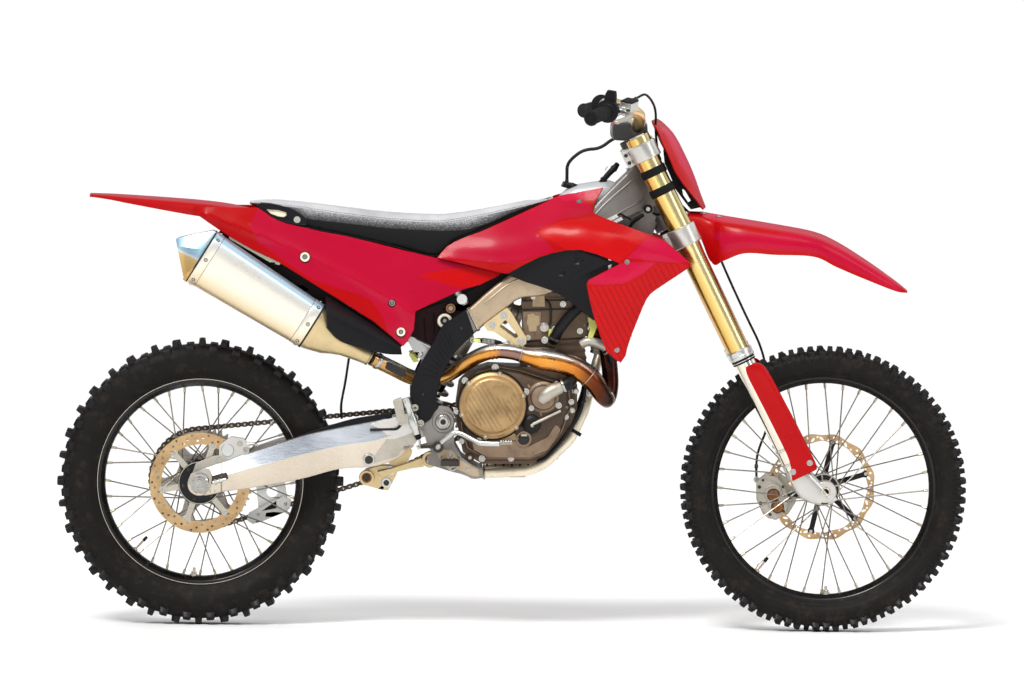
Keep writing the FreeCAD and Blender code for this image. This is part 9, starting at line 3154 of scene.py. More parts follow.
for u, v, r in ((566.4, 408.6, 4.2), (572.2, 410.4, 4.6), (576.0, 391.2, 4.6)):
    q = S(u, v, -104)
    B.use(1)
    B.cyl(V(q.x, -92, q.z), V(q.x, -109, q.z), r + 2.4, n=24, ch=1.0)
    B.use(3)
    B.bolt(V(q.x, -109, q.z), V(0, -1, 0), r, 3.4, "hex")
B.finish("fittings_coolant", "chassis", [], ["yellow_part", "cast_alloy", "hose_rubber", "steel"], bevel=0.6, angle=34)

# ---------------------------------------------------------------- radiators
B = Body()
B.use(0)
ruv = [(609.6, 250), (622.4, 246), (625.4, 341), (611.6, 342)]
B.prism(ruv, -156, -86, -120)
# fins across the face, front and back
for face_k in (0, 1):
    u0, v0 = ((622.4, 246), (609.6, 250))[face_k]
    u1, v1 = ((625.4, 341), (611.6, 342))[face_k]
    for k in range(34):
        t = (k + 0.5) / 34
        p = S(u0 + (u1 - u0) * t, v0 + (v1 - v0) * t, -121)
        sx = 1 if face_k == 0 else -1
        B.use(0 if k % 4 else 1)
        B.box(V(p.x + sx * 0.8, -121, p.z), V(1, 0, 0), YY, V(0, 0, 1), 1.5, 34.4, 1.0 if k % 4 else 2.0, 0.9)
# side tanks and end plates
B.use(1)
for y0, y1 in ((-161, -154), (-88, -81)):
    B.prism(round_poly([(607.4, 247.2), (624.4, 241.6), (627.8, 344.2), (609.4, 345.4)], 2.2), y0, y1, -120)
B.prism(round_poly([(607, 246.8), (624.6, 241.2), (625.2, 250), (607.8, 254)], 1.6), -158, -84, -120)
B.prism(round_poly([(609.2, 337.4), (627.6, 336.4), (628, 344.4), (609.4, 345.6)], 1.6), -158, -84, -120)
# spigots
for u, v in ((609, 256), (611, 336)):
    p = S(u, v, -98)
    B.cyl(V(p.x + 2, -98, p.z), V(p.x - 18, -98, p.z), 10, n=26)
    B.ring(V(p.x - 14, -98, p.z), V(p.x - 17.6, -98, p.z), 11.2, 8, n=26)
# louvres ahead of the core
B.use(2)
for k in range(9):
    t = (k + 0.5) / 9
    p = S(624.6 + 3 * t, 248 + 92 * t, -121)
    B.box(V(p.x + 5.5, -121, p.z), unit(V(1, 0, -0.42)), YY, unit(V(0.42, 0, 1)), 5.6, 34.6, 1.1, 0.9)
for y in (-156.6, -86):
    a, b = S(626.4, 247, y), S(629.6, 341, y)
    B.box((a + b) * 0.5 + V(3.6, 0, 0), V(0, 0, 1), YY, V(1, 0, 0), (a - b).length / 2, 2.0, 5.0, 0.9)
# the outer tank follows the shroud inward toward its foot
z_hi, z_lo = S(616, 282, -120).z, S(616, 346, -120).z
for i_, p in enumerate(B.v):
    if p.y < -86:
        f = max(0.0, min(1.0, (z_hi - p.z) / (z_hi - z_lo)))
        B.v[i_] = V(p.x, -86 + (p.y + 86) * (1.0 - 0.34 * f), p.z)
B.mirror_y()
# filler cap on the right-hand unit
B.use(1)
p = S(614.6, 243.6, -104)
B.revolve(V(p.x, -104, p.z - 6), V(0, 0, 1), [(0, 0), (12, 0), (12, 6), (16, 7), (17, 9), (17, 13), (15, 15), (0, 15.4)], 36)
B.finish("cores_radiator", "chassis", ["radiators"], ["core", "subframe_alloy", "black_plastic"], bevel=0.5, angle=34)


# ================================================================ EXHAUST
ex = [(S(586, 326, -38), 19.5), (S(597, 331, -46), 19.5), (S(605.5, 343, -54), 19.5), (S(609, 362, -60), 19.5), (S(610.5, 384, -68), 19.5), (S(608, 398, -80), 19.5), (S(603, 396, -100), 20.5), (S(593, 380.5, -114), 24.5), (S(578, 369, -122), 26), (S(563, 362.8, -125), 26.6), (S(550, 360, -126), 27), (S(540, 358.3, -126), 26.5), (S(526, 355.6, -124), 20), (S(512, 352, -122), 18.4), (S(496, 351, -118), 18), (S(482, 354.5, -110), 18), (S(467, 362.5, -88), 18), (S(449, 374, -58), 18), (S(430, 379.5, -54), 18), (S(411, 377, -61), 18), (S(393, 368.5, -88), 18), (S(372, 358.3, -112), 18)]
B = Body()
B.use(0)
B.tube([p for p, r in ex], [r for p, r in ex], n=34, per=9)
P = crom([p for p, r in ex], 9)
R = crom([r for p, r in ex], 9)


def pipe_ring(i, r_add, w, use):
    B.use(use)
    t = unit(P[min(i + 1, len(P) - 1)] - P[max(i - 1, 0)])
    B.revolve(P[i] - t * w, t, [(R[i] - 1, 0), (R[i] + r_add * 0.6, 0), (R[i] + r_add, w * 0.5), (R[i] + r_add, w * 1.5), (R[i] + r_add * 0.6, w * 2), (R[i] - 1, w * 2)], 40, closed=True)


def pipe_bead(i, r=1.5):
    t = unit(P[min(i + 1, len(P) - 1)] - P[max(i - 1, 0)])
    a, b = perp(t)
    B.use(1)
    bead(B, [P[i] + a * ((R[i] + 0.3) * math.cos(2 * math.pi * k / 22)) + b * ((R[i] + 0.3) * math.sin(2 * math.pi * k / 22)) for k in range(22)], r, 4.0, closed=True)


for i in (20, 48, 66):
    pipe_bead(i)
pipe_bead(111, 1.3)
pipe_ring(4, 3.2, 5.0, 2)
pipe_ring(126, 1.6, 2.2, 0)
pipe_ring(129, 1.6, 2.0, 0)
pipe_ring(186, 2.2, 5.0, 2)
# long pressed seam over the chamber, and the plates welded under it
B.use(1)
seam = [P[i] + V(0, -(R[i] + 0.1) * 0.92, (R[i] + 0.1) * 0.38) for i in range(70, 113)]
B.tube(seam, 0.9, n=6, smooth=False)
B.use(0)
for u0, u1, v0, v1 in ((548.0, 554.4, 357.6, 369.4), (567.4, 574.0, 361.6, 374.6)):
    lines = []
    for (u, v) in ((u0, v0), (u1, v0 + 0.8), (u1 - 0.2, v1 + 0.4), (u0 + 0.6, v1)):
        p = S(u, v, -126)
        # drop the point on to the chamber's wall
        j = min(range(len(P)), key=lambda i: math.hypot(P[i].x - p.x, 0))
        dz = p.z - P[j].z
        rr = R[j] + 1.1
        y = P[j].y - math.sqrt(max(rr * rr - min(dz * dz, rr * rr * 0.96), 4.0))
        lines.append(V(p.x, y, p.z))
    B.use(5)
    B.tube([lines[0], lines[1], lines[2]], 1.15, n=7, smooth=False)
# spring clamp with its levers ahead of the guard
B.use(3)
p, q = S(474, 339.6, -118), S(503, 343.2, -120)
B.tube([p, p + (q - p) * 0.3, p + (q - p) * 0.75, q], [3.4, 6.0, 6.0, 3.0], n=16, per=4)
B.use(2)
n_ = 90
sp_ = []
ax_ = unit(q - p)
aa, bb = perp(ax_)
for i in range(n_):
    t = i / (n_ - 1)
    a = 2 * math.pi * 9 * t
    sp_.append(p + (q - p) * (0.3 + 0.42 * t) + aa * (6.6 * math.cos(a)) + bb * (6.6 * math.sin(a)))
B.tube(sp_, 1.1, n=7, smooth=False)
B.use(4)
B.box(S(477, 340.2, -120), ax_, YY, unit(ax_.cross(YY)), 9, 4, 3.6, 0.8)
B.use(2)
B.tube([S(500, 343, -120), S(507, 341.6, -122), S(512.6, 346.6, -121)], [2.2, 2.2, 2.2], n=10, per=5)
for u, v in ((472.6, 340.2), (512.8, 347.4)):
    c = S(u, v, -118)
    B.ring(V(c.x, -123, c.z), V(c.x, -117, c.z), 6.6, 3.4, n=24)
# heat shield of the link pipe behind the guard, with its slot
B.use(5)
B.prism(round_poly([(384.4, 363.6), (388.2, 361.6), (406.4, 370.6), (405.4, 375.6), (400.6, 376.6), (385.6, 368.8)], 1.4, 3), -116, -106, -110)
B.finish("header_pipe", "chassis", ["exhaust_pipe"], ["heat_pipe", "weld", "steel", "black_rubber", "yellow_part", "dark_void"], angle=40)

# ---------------------------------------------------------------- silencer
E0, E1 = S(311, 325.2, -122), S(201.8, 256.4, -128)
AX = E1 - E0
an = unit(AX)
up_ = V(0, 0, 1) - an * an.z
up_.normalize()
sd_ = an.cross(up_)
sd_.normalize()
LS = AX.length


def oval(c, ra, rb, n=44, p=3.2):
    res = []
    for k in range(n):
        t = 2 * math.pi * k / n
        ct, st_ = math.cos(t), math.sin(t)
        res.append(c + up_ * (ra * math.copysign(abs(ct) ** (2 / p), ct)) + sd_ * (rb * math.copysign(abs(st_) ** (2 / p), st_)))
    return res


B = Body()
B.use(0)
secs = []
for k in range(9):
    t = k / 8
    secs.append(oval(E0 + AX * t, 58 + 11.5 * t, 50 + 6 * t))
B.loft(secs)
# bands, end seams and rivets
B.use(0)
for t0, t1, g in ((-0.006, 0.075, 0.9), (0.93, 1.004, 0.9)):
    B.loft([oval(E0 + AX * t0, 58 + 11.5 * t0 + g * 0.4, 50 + 6 * t0 + g * 0.4), oval(E0 + AX * (t0 + 0.004), 58 + 11.5 * t0 + g, 50 + 6 * t0 + g), oval(E0 + AX * (t1 - 0.004), 58 + 11.5 * t1 + g, 50 + 6 * t1 + g), oval(E0 + AX * t1, 58 + 11.5 * t1 + g * 0.4, 50 + 6 * t1 + g * 0.4)])
B.use(2)
for t in (-0.008, 1.004):
    B.loft([oval(E0 + AX * (t - 0.007), 58 + 11.5 * t + 1.4, 50 + 6 * t + 1.4), oval(E0 + AX * (t + 0.007), 58 + 11.5 * t + 1.4, 50 + 6 * t + 1.4)])
for t in (0.078, 0.928):
    B.loft([oval(E0 + AX * (t - 0.0012), 58 + 11.5 * t + 0.5, 50 + 6 * t + 0.5), oval(E0 + AX * (t + 0.0012), 58 + 11.5 * t + 0.5, 50 + 6 * t + 0.5)])
B.use(3)
for t in (0.03, 0.962):
    for a in [s_ * math.pi / 2 + d_ for s_ in (-1, 1) for d_ in (-0.78, 0.0, 0.78)] + [0.0, math.pi]:
        ct, st_ = math.cos(a), math.sin(a)
        ra, rb = 58 + 11.5 * t + 0.9, 50 + 6 * t + 0.9
        o = up_ * (ra * math.copysign(abs(ct) ** 0.625, ct)) + sd_ * (rb * math.copysign(abs(st_) ** 0.625, st_))
        B.use(2)
        B.cyl(E0 + AX * t + o - unit(o) * 2.0, E0 + AX * t + o + unit(o) * 0.3, 5.2, n=24)
        B.use(3)
        B.bolt(E0 + AX * t + o - unit(o) * 0.2, o, 4.1, 2.4, "dome")
# bright end cap, folded to a facet, with its outlet
B.use(9)
ec0, ec1 = S(176.4, 238.8, -128), S(184.6, 279.2, -128)
eu = unit(ec0 - ec1)
en = V(-eu.z, 0, eu.x)
en = en if en.x < 0 else -en
emid = (ec0 + ec1) / 2


def wedge(c, ua, ra, rb, top, cw):
    """Eight-sided section: flat flank, a long upper facet and a short lower one."""
    z = [(-rb + cw, ra), (rb - cw, ra), (rb, ra - top), (rb, -ra + top * 0.45), (rb - cw * 0.7, -ra), (-rb + cw * 0.7, -ra), (-rb, -ra + top * 0.45), (-rb, ra - top)]
    return [c + ua * q + YY * p for p, q in z]


B.loft([wedge(E1 + AX * 0.004, up_, 68.6, 55.6, 52, 22), wedge(E1 + AX * 0.03, up_, 68.4, 55.4, 51, 22), wedge(emid + (E1 - emid) * 0.1, unit(eu + up_ * 0.08), 51.6, 42.6, 20, 13), wedge(emid, eu, 48.4, 39, 17, 12), wedge(emid - en * 1.4, eu, 41, 32, 14, 10), wedge(emid - en * 1.6, eu, 39, 30, 14, 10), wedge(emid - en * 12, eu, 34, 27, 12, 9)], True, True)
oa = en
oc = emid - en * 3.4 - eu * 3
t1 = emid
B.use(5)
B.revolve(oc - oa * 22, oa, [(19.0, 0), (22.0, 0), (22.2, 22), (23.0, 24.5), (22.0, 26), (19.8, 26), (19.0, 24)], 44, closed=True)
# dark disc set inside the outlet: painted shade of its bore
B.use(6)
B.revolve(oc - oa * 12, oa, [(0, 0), (19.2, 0), (19.2, 3), (0, 3.2)], 36)
B.use(3)
for k in range(4):
    a = 2 * math.pi * (k + 0.5) / 4
    c = t1 + eu * (36 * math.cos(a)) + YY * (35 * math.sin(a))
    B.bolt(c - en * 2.2, en, 3.0, 2.6, "socket")
# entry cone, gold toned, with weld
B.use(7)
c0, c1, c2 = S(371, 357.8, -112.6), S(346, 346.0, -118), S(330, 337.5, -121)
path = [(E0 - AX * 0.004, 57, 49, 3.1), (E0 + (c2 - E0) * 0.25, 55.6, 47, 3.0), (c2, 44, 34.6, 2.5), (S(338, 341.8, -119.6), 34, 29, 2.2), (c1, 26.4, 24.4, 2.1), (S(360, 352.8, -115), 21.6, 21, 2.0), (c0, 20, 20, 2.0)]
B.loft([oval(c, ra, rb, p=p) for c, ra, rb, p in path])
B.use(8)
bead(B, oval(c0 + unit(c1 - c0) * 3, 20.6, 20.6, 24, 2.0), 1.5, 4.0, closed=True)
# hanger bracket on the inner side
B.use(1)
hb = S(268, 282, -80)
B.box(V(hb.x, -72, hb.z), an, YY, up_, 16, 9, 12, 0.85)
B.bolt(V(hb.x, -66, hb.z), V(0, 1, 0), 5, 4, "hex")
B.finish("can_silencer", "chassis", ["silencer"], ["silencer_skin", "machined", "dark_void", "steel", "chrome", "steel_dark", "dark_void", "bracket_gold", "weld", "cap_skin"], bevel=None, angle=30)

# ---------------------------------------------------------------- air box, lower covers, mud flap
B = Body()
B.use(0)
abox = round_poly([(338, 252), (420, 264), (476, 272), (486, 296), (470, 312), (452, 312), (428, 322), (404, 326), (368, 303), (344, 280)], 4)
B.prism(abox, -50, 50, 0)
for k in range(6):
    u = 366 + k * 17
    B.prism([(u, 270 + k * 2.4), (u + 3, 270.4 + k * 2.4), (u + 3, 300 + k * 0.6), (u, 299 + k * 0.6)], -52, 52, 0)
# intake boot from the box to the throttle
B.use(2)
B.tube([S(482, 301, 0), S(487, 304, 0), S(492, 307, 0)], [34, 31, 28.6], n=36, per=5)
# mud flap
B.use(1)
fl = crom([(366, 300), (357, 326), (349.5, 352), (345, 380), (340.6, 404), (341, 418)], 4)
G = []
for u, v in fl:
    G.append([V(S(u, v, 0).x - 1.5 * math.cos(1.6 * j / 6), 46 * j / 6, S(u, v, 0).z) for j in range(-6, 7)])
grid_shell(B, G, 4.4, lambda p: V(p.x + 50, p.y, p.z))
B.use(3)
for y in (-34, 34):
    p = S(357, 326, 0)
    B.bolt(V(p.x - 1.4, y, p.z), unit(V(-1, 0, 0.3)), 4, 2.4, "washer")
# side covers below the panels
lc = [[(326, 295, -121), (326.5, 308, -166), (327.5, 328, -168)], [(340, 304, -120), (341, 318, -158), (340, 341, -156)], [(364, 319, -119), (364, 330, -146), (364, 349, -148)], [(384, 333, -118), (385, 340, -134), (386, 354, -136)], [(400, 345.5, -118), (401, 348, -124), (402, 354.5, -126)]]
dense = []
for stn in lc:
    dense.append(crom([(a, b, c) for a, b, c in stn], 6))
cols = len(dense[0])
grid = []
for j in range(cols):
    grid.append(crom([dense[i][j] for i in range(len(dense))], 5))
s0, f0 = len(B.v), len(B.f)
G = [[S(u, v, y) for u, v, y in row] for row in grid]
B.use(0)
grid_shell(B, G, 2.8, lambda p: V(p.x, -80, p.z))
B.finish("box_air", "chassis", ["air_box"], ["black_plastic", "black_rubber", "hose_rubber", "steel"], bevel=0.8, angle=34)

# ================================================================ CHAIN
C1 = V(AXLE_R.x, CHAIN_Y, AXLE_R.z)
C2 = V(FSPR.x, CHAIN_Y, FSPR.z)
R1c, R2c = PITCH / (2 * math.sin(math.pi / TEETH)), R2


def tangent(c, r, p, way):
    d = V(p.x - c.x, 0, p.z - c.z)
    a = math.atan2(d.z, d.x) + way * math.acos(r / d.length)
    return V(c.x + r * math.cos(a), c.y, c.z + r * math.sin(a))


dd = C2 - C1
base = math.atan2(dd.z, dd.x)
phi = math.acos((R1c - R2c) / dd.length)
up1 = V(C1.x + R1c * math.cos(base + phi), CHAIN_Y, C1.z + R1c * math.sin(base + phi))
up2 = V(C2.x + R2c * math.cos(base + phi), CHAIN_Y, C2.z + R2c * math.sin(base + phi))
SLACK = S(392, 474, CHAIN_Y)
lo1 = tangent(C1, R1c, SLACK, -1)
lo2 = tangent(C2, R2c, SLACK, 1)
u_, w_ = unit(lo1 - SLACK), unit(lo2 - SLACK)
ang_ = math.acos(u_.dot(w_))
CUT = 120.0
s1_, s2_ = SLACK + u_ * CUT, SLACK + w_ * CUT


def arc_pts(c, r, a0, a1, n):
    return [V(c.x + r * math.cos(a0 + (a1 - a0) * k / n), CHAIN_Y, c.z + r * math.sin(a0 + (a1 - a0) * k / n)) for k in range(n + 1)]


def angle_of(c, p):
    return math.atan2(p.z - c.z, p.x - c.x)


a_lo1, a_up1 = angle_of(C1, lo1), angle_of(C1, up1)
while a_lo1 > a_up1:
    a_lo1 -= 2 * math.pi
# the wrap on the rear sprocket is the long way, round the back
a_s, a_e = a_up1, a_lo1 + 2 * math.pi
loop = arc_pts(C1, R1c, a_e, a_s, 120)
a_up2, a_lo2 = angle_of(C2, up2), angle_of(C2, lo2)
while a_lo2 > a_up2:
    a_lo2 -= 2 * math.pi
loop += [up1 + (up2 - up1) * (k / 60) for k in range(1, 60)]
loop += arc_pts(C2, R2c, a_up2, a_lo2, 60)
loop += [lo2 + (s2_ - lo2) * (k / 10) for k in range(1, 10)]
bis = unit(u_ + w_)
rr_ = CUT * math.tan(ang_ / 2)
cen = SLACK + bis * (rr_ / math.sin(ang_ / 2))
b0, b1 = angle_of(cen, s2_), angle_of(cen, s1_)
while b1 - b0 > math.pi:
    b1 -= 2 * math.pi
while b1 - b0 < -math.pi:
    b1 += 2 * math.pi
loop += arc_pts(cen, rr_, b0, b1, 30)
loop += [s1_ + (lo1 - s1_) * (k / 30) for k in range(1, 30)]
cum = [0.0]
m = len(loop)
for i in range(m):
    cum.append(cum[-1] + (loop[(i + 1) % m] - loop[i]).length)
TOTAL = cum[-1]
NL = int(round(TOTAL / PITCH / 2)) * 2


def along(s):
    s = s % TOTAL
    lo, hi = 0, m
    while hi - lo > 1:
        mid = (lo + hi) // 2
        if cum[mid] <= s:
            lo = mid
        else:
            hi = mid
    t = (s - cum[lo]) / max(1e-9, cum[lo + 1] - cum[lo])
    return loop[lo] + (loop[(lo + 1) % m] - loop[lo]) * t


# first roller sits in a gap of the rear sprocket
tooth = 2 * math.pi / TEETH
gap = (math.floor(a_e / tooth) + 0.5) * tooth
start = (a_e - gap) * R1c
step_ = TOTAL / NL
pins = [along(start + step_ * k) for k in range(NL)]
B = Body()
for k in range(NL):
    p, q = pins[k], pins[(k + 1) % NL]
    e = unit(q - p)
    h = V(-e.z, 0, e.x)
    outer_link = k % 2 == 0
    y0, y1 = (5.2, 6.9) if outer_link else (3.4, 5.0)
    rp = 7.0 if outer_link else 7.2
    L_ = (q - p).length
    prof = [(rp * math.cos(math.radians(x)), rp * math.sin(math.radians(x))) for x in (118, 150, 180, 210, 242)]
    prof += [(L_ * 0.5, -rp * 0.62)]
    prof += [(L_ + rp * math.cos(math.radians(x)), rp * math.sin(math.radians(x))) for x in (-62, -30, 0, 30, 62)]
    prof += [(L_ * 0.5, rp * 0.62)]
    B.use(0 if outer_link else 1)
    for s in (-1, 1):
        ya, yb = s * y0, s * y1
        ol = [p + e * x + h * z + V(0, ya, 0) for x, z in prof]
        n0 = len(ol)
        vs = ol + [w + V(0, yb - ya, 0) for w in ol]
        fs = [list(range(n0)), [n0 + i for i in reversed(range(n0))]] + [[i, (i + 1) % n0, n0 + (i + 1) % n0, n0 + i] for i in range(n0)]
        B.put(vs, fs)
    B.use(2)
    c = p
    r8 = []
    for y in (-7.6, 7.6):
        r8.append([c + V(2.5 * math.cos(2 * math.pi * i / 8), y, 2.5 * math.sin(2 * math.pi * i / 8)) for i in range(8)])
    B.loft(r8)
    r8 = []
    for y in (-3.3, 3.3):
        r8.append([c + V(5.0 * math.cos(2 * math.pi * i / 12), y, 5.0 * math.sin(2 * math.pi * i / 12)) for i in range(12)])
    B.loft(r8)
B.finish("chain_links", "chassis", ["chain"], ["chain_steel", "steel_dark", "steel"], angle=34)

# chain guide: pale block with dark wear pads and a triangular window
B = Body()
B.use(0)
tri = [(261.4, 511.0), (276.4, 500.6), (276.6, 508.2)]
side = round_poly([(248.4, 513.4), (262, 506.4), (284, 496.6), (291.2, 500), (290, 508.6), (284, 512.4), (262, 521.4), (252, 523.6), (246.8, 520)], 2.0)
for y0, y1 in ((CHAIN_Y + 11.4, CHAIN_Y + 15.6), (CHAIN_Y - 15.6, CHAIN_Y - 11.4)):
    B.prism(side, y0, y1, CHAIN_Y, [tri] if y0 < CHAIN_Y else [])
B.use(1)
B.prism([(260, 511.6), (277.4, 499.6), (277.6, 509.2)], CHAIN_Y - 12.4, CHAIN_Y - 11.2, CHAIN_Y)
B.prism(round_poly([(250.4, 521.4), (286, 506.0), (288, 510.4), (262, 521.6), (252.4, 524.0)], 0.8, 2), CHAIN_Y - 12.2, CHAIN_Y + 12.2, CHAIN_Y)
B.use(2)
B.prism(round_poly([(256, 484.6), (284, 477.6), (287.6, 499), (283, 503), (262, 511), (258.4, 509)], 2.4), 84.6, 88.4, 86, [circle_uv(272, 492, 5.5, 20)])
B.use(3)
for u, v in ((263, 489), (280, 484.4), (258, 514), (285.6, 503)):
    p = S(u, v, 88)
    B.bolt(V(p.x, 88.4 if v < 495 else 84.6, p.z), YY, 4.2, 3.0, "hex")
    if v > 495:
        B.bolt(V(p.x, CHAIN_Y - 15.6, p.z), V(0, -1, 0), 4.0, 2.4, "dome")
B.finish("guide_chain", "chassis", ["chain_guide"], ["white_plastic", "black_plastic", "machined", "steel"], bevel=0.8, angle=34)

# ================================================================ FOOTPEGS
B = Body()
b = S(450, 461.5, -118)
x, z = b.x, b.z
B.use(0)
# cleated frame: front and rear blades with teeth, end loops and a middle web
for sx in (-1, 1):
    for i in range(9):
        y0 = -199.0 + i * 8.4
        c = V(x + sx * 20.6, y0 + 4.2, z + 1)
        B.box(c, V(1, 0, 0), YY, V(0, 0, 1), 2.0, 4.2, 7.6, 1.0)
        # tooth
        B.loft([[V(c.x + i2 * 2.0, c.y + j2 * 3.8, z + 8.4) for i2, j2 in ((-1, -1), (1, -1), (1, 1), (-1, 1))], [V(c.x + i2 * 1.1, c.y + j2 * 1.1, z + 13.0) for i2, j2 in ((-1, -1), (1, -1), (1, 1), (-1, 1))]])
for i, y in enumerate((-198, -174, -150, -128)):
    B.box(V(x, y, z - 0.4), V(1, 0, 0), YY, V(0, 0, 1), 21.0, 2.2, 6.4, 1.0)
    if i < 3:
        for j in (-0.5, 0, 0.5):
            c = V(x + j * 20, y, z + 5.6)
            B.loft([[V(c.x + i2 * 2.8, c.y + j2 * 2.0, c.z) for i2, j2 in ((-1, -1), (1, -1), (1, 1), (-1, 1))], [V(c.x + i2 * 1.0, c.y + j2 * 1.0, c.z + 5.2) for i2, j2 in ((-1, -1), (1, -1), (1, 1), (-1, 1))]])
B.tube([V(x, -128, z - 4), V(x, -160, z - 6), V(x, -197, z - 3)], [7.5, 5.6, 4.2], n=16, per=4)
# clevis and hinge pin, return spring
B.use(1)
B.prism(round_poly([(444.6, 457.4), (456, 457.4), (457.4, 466), (450, 469.4), (445, 466.4)], 2.2), -127, -112.6, -118)
B.use(2)
B.cyl(V(x - 17, -121, z), V(x + 17, -121, z), 5.2, n=22)
for s in (-1, 1):
    B.bolt(V(x + s * 16, -121, z), V(s, 0, 0), 4.6, 3.4, "hex")
sp_ = []
for i in range(70):
    a = 2 * math.pi * 6 * i / 69
    sp_.append(V(x - 11 + 22 * i / 69, -121 + 8.0 * math.cos(a), z + 8.0 * math.sin(a)))
B.tube(sp_, 1.2, n=7, smooth=False)
B.use(1)
u0 = [S(447.4, 459.6, -114), S(447.4, 466.4, -114), S(452.4, 470.4, -114), S(457.6, 466.4, -114), S(457.4, 460, -114)]
B.tube([V(p.x, -115.4, p.z) for p in u0], 3.2, n=14, per=6)
B.mirror_y()
B.finish("pegs_foot", "chassis", ["footpegs"], ["steel_dark", "cast_alloy", "steel"], bevel=0.5, angle=34)

# ================================================================ FOOT CONTROLS
B = Body()
B.use(0)
bp = [S(438, 447, -128), S(444, 441, -130), S(453, 433.6, -133), S(461, 434.0, -137), S(470, 438.6, -146), S(479.5, 443.2, -153), S(490, 444.0, -158), S(499.6, 444.2, -160)]
B.tube(bp, [7.4, 6.8, 6.4, 6.2, 6.0, 6.0, 6.0, 6.0], n=20, per=6, squash=(YY, 0.72))
tip = S(506.2, 443.2, -160)
B.use(3)
# cleated pad
B.box(V(tip.x, -160, tip.z), V(1, 0, 0.02), YY, V(0, 0, 1), 15.5, 12.2, 3.4, 0.92)
for i in range(5):
    for j in (-1, 0, 1):
        c = V(tip.x - 12 + i * 6, -160 + j * 8, tip.z + 3.0)
        B.loft([[c + V(a * 2.2, b * 3.0, 0) for a, b in ((-1, -1), (1, -1), (1, 1), (-1, 1))], [c + V(a * 1.0, b * 1.4, 3.6) for a, b in ((-1, -1), (1, -1), (1, 1), (-1, 1))]])
B.use(1)
p = S(438, 447, -120)
B.ring(V(p.x, -134, p.z), V(p.x, -112.4, p.z), 13.4, 6.4, n=36, ch=1.2)
B.use(2)
B.bolt(V(p.x, -132, p.z), V(0, -1, 0), 6.2, 3.6, "socket")
# rod, clevis and springs up to the master cylinder
B.use(1)
q = S(420.4, 446.6, -124)
B.tube([V(p.x, -124, p.z), V((p.x + q.x) / 2, -124, (p.z + q.z) / 2 + 1), V(q.x, -124, q.z)], [7.0, 5.4, 5.6], n=16, per=4, squash=(YY, 0.6))
B.use(2)
B.tube([V(q.x, -124, q.z - 4), V(S(419.4, 437, 0).x, -124, S(419.4, 437, 0).z)], [2.8, 2.8], n=12, smooth=False)
sp_ = []
a0, a1 = S(417, 448, -122), S(428, 444.6, -118)
e = unit(a1 - a0)
f1, f2 = perp(e)
for i in range(80):
    a = 2 * math.pi * 8 * i / 79
    sp_.append(a0 + (a1 - a0) * (i / 79) + f1 * (4.6 * math.cos(a)) + f2 * (4.6 * math.sin(a)))
B.tube(sp_, 1.1, n=7, smooth=False)
# gear lever on the left
B.use(0)
gp = [S(474, 446, 128), S(486, 444, 132), S(506, 438, 135), S(524, 432, 138)]
B.tube(gp, [7.0, 6.0, 5.4, 5.2], n=18, per=6, squash=(YY, 0.8))
sh = S(474, 446, 118)
B.ring(V(sh.x, 112.6, sh.z), V(sh.x, 136, sh.z), 11.4, 5.4, n=32, ch=1.2)
B.use(2)
B.bolt(V(sh.x, 134, sh.z), YY, 5.6, 3.4, "hex")
tp = S(524, 432, 138)
B.use(1)
n_ = 26
secs = []
for h, r in ((132, 6.4), (134, 7.6), (162, 7.6), (164, 6.6)):
    secs.append([V(tp.x + (r - (0.7 if i % 2 else 0)) * math.cos(2 * math.pi * i / n_), h, tp.z + (r - (0.7 if i % 2 else 0)) * math.sin(2 * math.pi * i / n_)) for i in range(n_)])
B.loft(secs)
B.finish("pedals_foot", "chassis", ["foot_controls"], ["machined", "steel_dark", "steel", "hub_alloy"], bevel=0.6, angle=34)

# ================================================================ BRAKES
B = Body()
B.use(0)
# front caliper: two halves bridged over the disc, pistons toward the wheel
cu_ = round_poly([(756.6, 482), (767, 472.8), (780, 473.6), (791, 480), (797, 490), (796.4, 503), (789, 514.6), (776, 521), (764, 516), (757, 500)], 3)
B.prism(cu_, 69.2, 78.6, 62)
half = round_poly([(757.6, 485), (766, 475.0), (777, 476.6), (784, 485), (788.4, 498), (786, 511), (778, 519.4), (768, 518.6), (758.4, 503)], 2.4)
B.prism(half, 46.6, 54.4, 62)
bridge = round_poly([(757, 482), (766.4, 473.2), (770.6, 474), (766, 482.6), (763.4, 494), (765.4, 506), (770.4, 517.6), (766.4, 516.6), (758, 500)], 1.6)
B.prism(bridge, 48, 77, 62)
B.use(1)
for u, v in ((773.4, 486.6), (776.8, 503.0)):
    p = S(u, v, 78)
    B.revolve(V(p.x, 77.6, p.z), YY, [(0, 0), (16.4, 0), (16.4, 3.0), (14.8, 4.6), (8.0, 5.2), (7.0, 3.8), (0, 3.8)], 44)
for u, v in ((773.8, 495.4), (778.0, 507.4)):
    p = S(u, v, 48)
    B.use(1)
    B.revolve(V(p.x, 47, p.z), V(0, -1, 0), [(0, 0), (13.6, 0), (13.6, 4.6), (12.6, 5.6), (5.4, 5.0), (4.6, 3.4), (0, 3.4)], 44)
    B.use(2)
    B.revolve(V(p.x, 47, p.z), V(0, -1, 0), [(13.5, 0), (15.4, 0), (15.4, 3.6), (14.6, 4.6), (13.5, 4.8)], 44, closed=True)
    B.cyl(V(p.x, 44, p.z), V(p.x, 43.0, p.z), 2.2, n=14)
for u, v, r_ in ((759.8, 487.4, 4.2), (763.4, 480.6, 3.2), (761.2, 503.6, 4.2), (770.6, 515.0, 3.6), (783.4, 487.2, 3.4), (784.0, 511.6, 3.4)):
    p = S(u, v, 46)
    B.bolt(V(p.x, 46.8, p.z), V(0, -1, 0), r_, 3.4, "socket")
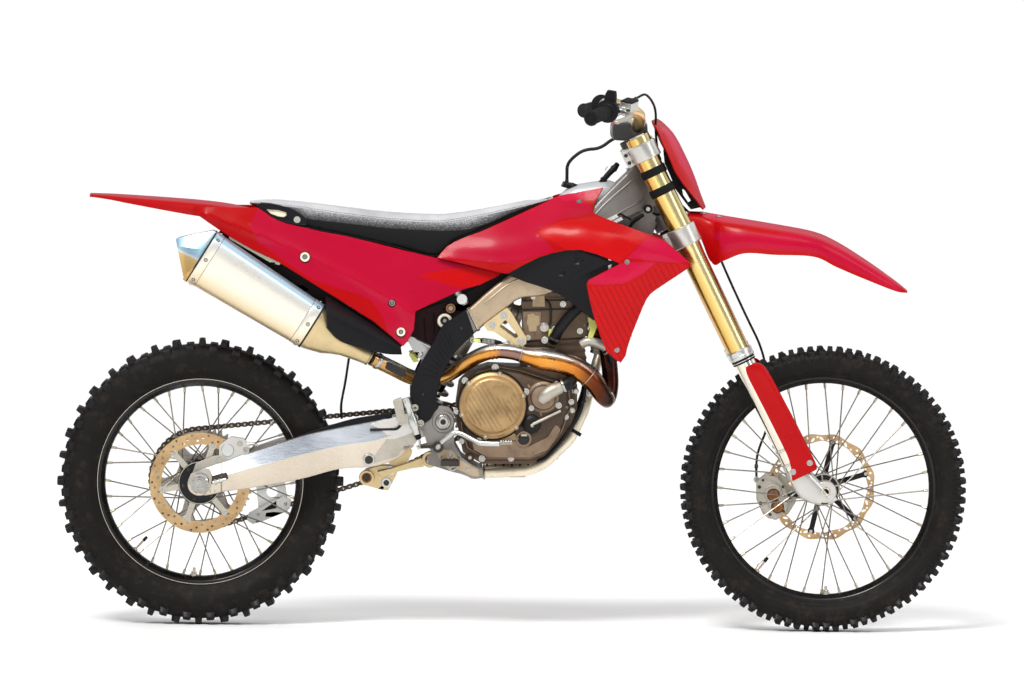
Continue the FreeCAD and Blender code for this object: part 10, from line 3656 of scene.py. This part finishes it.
# cast ribs that frame the pistons
B.use(0)
for pts_ in (((761.0, 491.5), (766.4, 499.4), (770.4, 509.4)), ((766, 479.4), (774, 481.6), (780.6, 488.0), (784.4, 499.4)), ((762.6, 494.6), (767.6, 487.6), (775.6, 485.4))):
    B.tube([V(S(a_, b_, 46).x, 46.4, S(a_, b_, 46).z) for a_, b_ in pts_], 1.8, n=8, per=5)
B.use(3)
for u, v, y in ((761.6, 486, 78.6), (762.8, 499, 78.6), (769, 513, 78.6), (790, 484, 78.6), (792, 505, 78.6)):
    p = S(u, v, 78)
    B.bolt(V(p.x, y, p.z), YY, 4.2, 3.4, "socket")
B.use(0)
B.prism(round_poly([(785, 477), (803, 471.6), (810, 478), (810.6, 484), (800, 498), (788, 504)], 2.4), 70, 78, 72)
# hose fitting
B.use(3)
p = S(757, 480, 72)
B.ring(p + V(0, 6, 0), p + V(0, -5, 0), 7.6, 3.4, n=26)
B.bolt(p + V(0, 6, 0), YY, 5.4, 3.6, "hex")
B.finish("caliper_front", "steering", ["front_brake_caliper"], ["cast_alloy", "brass_cap", "steel_dark", "steel"], bevel=0.9, angle=34)

# rear caliper with its bracket, and the master cylinder
B = Body()
B.use(0)
r_uv = round_poly([(219.4, 445), (231, 436.6), (243.6, 438.4), (249.6, 446), (249, 453), (242, 459), (229, 461.4), (219, 456)], 2.4)
B.prism(r_uv, -83.2, -78.6, -72)
B.prism(r_uv, -64.6, -57.8, -72)
B.prism(round_poly([(219.4, 445), (231, 436.6), (243.6, 438.4), (246, 441.4), (233, 441.4), (224, 447.6)], 1.6), -82, -58.6, -72)
B.use(1)
for u, v, r in ((227.6, 450.4, 15.5),):
    p = S(u, v, -83)
    B.revolve(V(p.x, -82.6, p.z), V(0, -1, 0), [(0, 0), (r, 0), (r, 2.6), (r - 1.6, 4.2), (r * 0.4, 4.6), (0, 4.8)], 44)
B.use(2)
for u, v, r in ((219.6, 459.4, 7), (240, 443.6, 5), (246, 449.6, 4.6)):
    p = S(u, v, -83)
    B.ring(V(p.x, -80, p.z), V(p.x, -86, p.z), r + 2, r - 2.4, n=28)
    B.use(3)
    B.bolt(V(p.x, -83.6, p.z), V(0, -1, 0), r * 0.7, 2.2, "socket")
    B.use(2)
p0 = [S(247, 444.6, -76), S(253, 444.0, -78), S(258, 446.4, -80)]
B.use(3)
B.tube(p0, [4.4, 3.6, 3.2], n=14, per=4)
B.use(2)
B.prism(round_poly([(196, 463), (213, 456), (222, 455), (230, 461), (228, 470), (207, 478), (191, 477)], 2.4), -84.2, -81.4, -82)
# master cylinder: body, shoulder, reservoir and lower boot
B.use(1)
mb0, mb1 = S(405.4, 398.0, -125), S(417.2, 434.6, -125)
e = unit(mb1 - mb0)
LM = (mb1 - mb0).length
B.revolve(mb0, e, [(0, 0), (9.6, 0), (11.0, 1.6), (11.0, LM * 0.22), (9.6, LM * 0.25), (9.6, LM * 0.5), (11.4, LM * 0.54), (11.4, LM * 0.8), (9.0, LM * 0.86), (8.4, LM), (0, LM)], 36)
B.use(4)
B.revolve(mb0 + e * LM, e, [(0, 0), (7.8, 0), (8.6, 2), (7.0, 4), (8.2, 6), (6.4, 8), (7.2, 10), (4.0, 13), (0, 13.4)], 26)
B.use(1)
B.use(2)
B.prism(round_poly([(392.6, 400.6), (401.6, 397.0), (405.4, 418), (403, 422.6), (397.4, 421)], 2.0), -134, -114, -124)
B.prism(round_poly([(399, 421), (402, 415), (413, 411.6), (414.6, 416.6), (410, 420), (405, 425.4), (399.6, 425.4)], 1.6), -131, -117, -124)
B.use(3)
for u, v in ((396, 403.4), (400.8, 421.4), (404.6, 402)):
    p = S(u, v, -134)
    B.bolt(V(p.x, -134 if v < 420 and u < 400 else (-131 if v > 420 else -136), p.z), V(0, -1, 0), 3.6, 2.6, "socket")
B.use(2)
for u, v in ((415.2, 407.8), (420.8, 423.3)):
    p = S(u, v, -124)
    B.ring(V(p.x, -128, p.z), V(p.x, -113.6, p.z), 8.0, 4.6, n=26)
B.use(5)
q0 = S(401, 425, -122)
B.tube([q0, S(396.6, 429.0, -116), S(389, 429.4, -104.5), S(370, 429.8, -107.4)], [3.2, 3.2, 3.2, 3.0], n=12, per=7)
B.finish("caliper_rear_and_cylinder", "chassis", ["rear_brake_caliper"], ["clamp_alloy", "machined", "cast_alloy", "steel", "black_rubber", "hose_rubber"], bevel=0.7, angle=34)

# front brake lead, clipped to the far leg
B = Body()
B.use(0)
hb = bar_frame(-1)
hose_start = hb[1] - hb[2] * 224 + V(30, 0, 12)
hp = nurbs_line([hose_start, hose_start + V(16, 10, 10), hose_start + V(34, 24, 18), S(656, 108, -104), S(655, 130, -62), S(658, 158, -20), S(672, 196, 26), S(690, 214, 62), S(706, 224, 100), S(724, 268, 122), S(746, 316, 124), S(764, 352, 134), S(769, 392, 140), S(768, 428, 140), S(760, 446, 118), S(756, 462, 92), S(757, 479, 72)], 170)
B.tube(hp, 3.0, n=12, smooth=False)
B.use(1)
for f in (0.006, 0.3, 0.985):
    i = int(f * (len(hp) - 4)) + 1
    d_ = unit(hp[i + 1] - hp[i])
    B.ring(hp[i], hp[i] + d_ * 9, 4.6, 2.6, n=18)
B.finish("lead_front_brake", "steering", ["front_brake_hose"], ["hose_rubber", "steel_dark"], angle=40)


# ================================================================ SOFT PARTS
from mathutils.bvhtree import BVHTree


def inflate(o, voxel, cap, pressure=4.0, hold=None, frames=20):
    """Remesh, swell under pressure with the cloth solver, and cap how far any point moves (metres)."""
    scene = bpy.context.scene
    rm = o.modifiers.new("remesh", "REMESH")
    rm.mode = "VOXEL"
    rm.voxel_size = voxel
    rm.use_smooth_shade = True
    sm_ = o.modifiers.new("relax", "SMOOTH")
    sm_.factor = 0.5
    sm_.iterations = 5
    dg = bpy.context.evaluated_depsgraph_get()
    me = bpy.data.meshes.new_from_object(o.evaluated_get(dg))
    o.modifiers.clear()
    old = o.data
    for m in old.materials:
        if m.name not in [x.name for x in me.materials if x]:
            me.materials.append(m)
    o.data = me
    start = [v.co.copy() for v in me.vertices]
    cl = o.modifiers.new("cloth", "CLOTH")
    st_ = cl.settings
    st_.quality = 4
    st_.mass = 0.3
    st_.tension_stiffness = 12
    st_.compression_stiffness = 12
    st_.shear_stiffness = 6
    st_.bending_stiffness = 1.5
    st_.use_pressure = True
    st_.uniform_pressure_force = pressure
    st_.effector_weights.gravity = 0
    if hold:
        vg = o.vertex_groups.new(name="hold")
        for i, p in enumerate(start):
            w = hold(p)
            if w > 0:
                vg.add([i], w, "REPLACE")
        st_.vertex_group_mass = "hold"
    cl.point_cache.frame_start = 1
    cl.point_cache.frame_end = frames
    for f in range(1, frames + 1):
        scene.frame_set(f)
    dg = bpy.context.evaluated_depsgraph_get()
    ev = o.evaluated_get(dg)
    moved = [v.co.copy() for v in ev.data.vertices]
    o.modifiers.clear()
    o.vertex_groups.clear()
    for i, v in enumerate(me.vertices):
        d_ = moved[i] - start[i]
        if d_.length > cap:
            d_ = d_ * (cap / d_.length)
        v.co = start[i] + d_
    scene.frame_set(1)
    me.update()


# ---------------------------------------------------------------- seat
seat_st = [(249, 199.5, 203.5, 30, 44), (262, 200.0, 208.5, 54, 74), (282, 201.5, 219, 68, 84), (305, 203.5, 225.5, 74, 88), (345, 208.5, 234, 78, 90), (390, 213.5, 244, 78, 88), (435, 215.8, 255, 74, 85), (455, 214.5, 240, 70, 80), (480, 210.7, 229.5, 64, 74), (510, 205.0, 216, 58, 66), (535, 199.5, 205, 52, 60), (556, 194.2, 196.5, 44, 52)]
EDGE = []


def seat_sec(u, vt, vb, wt, wb, g=1.6):
    """Section of the pad, a little smaller than its cover."""
    h = vb - vt
    k = g / SHEET
    vt2 = vt + k
    prof = [(0, vt2 + 0.25), (wt * 0.42, vt2 + 0.15), (wt * 0.80, vt2 + 0.55), (wt * 0.97, vt2 + 1.35 + h * 0.03), (wt + (wb - wt) * 0.30 - g * 0.5, vt + h * 0.16 + k), (wt + (wb - wt) * 0.48 - g, vt + h * 0.30), (wb - 3.6 - g, vt + h * 0.62), (wb - 1.5 - g, vt + h * 0.86), (wb - 2.5 - g, vb - k * 0.5)]
    pts = [S(u, v, 0) + V(0, -y, 0) for y, v in prof[::-1]] + [S(u, v, 0) + V(0, y, 0) for y, v in prof[1:]]
    return pts


B = Body()
ss = crom(seat_st, 5)
secs = [seat_sec(*q) for q in ss]
B.use(0)
B.loft(secs)
tmp = B.finish("seat_pad", "chassis", ["seat"], ["seat_top", "seat_side", "seat_base"], soft=True)
base_line = {}
for q in ss:
    p = S(q[0], q[2], 0)
    base_line[p.x] = p.z
BX = sorted(base_line)


def seat_floor(x):
    for i in range(len(BX) - 1):
        if BX[i] <= x <= BX[i + 1]:
            t = (x - BX[i]) / (BX[i + 1] - BX[i])
            return base_line[BX[i]] * (1 - t) + base_line[BX[i + 1]] * t
    return base_line[BX[0]] if x < BX[0] else base_line[BX[-1]]


def hold_seat(p):
    w = p * 1000 + ORIGIN
    d_ = w.z - seat_floor(w.x)
    return max(0.0, min(1.0, 1.0 - (d_ - 3) / 9.0))


inflate(tmp, 0.006, 0.0055, 4.0, hold_seat, 12)
me = tmp.data


def edge_y(x):
    """Half width and height of the seam line at station x (mm)."""
    for i in range(len(ss) - 1):
        xa, xb = S(ss[i][0], ss[i][1]).x, S(ss[i + 1][0], ss[i + 1][1]).x
        if xa <= x <= xb:
            t = (x - xa) / (xb - xa)
            q = [ss[i][k] * (1 - t) + ss[i + 1][k] * t for k in range(5)]
            break
    else:
        q = ss[0] if x < S(ss[0][0], ss[0][1]).x else ss[-1]
    u, vt, vb, wt, wb = q
    z = S(u, vt + 1.8 + (vb - vt) * 0.05, 0).z
    return wt * 0.985, z


sub = tmp.modifiers.new("fine", "SUBSURF")
sub.levels = 1
sub.render_levels = 1
dg = bpy.context.evaluated_depsgraph_get()
me2 = bpy.data.meshes.new_from_object(tmp.evaluated_get(dg))
tmp.modifiers.clear()
tmp.data = me2
mats = [MATS["seat_top"], MATS["seat_side"], MATS["seat_base"]]
me2.materials.clear()
for m_ in mats:
    me2.materials.append(m_)
# sewn channel under the piping, and gripper ribs across the top, pressed into the mesh
co = [v.co.copy() for v in me2.vertices]
for i, v in enumerate(me2.vertices):
    w = v.co * 1000 + ORIGIN
    ey, ez = edge_y(w.x)
    dy, dz = abs(w.y) - ey, w.z - ez
    r = math.hypot(dy, dz)
    n_ = v.normal
    if r < 7:
        v.co -= n_ * (0.0011 * math.exp(-(r / 2.6) ** 2))
    if n_.z > 0.6 and abs(w.y) < ey - 9:
        t = (w.x % 46.0) / 46.0
        v.co -= n_ * (0.0007 * math.exp(-((t - 0.5) / 0.05) ** 2))
for poly in me2.polygons:
    c = sum((me2.vertices[i].co for i in poly.vertices), Vector((0, 0, 0))) / len(poly.vertices) * 1000 + ORIGIN
    ey, ez = edge_y(c.x)
    inside_top = c.z > ez - 1.0 and abs(c.y) < ey + 2.5
    if c.z - seat_floor(c.x) < 2.2:
        poly.material_index = 2
    else:
        poly.material_index = 0 if inside_top else 1
    poly.use_smooth = True
me2.update()
SEAT = tmp
bv = BVHTree.FromObject(SEAT, bpy.context.evaluated_depsgraph_get())
# piping along both top edges, and its stitches
B = Body()
for s in (-1, 1):
    line = []
    x = S(255, 200, 0).x
    x1 = S(552, 195, 0).x
    while x < x1:
        ey, ez = edge_y(x)
        hit = bv.find_nearest(out(V(x, s * ey, ez)))
        if hit[0] is not None:
            line.append(hit[0] * 1000 + ORIGIN + hit[1] * 0.5)
        x += 9.0
    line = [line[0]] + [(line[i - 1] + line[i] + line[i + 1]) / 3 for i in range(1, len(line) - 1)] + [line[-1]]
    B.use(0)
    B.tube(line, 1.5, n=9, per=2)
    B.use(1)
    x = S(256, 200, 0).x
    while x < x1 - 6:
        seg = []
        for xx in (x, x + 3.6):
            ey, ez = edge_y(xx)
            hit = bv.find_nearest(out(V(xx, s * (ey - 5.0), ez + 1.5)))
            seg.append(hit[0] * 1000 + ORIGIN + hit[1] * 0.15)
        B.tube([seg[0] - V(0, 0, 0.5), seg[0] + V(0, 0, 0.1), seg[1] + V(0, 0, 0.1), seg[1] - V(0, 0, 0.5)], 0.5, n=5, smooth=False)
        x += 6.4
B.finish("seat_piping", "chassis", [], ["seat_top", "thread"], angle=60)
# base tray with its lip, under the pad
B = Body()
B.use(0)
tray = []
for u, vt, vb, wt, wb in crom(seat_st[1:-1], 4):
    p = S(u, vb, 0)
    tray.append([V(p.x, y, p.z + h) for y, h in ((-wb + 3.2, 3.2), (-wb + 1.2, 3.0), (-wb + 1.2, -0.2), (-wb + 8, -1.2), (wb - 8, -1.2), (wb - 1.2, -0.2), (wb - 1.2, 3.0), (wb - 3.2, 3.2))])
B.loft(tray)
B.finish("seat_tray", "chassis", [], ["seat_base"], bevel=0.4, angle=34)

# ---------------------------------------------------------------- bar pad
c = S(628.5, 130.5, 0)
B = Body()
B.use(0)
secs = []
for y, k in ((-95.5, 0.84), (-91, 0.95), (-80, 0.96), (-40, 0.965), (0, 0.965), (40, 0.965), (80, 0.96), (91, 0.95), (95.5, 0.84)):
    hx, hz = 44.6 * k, 22.8 * k
    loop = round_poly([(-hx, -hz * 0.7), (-hx * 0.86, -hz), (hx * 0.86, -hz), (hx, -hz * 0.6), (hx, hz * 0.6), (hx * 0.84, hz), (-hx * 0.84, hz), (-hx, hz * 0.66)], 5, 2)
    secs.append([c + V(a, y, b) for a, b in loop])
B.loft(secs)
pad = B.finish("bar_pad_foam", "steering", ["bar_pad"], ["pad_cloth", "pad_red"], soft=True)
# room for the bar, its clamps and the stem nut
cut = Body()
cut.cyl(A(UPPER_T + 14), A(UPPER_T + 74), 51, n=40, ch=0.1)
cut2 = []
for y in (-48, 48):
    cb = Body()
    cb.cyl(BAR + V(0, y - 20, 0), BAR + V(0, y + 20, 0), 26.6, n=36, ch=0.1)
    cut2.append(cb)
    cb = Body()
    q = A(UPPER_T - 20, BAR_F, y)
    cb.box(q + UP * 41, FWD, YY, UP, 24.2, 21.2, 41)
    cut2.append(cb)
cb = Body()
cb.cyl(BAR + V(0, -130, 0), BAR + V(0, 130, 0), 16.4, n=32, ch=0.1)
cut2.append(cb)
cut2.append(cut)
tools = []
for k, cb in enumerate(cut2):
    tm = bpy.data.meshes.new("tool%d" % k)
    tm.from_pydata([out(p) for p in cb.v], [], cb.f)
    bm = bmesh.new()
    bm.from_mesh(tm)
    bmesh.ops.recalc_face_normals(bm, faces=bm.faces)
    bm.to_mesh(tm)
    bm.free()
    to = bpy.data.objects.new("tool%d" % k, tm)
    bpy.context.scene.collection.objects.link(to)
    tools.append(to)
    bo = pad.modifiers.new("cut%d" % k, "BOOLEAN")
    bo.operation = "DIFFERENCE"
    bo.solver = "EXACT"
    bo.object = to
dg = bpy.context.evaluated_depsgraph_get()
pm = bpy.data.meshes.new_from_object(pad.evaluated_get(dg))
pad.modifiers.clear()
pad.data = pm
for to in tools:
    tm = to.data
    bpy.data.objects.remove(to)
    bpy.data.meshes.remove(tm)
inflate(pad, 0.0044, 0.0022, 2.0, None, 8)
sub = pad.modifiers.new("fine", "SUBSURF")
sub.levels = 1
sub.render_levels = 1
dg = bpy.context.evaluated_depsgraph_get()
pm = bpy.data.meshes.new_from_object(pad.evaluated_get(dg))
pad.modifiers.clear()
pad.data = pm
pm.materials.clear()
pm.materials.append(MATS["pad_cloth"])
pm.materials.append(MATS["pad_red"])
for poly in pm.polygons:
    q = sum((pm.vertices[i].co for i in poly.vertices), Vector((0, 0, 0))) / len(poly.vertices) * 1000 + ORIGIN - c
    # red band along the rider's edge of the cover
    red = q.z > 14 and q.x < -26 and abs(q.y) < 82
    poly.material_index = 1 if red else 0
    poly.use_smooth = True
pm.update()
bpy.context.scene.frame_set(1)
